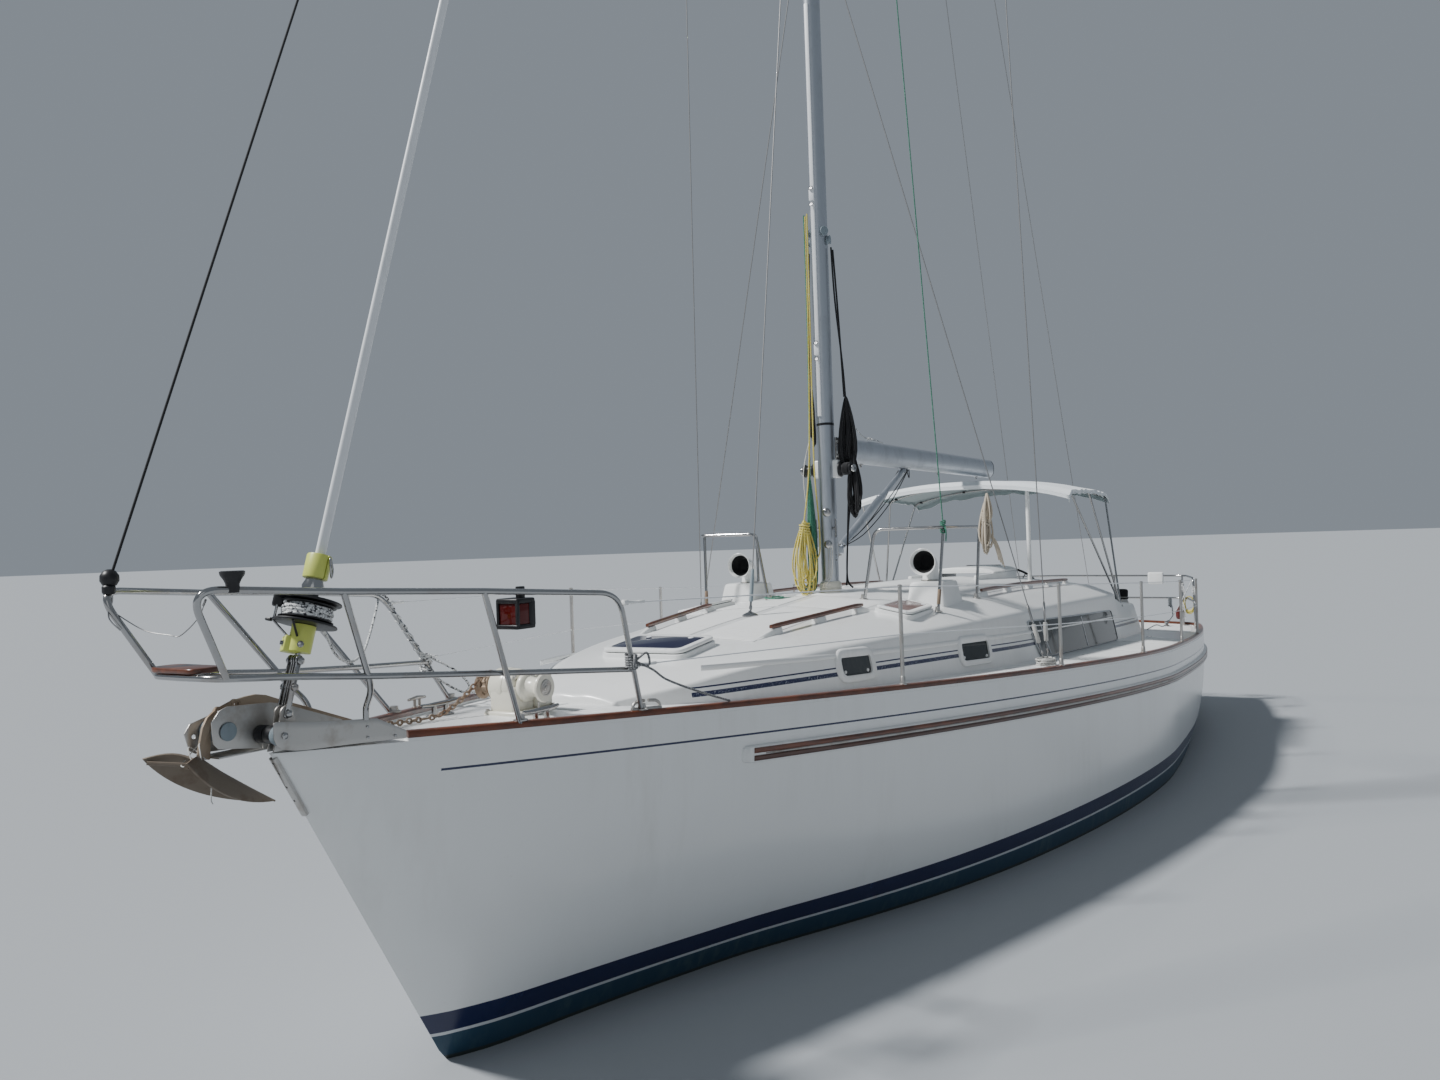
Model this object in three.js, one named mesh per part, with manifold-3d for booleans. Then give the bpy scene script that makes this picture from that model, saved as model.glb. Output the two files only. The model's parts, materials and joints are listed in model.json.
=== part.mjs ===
// A masthead sloop of about 13.3 m afloat, with her sails furled away: decked hull, fin keel, rudder,
// coachroof with its windows, deck gear, aluminium mast and boom, furler, standing rigging and bimini.
// Millimetres. +X points to the bow, +Y to port, +Z up. The origin is amidships on the centreline at the water.
import * as THREE from "three";
import { mergeVertices } from "three/addons/utils/BufferGeometryUtils.js";
import Module from "manifold-3d";

const wasm = await Module();
wasm.setup();

// Driving dimensions
const BOW_X = 6725;
const STERN_X = -6500;
const BEAM_X = -1666;
const HALF_BEAM = 2190;
const BOW_POWER = 1.6;
const BOW_LINE_X = 6760;
const STERN_NARROWING = 0.1672;
const STERN_POWER = 2.55;
const SHEER_HEIGHT = 1308;
const SHEER_SLOPE = 0.0433;
const SHEER_CURVE = 9e-7;
const RAIL_HEIGHT = 45;
const RAIL_WIDTH = 52;
const DECK_CAMBER = 60;
const STEM_FOOT_X = 5836;
const STEM_SLOPE = 1.78;
const GAP = 0.3;
const TUBE_R = 13;
const WIRE_R = 5;
const MAST_X = 1330;
const MAST_TOP = 18250;
const MAST_FOOT = 1950;
const MAST_LENGTH = 192;
const MAST_WIDTH = 130;
const BOOM_Z = 3110;
const BOOM_END_X = -3200;
const STEERING_X = -3850;
const RUDDER_STOCK_X = -5050;

// Colours and finishes
const paint = (color, roughness, metalness = 0) => new THREE.MeshStandardMaterial({ color, roughness, metalness });
const GELCOAT = paint(0xf2f2ef, 0.3);
const ANTIFOULING = paint(0x1d4a6b, 0.8);
const TEAK = paint(0x8a4a26, 0.5);
const STEEL = paint(0xc9cbcc, 0.25, 1);
const ALLOY = paint(0xb4bac0, 0.4, 0.9);
const GALVANISED = paint(0x9a7c5c, 0.8, 0.5);
const BRONZE = paint(0xa8803c, 0.4, 0.9);
const SMOKED = paint(0x2a3536, 0.1);
const BLUE_LENS = paint(0x1c2c54, 0.15);
const BROWN_LENS = paint(0x6b5550, 0.15);
const BLACK = paint(0x202224, 0.6);
const CANVAS = paint(0xe8eaea, 0.9);
const ENGINE_PAINT = paint(0x5e666b, 0.6);

const root = new THREE.Group();
const V = (x, y, z) => new THREE.Vector3(x, y, z);

// A closed surface as a solid, turned so that it faces out.
function solid(geometry) {
  const g = geometry.clone();
  g.deleteAttribute("normal");
  g.deleteAttribute("uv");
  const merged = mergeVertices(g, 1e-3);
  const triVerts = new Uint32Array(merged.index.array);
  const make = () => {
    const vertProperties = merged.attributes.position.array;
    return new wasm.Manifold(new wasm.Mesh({ numProp: 3, vertProperties, triVerts }));
  };
  const made = make();
  if (made.volume() > 0) return made;
  for (let i = 0; i < triVerts.length; i += 3) {
    [triVerts[i + 1], triVerts[i + 2]] = [triVerts[i + 2], triVerts[i + 1]];
  }
  return make();
}

function surface(shape) {
  const mesh = shape.getMesh();
  const positions = new Float32Array(mesh.numVert * 3);
  for (let i = 0; i < mesh.numVert; i++) {
    positions.set(mesh.vertProperties.subarray(i * mesh.numProp, i * mesh.numProp + 3), i * 3);
  }
  const g = new THREE.BufferGeometry();
  g.setAttribute("position", new THREE.BufferAttribute(positions, 3));
  g.setIndex(new THREE.BufferAttribute(mesh.triVerts, 1));
  g.computeVertexNormals();
  return g;
}

function add(name, shape, material) {
  const mesh = new THREE.Mesh(surface(shape), material);
  mesh.name = name;
  root.add(mesh);
}

const union = (...shapes) => shapes.reduce((a, b) => a.add(b));
const port = (shape) => shape;
const starboard = (shape) => shape.mirror([0, 1, 0]);
const SIDES = [["port", port], ["stbd", starboard]];

// Basic shapes
function box(x0, x1, y0, y1, z0, z1) {
  const g = new THREE.BoxGeometry(x1 - x0, y1 - y0, z1 - z0);
  g.translate((x0 + x1) / 2, (y0 + y1) / 2, (z0 + z1) / 2);
  return solid(g);
}

// Closed rings of points joined in order, with both ends closed, or joined end to end.
function loft(rings, joined = false) {
  const n = rings[0].length;
  const points = rings.flat();
  const index = [];
  const bands = joined ? rings.length : rings.length - 1;
  for (let i = 0; i < bands; i++) {
    const a = i * n;
    const b = ((i + 1) % rings.length) * n;
    for (let j = 0; j < n; j++) {
      const k = (j + 1) % n;
      const across = points[a + j].distanceTo(points[b + k]) - points[a + k].distanceTo(points[b + j]);
      if (across < 1e-6) index.push(a + j, b + j, b + k, a + j, b + k, a + k);
      else index.push(a + j, b + j, a + k, a + k, b + j, b + k);
    }
  }
  if (!joined) {
    [0, rings.length - 1].forEach((end) => {
      const middle = points.length;
      points.push(rings[end].reduce((sum, p) => sum.add(p), V(0, 0, 0)).divideScalar(n));
      for (let j = 0; j < n; j++) {
        const k = (j + 1) % n;
        if (end === 0) index.push(middle, j, k);
        else index.push(middle, end * n + k, end * n + j);
      }
    });
  }
  const g = new THREE.BufferGeometry().setFromPoints(points);
  g.setIndex(index);
  return solid(g);
}

// A round bar from p to q, tapering from r to r2.
function rod(p, q, r, r2 = r, sides = 10) {
  const axis = q.clone().sub(p);
  const g = new THREE.CylinderGeometry(r2, r, axis.length(), sides);
  g.applyQuaternion(new THREE.Quaternion().setFromUnitVectors(V(0, 1, 0), axis.clone().normalize()));
  g.translate(...p.clone().add(q).divideScalar(2).toArray());
  return solid(g);
}

// Corners of a route rounded off, with a point for each 25 degrees of the bend.
function bent(points, radius = 90) {
  const route = [points[0]];
  for (let i = 1; i < points.length - 1; i++) {
    const before = points[i - 1].clone().sub(points[i]);
    const after = points[i + 1].clone().sub(points[i]);
    const steps = Math.round(((Math.PI - before.angleTo(after)) * 180) / Math.PI / 25);
    if (steps < 1) {
      route.push(points[i]);
      continue;
    }
    const reach = Math.min(radius, before.length() * 0.45, after.length() * 0.45);
    const a = points[i].clone().addScaledVector(before.normalize(), reach);
    const b = points[i].clone().addScaledVector(after.normalize(), reach);
    route.push(...new THREE.QuadraticBezierCurve3(a, points[i], b).getPoints(steps));
  }
  route.push(points[points.length - 1]);
  return route;
}

// A tube along a route, with a ring of the section at each point.
function tube(route, r, sides = 8, closed = false) {
  const count = route.length;
  const at = (i) => route[closed ? (i + count) % count : Math.min(Math.max(i, 0), count - 1)];
  const tangents = route.map((_, i) => at(i + 1).clone().sub(at(i - 1)).normalize());
  const up = Math.abs(tangents[0].z) < 0.9 ? V(0, 0, 1) : V(1, 0, 0);
  let normal = up.clone().addScaledVector(tangents[0], -up.dot(tangents[0])).normalize();
  const rings = route.map((p, i) => {
    normal = normal.clone().addScaledVector(tangents[i], -normal.dot(tangents[i])).normalize();
    const side = tangents[i].clone().cross(normal);
    return Array.from({ length: sides }, (_, j) => {
      const angle = (2 * Math.PI * j) / sides;
      return p.clone()
        .addScaledVector(normal, r * Math.cos(angle))
        .addScaledVector(side, r * Math.sin(angle));
    });
  });
  return loft(rings, closed);
}

// A flat outline in the XZ plane as a plate between y0 and y1.
function plateXZ(outline, y0, y1) {
  const g = new THREE.ExtrudeGeometry(new THREE.Shape(outline.map(([x, z]) => new THREE.Vector2(x, z))), {
    depth: y1 - y0,
    bevelEnabled: false,
  });
  g.rotateX(Math.PI / 2);
  g.translate(0, y1, 0);
  return solid(g);
}

// Hull lines
const sheer = (x) => SHEER_HEIGHT + SHEER_SLOPE * x + SHEER_CURVE * x * x;

function halfBreadth(x) {
  if (x >= BEAM_X) {
    const t = (x - BEAM_X) / (BOW_LINE_X - BEAM_X);
    return Math.max(12, HALF_BEAM * (1 - t ** BOW_POWER));
  }
  const t = (BEAM_X - x) / (BEAM_X - STERN_X);
  return HALF_BEAM * (1 - STERN_NARROWING * t ** STERN_POWER);
}

// Half-breadth of the faceted deck edge, straight between stations.
function edgeAt(x) {
  const i = Math.min(Math.max(STATIONS.findIndex((row) => row[0] <= x), 1), STATIONS.length - 1);
  const [a, b] = [STATIONS[i][0], STATIONS[i - 1][0]];
  return halfBreadth(a) + ((halfBreadth(b) - halfBreadth(a)) * (x - a)) / (b - a);
}

function deckZ(x, y) {
  const b = halfBreadth(x);
  return sheer(x) - RAIL_HEIGHT + DECK_CAMBER * (b / HALF_BEAM) * (1 - Math.min(1, (y / b) ** 2));
}

// Hull stations: x, height of the keel line, fullness of the section, roundness of the bilge
const STATIONS = [
  [BOW_X, STEM_SLOPE * (BOW_X - STEM_FOOT_X), 1.4, 1.05],
  [6500, STEM_SLOPE * (6500 - STEM_FOOT_X), 1.5, 1.05],
  [6200, STEM_SLOPE * (6200 - STEM_FOOT_X), 1.6, 1.05],
  [STEM_FOOT_X, 0, 1.7, 1.1],
  [5600, -215, 1.8, 1.15],
  [5200, -330, 2.0, 1.2],
  [4600, -425, 2.3, 1.28],
  [4000, -500, 2.7, 1.35],
  [3200, -570, 3.8, 1.55],
  [2400, -620, 5.0, 1.8],
  [1600, -660, 6.0, 2.0],
  [600, -690, 6.8, 2.0],
  [-600, -700, 7.0, 2.0],
  [-1700, -670, 6.8, 2.0],
  [-2800, -600, 6.2, 2.0],
  [-3800, -480, 5.4, 2.0],
  [-4700, -330, 4.6, 2.0],
  [-5500, -130, 4.0, 2.1],
  [-6100, 50, 3.6, 2.2],
  [STERN_X, 170, 3.4, 2.2],
];
const SIDE_STEPS = 9;
const DECK_STEPS = 3;

function hullRing([x, keel, fullness, roundness]) {
  const b = halfBreadth(x);
  const top = sheer(x) - RAIL_HEIGHT;
  const half = [];
  for (let i = 1; i <= SIDE_STEPS; i++) {
    const h = (i / SIDE_STEPS) ** 1.5;
    half.push([b * (1 - (1 - h) ** fullness) ** (1 / roundness), keel + (top - keel) * h]);
  }
  for (let i = 1; i < DECK_STEPS; i++) {
    const y = b * (1 - i / DECK_STEPS);
    half.push([y, deckZ(x, y)]);
  }
  const ring = half.map(([y, z]) => V(x, y, z));
  const other = half.map(([y, z]) => V(x, -y, z)).reverse();
  return [V(x, 0, keel), ...ring, V(x, 0, deckZ(x, 0)), ...other];
}

const hullBody = loft(STATIONS.map(hullRing));
const onDeck = (shape) => shape.subtract(hullBody.translate([0, 0, GAP]));
const underHull = (shape) => shape.subtract(hullBody.translate([0, 0, -GAP]));

// Coachroof stations: x, half-widths at the base, edge and shoulder, heights of edge, shoulder and crown
const ROOF = [
  [4780, 300, 280, 200, 1535, 1555, 1565],
  [4450, 560, 520, 380, 1590, 1625, 1640],
  [4080, 720, 670, 480, 1640, 1675, 1695],
  [3300, 970, 900, 640, 1690, 1750, 1790],
  [2300, 1180, 1110, 840, 1705, 1805, 1870],
  [1300, 1330, 1250, 980, 1710, 1830, 1945],
  [700, 1390, 1320, 1050, 1712, 1835, 1960],
  [-600, 1450, 1385, 1120, 1705, 1825, 1950],
  [-1800, 1485, 1415, 1150, 1685, 1795, 1915],
  [-2900, 1495, 1420, 1160, 1660, 1765, 1880],
];
const ROOF_WALL = 45;

function roofBody(inset) {
  const rings = ROOF.map(([x, base, edge, shoulder, edgeZ, shoulderZ, crownZ], i) => {
    const end = i === 0 ? -inset : i === ROOF.length - 1 ? inset : 0;
    const foot = Math.min(deckZ(x, base), deckZ(x, 0)) - 70;
    const points = [
      [base - inset, foot],
      [edge - inset, edgeZ - inset],
      [shoulder - inset, shoulderZ - inset],
      [shoulder / 2, (shoulderZ + crownZ) / 2 + 12 - inset],
      [0, crownZ - inset],
    ];
    const half = points.map(([y, z]) => V(x + end, y, z));
    const other = points.slice(0, -1).map(([y, z]) => V(x + end, -y, z)).reverse();
    return [...half, ...other];
  });
  return loft(rings);
}

function roofZ(x, y) {
  const i = Math.min(Math.max(ROOF.findIndex((row) => row[0] <= x), 1), ROOF.length - 1);
  const t = (x - ROOF[i][0]) / (ROOF[i - 1][0] - ROOF[i][0]);
  const row = ROOF[i].map((v, k) => v + (ROOF[i - 1][k] - v) * t);
  const [, , edge, shoulder, edgeZ, shoulderZ, crownZ] = row;
  const knots = [[0, crownZ], [shoulder / 2, (shoulderZ + crownZ) / 2 + 12], [shoulder, shoulderZ], [edge, edgeZ]];
  const k = Math.max(1, knots.findIndex((knot) => knot[0] >= Math.abs(y)));
  const u = (Math.abs(y) - knots[k - 1][0]) / (knots[k][0] - knots[k - 1][0]);
  return knots[k - 1][1] + (knots[k][1] - knots[k - 1][1]) * u;
}

const roofOuter = roofBody(0);
const onRoof = (shape) => shape.subtract(roofOuter.translate([0, 0, GAP]));

// Window and portlight outlines in side view: corners as x and z
const WINDOW = [[222, 1327], [440, 1615], [-2530, 1495], [-2600, 1211]];
const PORTLIGHTS = [
  [[3275, 1513], [3262, 1632], [2965, 1622], [2978, 1503]],
  [[1790, 1452], [1770, 1580], [1330, 1558], [1350, 1430]],
];
const GLASS_DEPTH = 12;

function grown(outline, by) {
  const mx = outline.reduce((s, p) => s + p[0], 0) / outline.length;
  const mz = outline.reduce((s, p) => s + p[1], 0) / outline.length;
  return outline.map(([x, z]) => [x + Math.sign(x - mx) * by, z + Math.sign(z - mz) * by]);
}

const glassSkin = roofBody(8).subtract(roofBody(8 + GLASS_DEPTH));
const pane = (outline) => plateXZ(grown(outline, -GAP), 500, 1700).intersect(glassSkin);

// Hatches: centre x and y, length, width, thickness of the frame and lid
const FORE_HATCH = { x: 3900, y: 0, length: 430, width: 600, frame: 26, lid: 30 };
const SIDE_HATCH = { x: 1900, y: 845, length: 520, width: 290, frame: 22, lid: 24 };
const LID_CLEARANCE = 0.8;

// A hatch's frame or lid as a slab that lies along the roof at the hatch.
function hatchSlab({ x, y, length, width }, from, to, inset) {
  const half = { l: length / 2 - inset, w: width / 2 - inset };
  const slope = (roofZ(x + half.l, y) - roofZ(x - half.l, y)) / (2 * half.l);
  const tilt = y === 0 ? 0 : (roofZ(x, y + half.w) - roofZ(x, y - half.w)) / (2 * half.w);
  const g = new THREE.BoxGeometry(2 * half.l, 2 * half.w, to - from);
  g.translate(0, 0, (from + to) / 2);
  g.rotateX(Math.atan(tilt));
  g.rotateY(-Math.atan(slope));
  g.translate(x, y, roofZ(x, y));
  return solid(g);
}

const COMPANION = { aft: -2900, fore: -2080, half: 330, sill: 1230 };
const SLIDE_RAIL = 60;

function hatchFrame(hatch) {
  const seat = hatchSlab(hatch, -60, hatch.frame, 0);
  return seat.subtract(hatchSlab(hatch, -200, 200, 45));
}

function coachroof() {
  let shape = roofBody(0).subtract(roofBody(ROOF_WALL));
  shape = shape.subtract(hatchSlab(FORE_HATCH, -200, 200, 45));
  shape = union(shape, hatchFrame(FORE_HATCH));
  SIDES.forEach(([, side]) => {
    shape = shape.subtract(side(hatchSlab(SIDE_HATCH, -200, 200, 45)));
    shape = union(shape, side(hatchFrame(SIDE_HATCH)));
    [WINDOW, ...PORTLIGHTS].forEach((outline) => {
      shape = shape.subtract(side(plateXZ(outline, 500, 1700)));
    });
  });
  const { aft, fore, half, sill } = COMPANION;
  shape = shape.subtract(box(aft - 100, aft + 100, -half, half, sill, 2200));
  shape = shape.subtract(box(aft - 100, fore, -half, half, 1700, 2200));
  const railTop = roofZ(fore, half) + SLIDE_RAIL;
  const rail = box(aft, fore + 640, half, half + 45, 1700, railTop).subtract(roofBody(ROOF_WALL / 2));
  shape = union(shape, rail, starboard(rail));
  return onDeck(shape);
}

// Hull with its cabin, cockpit and bores
const SHAFT_FORE = V(-1950, 0, -541);
const SHAFT_AFT = V(-4050, 0, -860);
const SHAFT_R = 19;
const BEARING_GAP = 1.1;
const SEAT_Z = 1000;
const SOLE_Z = 620;
const WELL = { fore: -2960, aft: -4430, half: 430, seatHalf: 1230 };
const STOCK_R = 32;
const STOCK_BORE = STOCK_R + 1.3;

function hull() {
  const shaftLine = SHAFT_AFT.clone().sub(SHAFT_FORE);
  return hullBody
    .subtract(box(-2800, 1600, -1050, 1050, -250, 2500))
    .subtract(box(1550, 3300, -520, 520, -60, 2500))
    .subtract(box(3250, 4150, -300, 300, 700, 2500))
    .subtract(box(WELL.aft, WELL.fore, -WELL.half, WELL.half, SOLE_Z, 2500))
    .subtract(box(WELL.aft, WELL.fore, -WELL.seatHalf, WELL.seatHalf, SEAT_Z, 2500))
    .subtract(rod(SHAFT_FORE, SHAFT_FORE.clone().addScaledVector(shaftLine, 0.55), SHAFT_R + 8, SHAFT_R + 8, 16))
    .subtract(rod(V(RUDDER_STOCK_X, 0, -600), V(RUDDER_STOCK_X, 0, 260), STOCK_BORE, STOCK_BORE, 16));
}

// A strip of wood along a plan route, with its low and high faces at given heights.
function strip(route, width, low, high) {
  const rings = route.map(([x, y], i) => {
    const a = route[Math.max(i - 1, 0)];
    const b = route[Math.min(i + 1, route.length - 1)];
    const length = Math.hypot(b[0] - a[0], b[1] - a[1]);
    const nx = (-(b[1] - a[1]) / length) * (width / 2);
    const ny = ((b[0] - a[0]) / length) * (width / 2);
    return [
      V(x + nx, y + ny, low(x, y)),
      V(x - nx, y - ny, low(x, y)),
      V(x - nx, y - ny, high(x, y)),
      V(x + nx, y + ny, high(x, y)),
    ];
  });
  return loft(rings);
}

const RAIL_START_X = 6200;
const QUARTER_R = 160;

function toeRail() {
  const inset = RAIL_WIDTH / 2 + 1;
  const side = STATIONS.map((row) => row[0])
    .filter((x) => x < RAIL_START_X && x > STERN_X + QUARTER_R)
    .map((x) => [x, halfBreadth(x) - inset]);
  const b = halfBreadth(STERN_X) - inset;
  const corner = [0, 30, 60, 90].map((deg) => {
    const a = (deg * Math.PI) / 180;
    return [STERN_X + inset + QUARTER_R * (1 - Math.sin(a)), b - QUARTER_R * (1 - Math.cos(a))];
  });
  const across = [2 / 3, 1 / 3].map((t) => [STERN_X + inset, halfBreadth(STERN_X) * t]);
  const half = [[RAIL_START_X, halfBreadth(RAIL_START_X) - inset], ...side, ...corner, ...across];
  const route = [...half, [STERN_X + inset, 0], ...half.map(([x, y]) => [x, -y]).reverse()];
  const seat = (x, y) => deckZ(x, Math.max(0, Math.abs(y) - inset)) + GAP;
  return onDeck(strip(route, RAIL_WIDTH, seat, (x, y) => deckZ(x, y) + RAIL_HEIGHT));
}

// Half-breadth of the hull at a height, between stations.
function sideAt(x, z) {
  const i = Math.min(Math.max(STATIONS.findIndex((row) => row[0] <= x), 1), STATIONS.length - 1);
  const t = (x - STATIONS[i][0]) / (STATIONS[i - 1][0] - STATIONS[i][0]);
  const [, keel, fullness, roundness] = STATIONS[i].map((v, k) => v + (STATIONS[i - 1][k] - v) * t);
  const h = (z - keel) / (sheer(x) - RAIL_HEIGHT - keel);
  return halfBreadth(x) * (1 - (1 - h) ** fullness) ** (1 / roundness);
}

const RUB = { fore: 4420, aft: -6380, drop: 290, height: 84, proud: 38 };

function rubRail() {
  const xs = [RUB.fore, ...STATIONS.map((row) => row[0]).filter((x) => x < RUB.fore && x > RUB.aft), RUB.aft];
  const route = xs.map((x) => [x, sideAt(x, sheer(x) - RUB.drop) + (RUB.proud - 30) / 2]);
  const low = (x) => sheer(x) - RUB.drop - RUB.height / 2;
  return strip(route, RUB.proud + 30, low, (x) => low(x) + RUB.height).subtract(hullBody.translate([0, GAP, 0]));
}

// Keel and rudder sections: height, leading edge x, trailing edge x, half thickness
const FOIL = [[1, 0], [0.86, 0.62], [0.68, 1], [0.4, 0.8], [0.15, 0.3], [0, 0.05]];

function foil(rows) {
  return loft(rows.map(([z, lead, trail, thick]) => {
    const half = FOIL.map(([t, w]) => V(trail + (lead - trail) * t, thick * w, z));
    const other = FOIL.slice(1).map(([t, w]) => V(trail + (lead - trail) * t, -thick * w, z)).reverse();
    return [...half, ...other];
  }));
}

const KEEL = [
  [-520, 1820, -980, 165],
  [-900, 1600, -930, 150],
  [-1600, 1260, -850, 130],
  [-1780, 1240, -880, 175],
  [-1960, 1150, -930, 185],
  [-2000, 1050, -900, 120],
];

const RUDDER = [
  [-330, -4870, -5480, 48],
  [-900, -4890, -5440, 42],
  [-1640, -4930, -5330, 30],
];

function propeller() {
  const line = SHAFT_AFT.clone().sub(SHAFT_FORE).normalize();
  const shaft = rod(SHAFT_FORE.clone().addScaledVector(line, 30), SHAFT_AFT, SHAFT_R, SHAFT_R, 12);
  const [hubFore, hubAft] = [-60, 60].map((along) => SHAFT_AFT.clone().addScaledVector(line, along));
  const hub = rod(hubFore, hubAft, 42, 30, 12);
  const blades = [0, 1, 2].map((i) => {
    const g = new THREE.SphereGeometry(1, 10, 6);
    g.scale(14, 62, 105);
    g.rotateZ(0.45);
    g.translate(0, 0, 130);
    g.rotateX((i * 2 * Math.PI) / 3);
    g.rotateY(-Math.atan2(line.z, line.x) + Math.PI);
    g.translate(...SHAFT_AFT.toArray());
    return solid(g);
  });
  return union(shaft, hub, ...blades);
}

function shaftStrut() {
  const line = SHAFT_AFT.clone().sub(SHAFT_FORE).normalize();
  const middle = SHAFT_AFT.clone().addScaledVector(line, -230);
  const a = middle.clone().addScaledVector(line, -75);
  const b = middle.clone().addScaledVector(line, 75);
  const barrel = rod(a, b, SHAFT_R + 17, SHAFT_R + 17, 14);
  const leg = box(middle.x - 50, middle.x + 50, -9, 9, middle.z + 20, -400);
  const boreR = SHAFT_R + BEARING_GAP;
  const bore = rod(a.clone().addScaledVector(line, -5), b.clone().addScaledVector(line, 5), boreR, boreR, 14);
  return underHull(union(barrel, leg)).subtract(bore);
}

const WINDLASS = { x: 5262, z: 1672, gypsyR: 72 };
const CHAIN = { links: 24, bar: 9, width: 19, shackleGap: 1.7, gypsyGap: 4, flatness: 1.6 };
// Stemhead: a base on the deck, a cheek bent along the port side, two more cheeks, the rollers between them
// and the stay's tang
const CHEEKS = { port: 66, mid: -80, stbd: -200, plate: 8 };
const BASE = { low: 1597, high: 1605 };
const PORT_ROLLER = { x: 6717, z: 1667, r: 38 };
const ANCHOR_ROLLER = { x: 6862, z: 1700, r: 44 };
const TANG = 16;

// Stations of the port cheek: x, y, lower and upper edge
const PORT_CHEEK = [
  [6222, 226, 1584, 1618],
  [6340, 179, 1588, 1685],
  [6480, 123, 1591, 1694],
  [6607, 72, 1592, 1705],
  [6660, 66, 1598, 1714],
  [6720, 66, 1612, 1723],
  [6762, 66, 1655, 1722],
];
const MID_CHEEK = [
  [6262, 1600], [6300, 1650], [6600, 1772], [6860, 1797], [6930, 1745], [6925, 1660], [6905, 1637], [6740, 1625],
  [6700, 1600],
];
const STBD_CHEEK = [
  [6262, 1600], [6300, 1650], [6620, 1740], [6860, 1755], [6940, 1735], [6965, 1700], [6945, 1630], [6740, 1610],
  [6700, 1600],
];

function stemhead() {
  const half = CHEEKS.plate / 2;
  const cheek = loft(PORT_CHEEK.map(([x, y, low, high]) => {
    return [V(x, y - half, low), V(x, y - half, high), V(x, y + half, high), V(x, y + half, low)];
  }));
  const plan = [[6240, -198], [6800, -198], [6800, -82], [6645, -82], [6645, 65], [6330, 178]];
  const base = loft([BASE.low, BASE.high].map((z) => plan.map(([x, y]) => V(x, y, z))));
  const mid = plateXZ(MID_CHEEK, CHEEKS.mid - half, CHEEKS.mid + half);
  const stbd = plateXZ(STBD_CHEEK, CHEEKS.stbd - half, CHEEKS.stbd + half);
  const roller = ({ x, z, r }, from, to) => rod(V(x, from, z), V(x, to, z), r, r, 16);
  const rollers = [roller(PORT_ROLLER, CHEEKS.mid + 1, CHEEKS.port), roller(ANCHOR_ROLLER, CHEEKS.stbd, CHEEKS.mid - 1)];
  const foot = [-110, 50].map((y) => box(6270, 6390, y - 12, y + 12, 1550, 1601));
  const tang = plateXZ([[6560, 1601], [6640, 1601], [6690, 1773], [6620, 1773]], -TANG / 2, TANG / 2);
  return onDeck(union(base, cheek, mid, stbd, ...rollers, ...foot, tang));
}

// Plough anchor: side view of its shank as x and z, and its two blades on a ridge from the neck to the tip
const ANCHOR_Y = -140;
const SHANK_HALF = 7;
const SHANK = [
  [6190, 1640], [6352, 1702], [6565, 1782], [6684, 1820], [6800, 1808], [6868, 1786], [6922, 1744], [6942, 1670],
  [6955, 1605], [6900, 1592], [6893, 1700], [6882, 1735], [6825, 1752], [6700, 1762], [6517, 1722], [6350, 1668], [6190, 1612],
];
const BLADE = { neck: [6955, 1598], tip: [6606, 1367], corner: [7090, 1622], half: 135, thick: 8 };

// Ring of the blades' section at a share of the way from the neck to the tip.
function bladeRing(share) {
  const mix = (a, b, t) => a + (b - a) * t;
  const ridge = [0, 1].map((i) => mix(BLADE.neck[i], BLADE.tip[i], share));
  const edge = [0, 1].map((i) => mix(BLADE.corner[i], BLADE.tip[i], share));
  const width = BLADE.half * (1 - share ** 1.7) + 2;
  const over = [-1, 0, 1].map((k) => {
    const [x, z] = k ? edge : ridge;
    return V(x, ANCHOR_Y + k * width, z);
  });
  const under = over.map((p) => p.clone().add(V(-BLADE.thick * 0.5, 0, BLADE.thick)));
  return [...over, ...under.reverse()];
}

function anchor() {
  const arm = plateXZ(SHANK, ANCHOR_Y - SHANK_HALF, ANCHOR_Y + SHANK_HALF);
  const blades = loft([0, 0.35, 0.65, 0.85, 0.98].map(bladeRing));
  const fitting = union(...[GAP, 0, -GAP].map((shift) => stemheadBody.translate([0, 0, shift])));
  return union(arm, blades).subtract(fitting);
}

// Pulpit: each route is in the port half, and the rails meet at the front
const PULPIT = {
  top: [[7062, 204, 1941], [7250, 272, 2275], [6692, 408, 2235], [6122, 600, 2203], [5400, 775, 2152], [5045, 640, 1530]],
  low: [[5172, 688, 1768], [5823, 466, 1822], [6466, 280, 1879], [6800, 222, 1917], [7095, 205, 1943], [7105, 0, 1943]],
  fore: [[6692, 408, 2235], [6432, 258, 1825], [6390, 172, 1735]],
  aft: [[6122, 600, 2203], [5690, 405, 1560]],
};

// The fore legs stand on the port cheek's edge and on the stemhead's base
const FORE_FEET = { port: [6385, 166, 1686], stbd: [6382, 172, 1600] };

function routeOf(list, side = 1) {
  return list.map(([x, y, z]) => V(x, side * y, z));
}

// A route that ends on the centreline, carried on to the other side.
function acrossRoute(list) {
  return [...routeOf(list), ...routeOf(list.slice(0, -1), -1).reverse()];
}

function pulpit() {
  const low = tube(bent(acrossRoute(PULPIT.low)), TUBE_R);
  const shapes = [1, -1].flatMap((s) => {
    const fore = [...PULPIT.fore, s > 0 ? FORE_FEET.port : FORE_FEET.stbd];
    const legs = [fore, PULPIT.aft].map((leg) => tube(bent(routeOf(leg, s), 60), TUBE_R));
    return [tube(bent(routeOf(PULPIT.top, s), 110), TUBE_R), ...legs];
  });
  shapes.push(low);
  return offRail(union(...shapes)).subtract(stemheadBody.translate([0, 0, GAP]));
}

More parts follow.
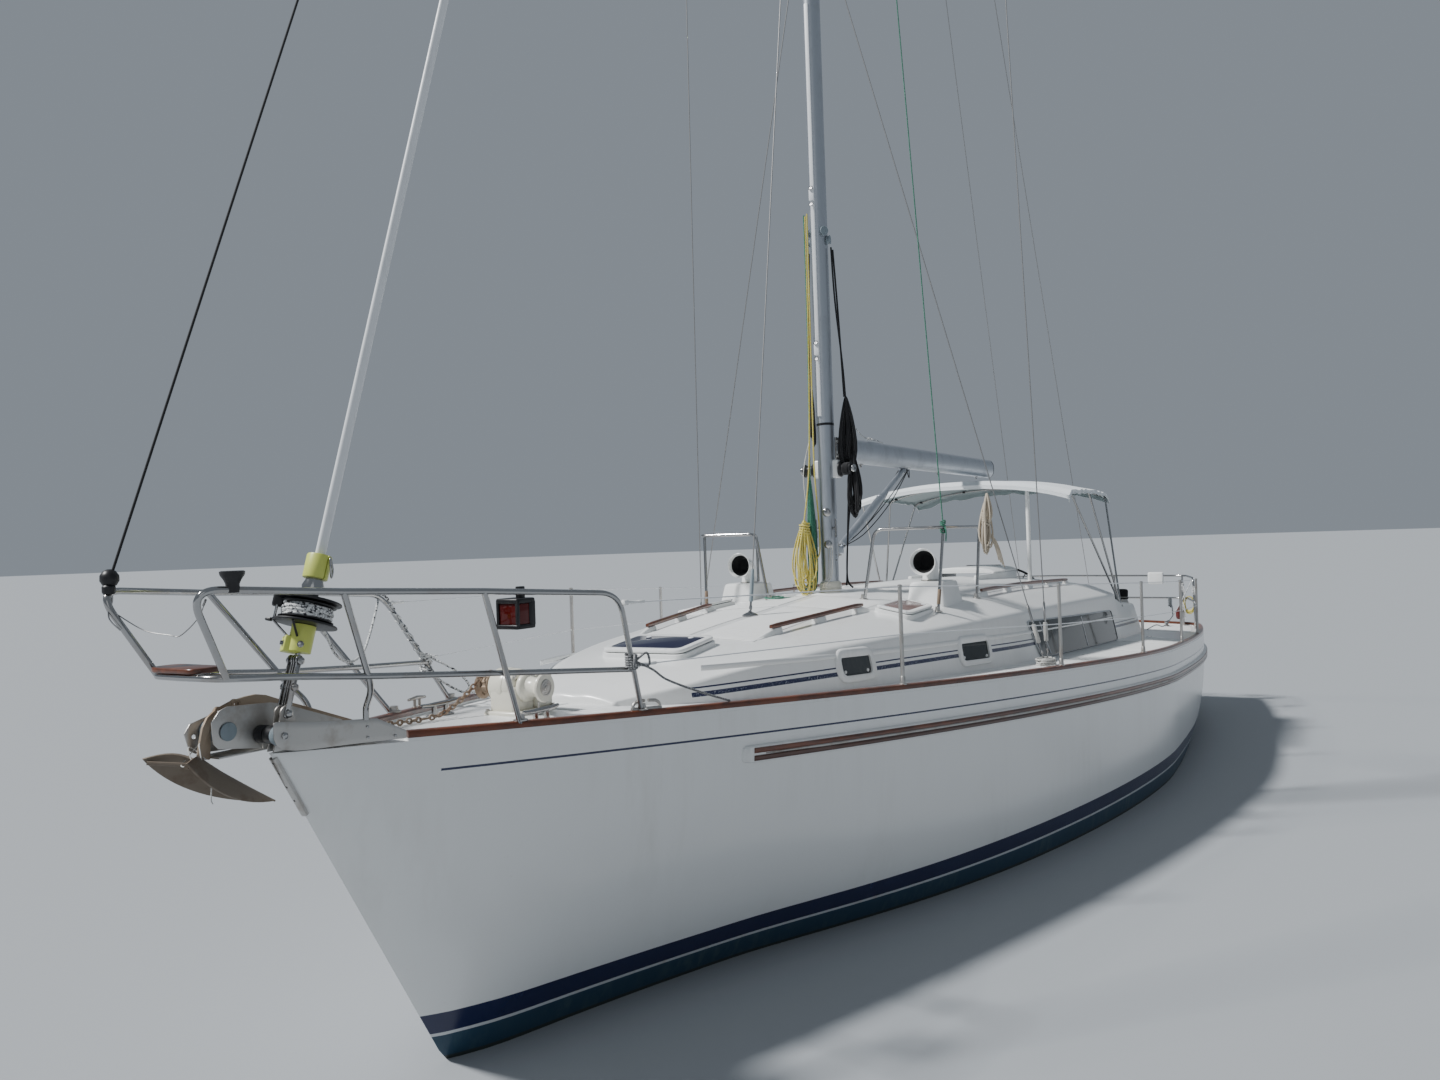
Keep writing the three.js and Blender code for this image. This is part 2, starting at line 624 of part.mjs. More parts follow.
const PUSHPIT = {
  top: [[-5650, 1880, 1040], [-5650, 1870, 1700], [-6380, 1690, 1700], [-6425, 1550, 1700], [-6425, 0, 1720]],
  low: [[-5650, 1872, 1400], [-6380, 1695, 1400], [-6425, 1560, 1400], [-6425, 0, 1415]],
  legs: [[[-6385, 1640, 1700], [-6385, 1640, 980]], [[-6425, 760, 1710], [-6425, 760, 1000]]],
};

function pushpit() {
  const rails = [PUSHPIT.top, PUSHPIT.low].map((list) => tube(bent(acrossRoute(list), 110), TUBE_R));
  const legs = [1, -1].flatMap((s) => PUSHPIT.legs.map((leg) => tube(routeOf(leg, s), TUBE_R)));
  return offRail(union(...rails, ...legs));
}

// Stanchions, at their feet's x, and the two lifelines, which begin beside the pulpit's aft leg
const STANCHIONS = [3110, 1140, -600, -2350, -4000];
const STANCHION_HEIGHT = 620;
const LINES = [{ height: 310, fore: [5176, 701, 1790] }, { height: 606, fore: [5355, 768, 2105] }];

function lifelines() {
  const foot = (x) => edgeAt(x) - RAIL_WIDTH / 2 - 1;
  const posts = STANCHIONS.map((x) => {
    return tube([V(x, foot(x), sheer(x) - 20), V(x, foot(x), sheer(x) + STANCHION_HEIGHT)], TUBE_R);
  });
  const wires = LINES.map(({ height, fore }) => {
    const aft = V(-5650 + TUBE_R + GAP, 1874, sheer(-5630) + height);
    const route = [V(...fore), ...STANCHIONS.map((x) => V(x, foot(x), sheer(x) + height)), aft];
    return tube(route, WIRE_R - 1, 6);
  });
  return offRail(union(...posts, ...wires));
}

// Mast with its spreaders, tangs, gooseneck, vang lug and winches
const SPREADERS = [{ z: 7650, reach: 1425, sweep: 430 }, { z: 12900, reach: 1130, sweep: 340 }];
const CHAINPLATE = V(760, 1590, 0);

function mastSection(z, scale = 1) {
  return Array.from({ length: 16 }, (_, j) => {
    const a = (j * Math.PI) / 8;
    return V(MAST_X + (Math.cos(a) * MAST_LENGTH * scale) / 2, (Math.sin(a) * MAST_WIDTH * scale) / 2, z);
  });
}

const TANG_REACH = 112;
const BABYSTAY_Z = 9120;

function mast() {
  const tang = box(MAST_X + 80, MAST_X + TANG_REACH + 22, -5, 5, BABYSTAY_Z, BABYSTAY_Z + 60);
  const wall = loft([mastSection(MAST_FOOT - 40), mastSection(MAST_TOP - 900), mastSection(MAST_TOP, 0.8)]);
  const collar = loft([mastSection(MAST_FOOT - 40, 1.28), mastSection(MAST_FOOT + 62, 1.24)]);
  const head = box(MAST_X - 190, MAST_X + 150, -40, 40, MAST_TOP - 60, MAST_TOP + 40);
  const spreaders = SPREADERS.flatMap(({ z, reach, sweep }) => [1, -1].map((s) => {
    const rings = [[0, 62, 24], [1, 34, 14]].map(([t, chord, thick]) => {
      const x = MAST_X - sweep * t;
      return Array.from({ length: 8 }, (_, j) => {
        const a = (j * Math.PI) / 4;
        return V(x + Math.cos(a) * chord, s * reach * t, z + 60 * t + Math.sin(a) * thick);
      });
    });
    return loft(rings);
  }));
  const goose = [BOOM_Z - 70, BOOM_Z + 46].map((z) => box(GOOSE.x - 24, MAST_X - 60, -30, 30, z, z + 24));
  const vangLug = [VANG_FOOT.z - 50, VANG_FOOT.z + 34].map((z) => box(GOOSE.x - 20, MAST_X - 60, -22, 22, z, z + 16));
  const winches = [1, -1].map((s) => {
    const pad = box(MAST_X - 75, MAST_X + 25, s > 0 ? 40 : -105, s > 0 ? 105 : -40, 2860, 3010);
    const drum = rod(V(MAST_X - 25, s * 100, 2930), V(MAST_X - 25, s * 240, 2930), 62, 44, 12);
    return union(pad, drum);
  });
  return onRoof(union(wall, collar, head, tang, ...spreaders, ...goose, ...vangLug, ...winches));
}

const GOOSE = { x: MAST_X - 170, half: 45.4 };
const VANG_FOOT = { z: 2270, half: 33.4 };
const VANG_HEAD = V(-470, 0, BOOM_Z - 90);

// The boom turns on a pin at the gooseneck, and the vang's foot turns on a pin below it.
function boom() {
  const ring = (x, k = 1) => Array.from({ length: 12 }, (_, j) => {
    const a = (j * Math.PI) / 6;
    return V(x, Math.sin(a) * 68 * k, BOOM_Z + Math.cos(a) * 105 * k);
  });
  const body = loft([ring(GOOSE.x - 60, 0.9), ring(GOOSE.x - 90), ring(BOOM_END_X + 40), ring(BOOM_END_X, 0.9)]);
  const knuckle = box(GOOSE.x - 70, GOOSE.x + 15, -22, 22, BOOM_Z - GOOSE.half, BOOM_Z + GOOSE.half);
  const lug = box(VANG_HEAD.x - 60, VANG_HEAD.x + 60, -8, 8, BOOM_Z - 150, BOOM_Z - 80);
  const foot = V(GOOSE.x, 0, VANG_FOOT.z);
  const line = VANG_HEAD.clone().sub(foot);
  const sleeve = rod(foot.clone().addScaledVector(line, 0.045), foot.clone().addScaledVector(line, 0.62), 34, 34, 12);
  const inner = rod(foot.clone().addScaledVector(line, 0.6), VANG_HEAD, 24, 24, 12);
  const eye = box(GOOSE.x - 100, GOOSE.x + 14, -14, 14, VANG_FOOT.z - VANG_FOOT.half, VANG_FOOT.z + VANG_FOOT.half);
  return union(body, knuckle, lug, sleeve, inner, eye);
}

// Furler on the forestay's line
const STAY_FOOT = V(6640, 0, 1790);
const STAY_HEAD = V(MAST_X + 95, 0, 18120);
const stayLine = STAY_HEAD.clone().sub(STAY_FOOT).normalize();
const onStay = (distance) => STAY_FOOT.clone().addScaledVector(stayLine, distance);
const stayRod = (a, b, r, r2 = r, sides = 12) => rod(onStay(a), onStay(b), r, r2, sides);
const FURLER = { toggle: 190, drum: 332.5, drumTop: 405.5, collar: 513, foil: 615 };
const FLANGE_R = 112;
const RING = { r: 132, away: 6, thick: 11 };

function furler() {
  return union(
    stayRod(FURLER.drum, FURLER.drum + 8, FLANGE_R),
    stayRod(FURLER.drum, FURLER.drumTop, 104),
    stayRod(FURLER.drumTop - 8, FURLER.drumTop, FLANGE_R),
    stayRod(FURLER.drumTop - 5, FURLER.collar, 30),
    stayRod(FURLER.collar - 5, FURLER.foil, 52),
    stayRod(FURLER.foil - 20, 16700, 24, 24, 8),
  );
}

const RUNNING_GAP = 0.6;

function furlerCage() {
  const { toggle, drum, drumTop } = FURLER;
  const { r, away, thick } = RING;
  const low = drum - away - thick;
  const collar = union(stayRod(30, toggle + 10, 12), stayRod(toggle, low + 2, 49), stayRod(low + 1, drum - RUNNING_GAP, 40));
  const base = stayRod(low, low + thick, r);
  const crown = stayRod(drumTop + away, drumTop + away + thick, r).subtract(stayRod(drumTop, drumTop + 40, 40));
  const across = V(0, 1, 0);
  const posts = [-1, 1].map((s) => {
    const a = onStay(low + 1).addScaledVector(across, s * (r - 7));
    return rod(a, a.clone().addScaledVector(stayLine, drumTop - drum + 2 * (away + thick) - 2), 6, 6, 8);
  });
  const straps = [TANG / 2 + GAP, -TANG / 2 - GAP - 9].map((y) => {
    return plateXZ([[6625, 1711], [6690, 1711], [6622, 1985], [6558, 1985]], y, y + 9);
  });
  return union(collar, base, crown, ...posts, ...straps);
}

const BUCKLE_R = 13;

// A stay from p to q with its turnbuckle at the lower end and a short terminal at the head.
function stay(p, q, buckle = 380) {
  const axis = q.clone().sub(p);
  const length = axis.length();
  const profile = [[0, 0], [BUCKLE_R, 0], [BUCKLE_R, buckle], [WIRE_R, buckle], [WIRE_R, length - 150]];
  const terminal = [[WIRE_R + 3, length - 150], [WIRE_R + 3, length], [0, length]];
  const outline = [...profile, ...terminal].map(([r, h]) => new THREE.Vector2(r, h));
  const g = new THREE.LatheGeometry(outline, 6);
  g.applyQuaternion(new THREE.Quaternion().setFromUnitVectors(V(0, 1, 0), axis.normalize()));
  g.translate(...p.toArray());
  return solid(g);
}

function shrouds() {
  const tip = (i) => V(MAST_X - SPREADERS[i].sweep - 4, SPREADERS[i].reach + 14, SPREADERS[i].z + 60);
  const foot = V(CHAINPLATE.x, CHAINPLATE.y, deckZ(CHAINPLATE.x, CHAINPLATE.y) + 40);
  const fore = foot.clone().add(V(95, 0, 0));
  const plate = box(foot.x - 30, fore.x + 30, foot.y - 9, foot.y + 9, foot.z - 60, foot.z + 35);
  return onDeck(union(
    plate,
    stay(foot, tip(0)),
    rod(tip(0), tip(1), WIRE_R, WIRE_R, 6),
    rod(tip(1), V(MAST_X + 6, 66, MAST_TOP - 160), WIRE_R, WIRE_R, 6),
    stay(fore, V(MAST_X - 20, 74, SPREADERS[0].z - 130)),
  ));
}

function babystay() {
  const foot = V(2715, 0, roofZ(2715, 0) + 36);
  const head = V(MAST_X + TANG_REACH, 0, BABYSTAY_Z - 4);
  const pad = box(foot.x - 55, foot.x + 55, -28, 28, foot.z - 60, foot.z - 22);
  const eye = box(foot.x - 20, foot.x + 20, -6, 6, foot.z - 60, foot.z + 6);
  return onRoof(union(pad, eye, stay(foot, head, 260)));
}

function backstay() {
  const z = MAST_TOP - 60 - GAP;
  const block = box(MAST_X - 182, MAST_X - 150, -30, 30, z - 60, z);
  const halves = [1, -1].map((s) => {
    const foot = V(-6395, s * 480, 1120);
    const plate = box(foot.x - 24, foot.x + 24, foot.y - 6, foot.y + 6, 960, foot.z + 10);
    return union(plate, stay(foot, V(MAST_X - 165, s * 16, z - 10)));
  });
  return onDeck(union(block, ...halves));
}

// Guard bars beside the mast: the bar's route in the port half, and its middle leg
const GUARD = {
  bar: [[1630, 410, 1830], [1630, 520, 2425], [1630, 1050, 2425], [640, 1040, 2425], [690, 1010, 1760]],
  leg: [[1560, 1047, 2425], [1630, 1005, 1760]],
};

function guardBar() {
  const bar = tube(bent(routeOf(GUARD.bar), 70), TUBE_R);
  return onRoof(union(bar, tube(routeOf(GUARD.leg), TUBE_R)));
}

const DORADE = { x0: 980, x1: 1420, y0: 680, y1: 985, z: 2010, cowlX: 1290, cowlY: 815, cowlZ: 2148 };

function dorade() {
  const { x0, x1, y0, y1, z, cowlX, cowlY, cowlZ } = DORADE;
  const boxed = loft([
    [V(x0, y0, 1740), V(x1 + 20, y0, 1740), V(x1 + 20, y1 + 15, 1740), V(x0, y1 + 15, 1740)],
    [V(x0 + 20, y0 + 15, z), V(x1 - 30, y0 + 15, z), V(x1 - 30, y1 - 15, z), V(x0 + 20, y1 - 15, z)],
  ]);
  const neck = rod(V(cowlX - 70, cowlY, z - 20), V(cowlX - 70, cowlY, cowlZ), 70, 62, 14);
  const horn = loft([[-80, 55], [-20, 66], [40, 84], [110, 105]].map(([dx, r]) => {
    return Array.from({ length: 14 }, (_, j) => {
      const a = (j * 2 * Math.PI) / 14;
      return V(cowlX + dx, cowlY + r * Math.sin(a), cowlZ + 4 + r * Math.cos(a));
    });
  }));
  const mouth = loft([[-30, 50], [40, 74], [130, 98]].map(([dx, r]) => {
    return Array.from({ length: 14 }, (_, j) => {
      const a = (j * 2 * Math.PI) / 14;
      return V(cowlX + dx, cowlY + r * Math.sin(a), cowlZ + 4 + r * Math.cos(a));
    });
  }));
  return onRoof(union(boxed, neck, horn).subtract(mouth));
}

// Handrails: start and end as x and y, and the number of feet
const HANDRAILS = { fore: [3290, 480, 2220, 630, 3], aft: [480, 1000, -2350, 1040, 5] };

function handrail([x0, y0, x1, y1, feet]) {
  const at = (t) => V(x0 + (x1 - x0) * t, y0 + (y1 - y0) * t, 0);
  const line = Array.from({ length: feet }, (_, i) => {
    const p = at(i / (feet - 1));
    return V(p.x, p.y, roofZ(p.x, p.y) + 62);
  });
  const blocks = line.map((p) => box(p.x - 45, p.x + 45, p.y - 15, p.y + 15, p.z - 90, p.z));
  return onRoof(union(tube(line, 17), ...blocks));
}

function windlass() {
  const z = deckZ(5300, 0);
  const body = loft([
    [V(5060, -100, z - 20), V(5060, 110, z - 20), V(5380, 110, z - 20), V(5380, -100, z - 20)],
    [V(5060, -95, z + 120), V(5060, 105, z + 120), V(5370, 105, z + 120), V(5370, -95, z + 120)],
    [V(5170, -85, z + 220), V(5170, 95, z + 220), V(5335, 95, z + 220), V(5335, -85, z + 220)],
  ]);
  const turned = (y0, y1, r, r2 = r) => rod(V(WINDLASS.x, y0, WINDLASS.z), V(WINDLASS.x, y1, WINDLASS.z), r, r2, 14);
  const axle = turned(-230, 215, 18);
  const gypsy = turned(-190, -130, WINDLASS.gypsyR);
  const drum = turned(130, 215, 58, 72);
  return onDeck(union(body, axle, gypsy, drum));
}

// Chain from the anchor's shank over the deck to the windlass, of links that hold each other.
function chain() {
  const { links, bar, width, shackleGap, gypsyGap, flatness } = CHAIN;
  const overlap = 1.5 * bar;
  const ends = overlap + GAP;
  const route = new THREE.CurvePath();
  const corners = [
    V(SHANK[0][0] - ends - shackleGap, ANCHOR_Y, 1626),
    V(6060, ANCHOR_Y, 1592),
    V(5640, -145, 1576),
    V(WINDLASS.x + WINDLASS.gypsyR + ends + gypsyGap, -158, WINDLASS.z),
  ];
  corners.slice(1).forEach((corner, i) => route.add(new THREE.LineCurve3(corners[i], corner)));
  const pitch = route.getLength() / links;
  const shapes = Array.from({ length: links }, (_, i) => {
    const share = (i + 0.5) / links;
    const tall = i % 2;
    const sides = [bar * flatness, width * 2];
    const g = new THREE.BoxGeometry(pitch + 2 * overlap, sides[tall ? 0 : 1], sides[tall ? 1 : 0]);
    g.applyQuaternion(new THREE.Quaternion().setFromUnitVectors(V(-1, 0, 0), route.getTangentAt(share)));
    g.translate(...route.getPointAt(share).toArray());
    return solid(g);
  });
  return union(...shapes);
}

function cleat(x, y, along) {
  const z = deckZ(x, y);
  const bar = rod(V(x - 130 * along, y, z + 62), V(x + 130 * along, y, z + 62), 13, 13, 8);
  const legs = [-1, 1].map((s) => rod(V(x + s * 42, y, z - 8), V(x + s * 42, y, z + 62), 15, 15, 8));
  const base = box(x - 80, x + 80, y - 24, y + 24, z - 8, z + 10);
  return onDeck(union(bar, base, ...legs));
}

// Coaming round the cockpit
const COAMING = [
  [-2903.5, 1490, 1400, 1640],
  [-3300, 1492, 1395, 1560],
  [-3900, 1482, 1385, 1505],
  [-4350, 1450, 1350, 1470],
  [-4600, 1330, 1230, 1420],
  [-4690, 1100, 1000, 1340],
];

function coaming() {
  const outer = loft(COAMING.map(([x, base, top, z]) => [
    V(x, base, deckZ(x, base) - 60),
    V(x, top, z),
    V(x, -top, z),
    V(x, -base, deckZ(x, base) - 60),
  ]));
  const well = box(WELL.aft, -2800, -WELL.seatHalf, WELL.seatHalf, 900, 2500);
  return onDeck(outer.subtract(well));
}

function companionHatch() {
  const { aft, fore, half } = COMPANION;
  const z = roofZ(fore, half) + SLIDE_RAIL + LID_CLEARANCE;
  const edge = half + 40;
  const crown = (x, lift) => [V(x, -edge, z), V(x, -edge, z + 24), V(x, 0, z + lift), V(x, edge, z + 24), V(x, edge, z)];
  const lid = loft([crown(aft - 20, 58), crown(fore + 30, 62)]);
  const inner = box(aft + 20, fore, -half + 30, half - 30, z - 10, z + 10);
  return lid.subtract(inner);
}

function washboard() {
  const { aft, half, sill } = COMPANION;
  const top = roofZ(aft + 30, half) - 30;
  return box(aft + 4, aft + 36, -half + GAP, half - GAP, sill + GAP, top);
}

// Steering pedestal and wheel
const WHEEL_R = 430;
const HELM = V(STEERING_X, 0, 1490);
const HUB = { aft: HELM.x - 50, fore: HELM.x + 34 };
const BOSS_AFT = HUB.fore + 0.5;
const PEDESTAL_GUARD = { x: HELM.x + 260, half: 190, top: 1730 };

function pedestal() {
  const x = HELM.x + 150;
  const column = rod(V(x, 0, SOLE_Z - 5), V(x, 0, HELM.z - 20), 85, 60, 14);
  const boss = rod(V(BOSS_AFT, 0, HELM.z), V(x, 0, HELM.z), 30, 30, 12);
  const [aft, fore] = [x - 75, x + 75];
  const head = loft([
    [V(aft, -95, HELM.z - 60), V(aft, 95, HELM.z - 60), V(fore, 95, HELM.z - 60), V(fore, -95, HELM.z - 60)],
    [V(aft, -90, HELM.z + 90), V(aft, 90, HELM.z + 90), V(fore - 30, 80, HELM.z + 150), V(fore - 30, -80, HELM.z + 150)],
  ]);
  const { x: guardX, half, top } = PEDESTAL_GUARD;
  const corners = [V(guardX, -half, SOLE_Z - 5), V(guardX, -half, top), V(guardX, half, top), V(guardX, half, SOLE_Z - 5)];
  const guard = tube(bent(corners, 120), TUBE_R);
  const bridge = rod(V(HELM.x + 100, -half, HELM.z - 30), V(guardX, -half, HELM.z - 30), 9, 9, 8);
  const tie = rod(V(HELM.x + 120, -195, HELM.z - 30), V(HELM.x + 120, 195, HELM.z - 30), 9, 9, 8);
  return union(column, boss, head, guard, bridge, starboard(bridge), tie).subtract(floorBlock);
}

const floorBlock = box(WELL.aft, WELL.fore, -WELL.half, WELL.half, SOLE_Z - 50, SOLE_Z + GAP);

function steeringWheel() {
  const rim = tube(Array.from({ length: 28 }, (_, i) => {
    const a = (i * Math.PI) / 14;
    return V(HELM.x - 20, WHEEL_R * Math.cos(a), HELM.z + WHEEL_R * Math.sin(a));
  }), 14, 8, true);
  const spokes = [0, 1, 2].map((i) => {
    const a = (i * Math.PI) / 3 + Math.PI / 2;
    const end = V(0, WHEEL_R * Math.cos(a), WHEEL_R * Math.sin(a));
    return rod(V(HELM.x - 20, -end.y, HELM.z - end.z), V(HELM.x - 20, end.y, HELM.z + end.z), 8, 8, 8);
  });
  const hub = rod(V(HUB.aft, 0, HELM.z), V(HUB.fore, 0, HELM.z), 46, 46, 14);
  return union(rim, hub, ...spokes);
}

function cockpitWinch() {
  const p = V(-3900, 1310, 1500);
  return rod(p.clone().add(V(0, 0, -12)), p.clone().add(V(0, 0, 70)), 78, 62, 16)
    .add(rod(p.clone().add(V(0, 0, 65)), p.clone().add(V(0, 0, 150)), 58, 70, 16))
    .subtract(coamingBody.translate([0, 0, GAP]));
}

// Bimini: canopy stations as x and height at the middle, with a crowned section
const BIMINI = { fore: -2000, aft: -4050, half: 1180, edge: 2790, crown: 150, cloth: 14, bow: 11, seat: 10.8 };

function canopyRing(x, lower, drop) {
  const points = [-1, -0.85, -0.5, 0, 0.5, 0.85, 1].map((t) => {
    return V(x, BIMINI.half * t, BIMINI.edge - drop + BIMINI.crown * (1 - Math.abs(t) ** 2.4) - lower);
  });
  return points;
}

function canopy() {
  const rows = [[BIMINI.fore, 60], [-2150, 10], [-3025, -15], [-3900, 10], [BIMINI.aft, 60]];
  return loft(rows.map(([x, drop]) => [...canopyRing(x, 0, drop), ...canopyRing(x, BIMINI.cloth, drop).reverse()]));
}

function biminiFrame() {
  const foot = V(-3350, 1400, 1500);
  const bows = [[-2160, 12], [-3025, -15], [-3890, 12]].map(([x, drop]) => {
    const arch = canopyRing(x, BIMINI.cloth + BIMINI.seat, drop).map((p) => V(p.x, p.y * 0.985, p.z));
    return tube(bent([V(foot.x, -foot.y, foot.z), ...arch, V(foot.x, foot.y, foot.z)], 100), BIMINI.bow, 6);
  });
  const feet = [1, -1].map((s) => box(foot.x - 50, foot.x + 50, s * foot.y - 20, s * foot.y + 20, 1440, foot.z + 20));
  return union(...bows, ...feet).subtract(coamingBody.translate([0, 0, GAP]));
}

// Assembly
const railBody = toeRail();
const stemheadBody = stemhead();
const coamingBody = coaming();

function offRail(shape) {
  return onDeck(shape).subtract(railBody.translate([0, 0, GAP]));
}

add("hull", hull(), GELCOAT);
add("keel", underHull(foil(KEEL)), ANTIFOULING);
const rudderStock = rod(V(RUDDER_STOCK_X, 0, -1200), V(RUDDER_STOCK_X, 0, 180), STOCK_R, STOCK_R, 14);
add("rudder", union(foil(RUDDER), rudderStock), ANTIFOULING);
add("propeller", propeller(), BRONZE);
add("shaft_strut", shaftStrut(), BRONZE);
add("engine", box(-2650, -1750, -270, 270, -250 + GAP, 380), ENGINE_PAINT);
add("coachroof", coachroof(), GELCOAT);
SIDES.forEach(([name, side]) => {
  add("window_" + name, side(pane(WINDOW)), SMOKED);
  PORTLIGHTS.forEach((outline, i) => add("portlight_" + name + "_" + (i + 1), side(pane(outline)), SMOKED));
});
const lidOf = (hatch) => hatchSlab(hatch, hatch.frame + LID_CLEARANCE, hatch.frame + LID_CLEARANCE + hatch.lid, 4);
add("fore_hatch", lidOf(FORE_HATCH), BLUE_LENS);
SIDES.forEach(([name, side]) => add("side_hatch_" + name, side(lidOf(SIDE_HATCH)), BROWN_LENS));
add("companion_hatch", companionHatch(), GELCOAT);
add("washboard", washboard(), TEAK);
add("coaming", coamingBody, GELCOAT);
add("toe_rail", railBody, TEAK);
SIDES.forEach(([name, side]) => add("rub_rail_" + name, side(rubRail()), TEAK));
add("stemhead", stemheadBody, STEEL);
add("anchor", anchor(), GALVANISED);
add("anchor_chain", chain(), GALVANISED);
add("windlass", windlass(), GELCOAT);
add("pulpit", pulpit(), STEEL);
add("pulpit_seat", box(6985, 7120, -190, 190, 1943 + TUBE_R + GAP, 1978), TEAK);
add("pushpit", pushpit(), STEEL);
SIDES.forEach(([name, side]) => add("lifelines_" + name, side(lifelines()), STEEL));
SIDES.forEach(([name, side]) => {
  add("bow_cleat_" + name, side(cleat(5450, 330, 1)), STEEL);
  add("stern_cleat_" + name, side(cleat(-5900, 1500, 1)), STEEL);
});
add("mast", mast(), ALLOY);
add("boom", boom(), ALLOY);
add("furler", furler(), ALLOY);
add("furler_cage", furlerCage(), BLACK);
SIDES.forEach(([name, side]) => add("shrouds_" + name, side(shrouds()), STEEL));
add("babystay", babystay(), STEEL);
add("backstay", backstay(), STEEL);
SIDES.forEach(([name, side]) => {
  add("guard_bar_" + name, side(guardBar()), STEEL);
  add("dorade_" + name, side(dorade()), GELCOAT);
  add("handrail_fore_" + name, side(handrail(HANDRAILS.fore)), TEAK);
  add("handrail_aft_" + name, side(handrail(HANDRAILS.aft)), TEAK);
});
add("pedestal", pedestal(), GELCOAT);
add("steering_wheel", steeringWheel(), STEEL);
SIDES.forEach(([name, side]) => add("winch_" + name, side(cockpitWinch()), STEEL));
add("bimini_canopy", canopy(), CANVAS);
add("bimini_frame", biminiFrame(), STEEL);

export default root;
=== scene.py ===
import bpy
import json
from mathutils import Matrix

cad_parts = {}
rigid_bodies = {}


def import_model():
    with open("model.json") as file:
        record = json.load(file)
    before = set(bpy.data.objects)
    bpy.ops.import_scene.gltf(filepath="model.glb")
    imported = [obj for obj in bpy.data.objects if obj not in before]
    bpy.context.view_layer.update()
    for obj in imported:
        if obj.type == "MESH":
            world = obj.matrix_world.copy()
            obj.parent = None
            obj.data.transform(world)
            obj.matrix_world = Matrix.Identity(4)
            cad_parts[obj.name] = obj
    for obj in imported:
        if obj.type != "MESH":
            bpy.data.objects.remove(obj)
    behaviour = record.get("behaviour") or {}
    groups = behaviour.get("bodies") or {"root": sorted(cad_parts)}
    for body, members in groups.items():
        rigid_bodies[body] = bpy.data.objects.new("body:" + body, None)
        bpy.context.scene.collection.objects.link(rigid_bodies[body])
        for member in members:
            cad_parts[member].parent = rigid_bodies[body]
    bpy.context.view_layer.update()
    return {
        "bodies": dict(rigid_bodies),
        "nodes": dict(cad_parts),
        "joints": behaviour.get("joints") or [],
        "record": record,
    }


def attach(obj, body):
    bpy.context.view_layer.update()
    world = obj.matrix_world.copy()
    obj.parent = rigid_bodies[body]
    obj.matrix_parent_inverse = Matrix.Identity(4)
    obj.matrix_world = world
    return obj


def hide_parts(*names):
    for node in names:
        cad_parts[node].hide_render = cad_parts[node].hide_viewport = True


bl_info = {
    "name": "Sailing yacht afloat",
    "version": (1, 0, 0),
    "blender": (4, 5, 0),
    "location": "View3D > Sidebar > Yacht",
    "description": "Dresses a masthead sloop: hull, deck, deck gear, rig and canopy",
    "category": "Add Mesh",
}

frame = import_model()

import json
import math
import random

import bpy
from bpy.props import FloatProperty, FloatVectorProperty, PointerProperty
from mathutils import Matrix, Vector

SIDES = (("port", 1), ("stbd", -1))
TO_PORT = (0, 1, 0)

# Hull lines, in metres: +X to the bow, +Y to port, +Z up from the water
BOW_X = 6.725
STERN_X = -6.5
BEAM_X = -1.666
HALF_BEAM = 2.19
BOW_POWER = 1.6
BOW_LINE_X = 6.76
STERN_NARROWING = 0.1672
STERN_POWER = 2.55
# Height of the sheer line at x = 0, its slope there and its curve
SHEER = {"height": 1.308, "slope": 0.0433, "curve": 0.0009}
RAIL_HEIGHT = 0.045
DECK_CAMBER = 0.06
STEM_FOOT_X = 5.836
STEM_SLOPE = 1.78
# Hull stations: x, height of the keel line, fullness of the section, roundness of the bilge
STATIONS = (
    (5.6, -0.215, 1.8, 1.15), (5.2, -0.33, 2.0, 1.2), (4.6, -0.425, 2.3, 1.28), (4.0, -0.5, 2.7, 1.35),
    (3.2, -0.57, 3.8, 1.55), (2.4, -0.62, 5.0, 1.8), (1.6, -0.66, 6.0, 2.0), (0.6, -0.69, 6.8, 2.0),
    (-0.6, -0.7, 7.0, 2.0), (-1.7, -0.67, 6.8, 2.0), (-2.8, -0.6, 6.2, 2.0), (-3.8, -0.48, 5.4, 2.0),
    (-4.7, -0.33, 4.6, 2.0), (-5.5, -0.13, 4.0, 2.1), (-6.1, 0.05, 3.6, 2.2), (STERN_X, 0.17, 3.4, 2.2),
)
# Fullness and roundness where the raked stem rises from the water: x, height, fullness, roundness
BOW_STATIONS = (
    (BOW_X, STEM_SLOPE * (BOW_X - STEM_FOOT_X), 1.4, 1.05),
    (6.5, STEM_SLOPE * (6.5 - STEM_FOOT_X), 1.5, 1.05), (6.2, STEM_SLOPE * (6.2 - STEM_FOOT_X), 1.6, 1.05),
    (STEM_FOOT_X, 0, 1.7, 1.1),
)
# Coachroof stations: x, half-widths at the base, edge and shoulder, heights of edge, shoulder and crown
ROOF = (
    (4.78, 0.3, 0.28, 0.2, 1.535, 1.555, 1.565), (4.45, 0.56, 0.52, 0.38, 1.59, 1.625, 1.64),
    (4.08, 0.72, 0.67, 0.48, 1.64, 1.675, 1.695), (3.3, 0.97, 0.9, 0.64, 1.69, 1.75, 1.79),
    (2.3, 1.18, 1.11, 0.84, 1.705, 1.805, 1.87), (1.3, 1.33, 1.25, 0.98, 1.71, 1.83, 1.945),
    (0.7, 1.39, 1.32, 1.05, 1.712, 1.835, 1.96), (-0.6, 1.45, 1.385, 1.12, 1.705, 1.825, 1.95),
    (-1.8, 1.485, 1.415, 1.15, 1.685, 1.795, 1.915), (-2.9, 1.495, 1.42, 1.16, 1.66, 1.765, 1.88),
)


def sheer(x):
    return SHEER["height"] + SHEER["slope"] * x + SHEER["curve"] * x * x


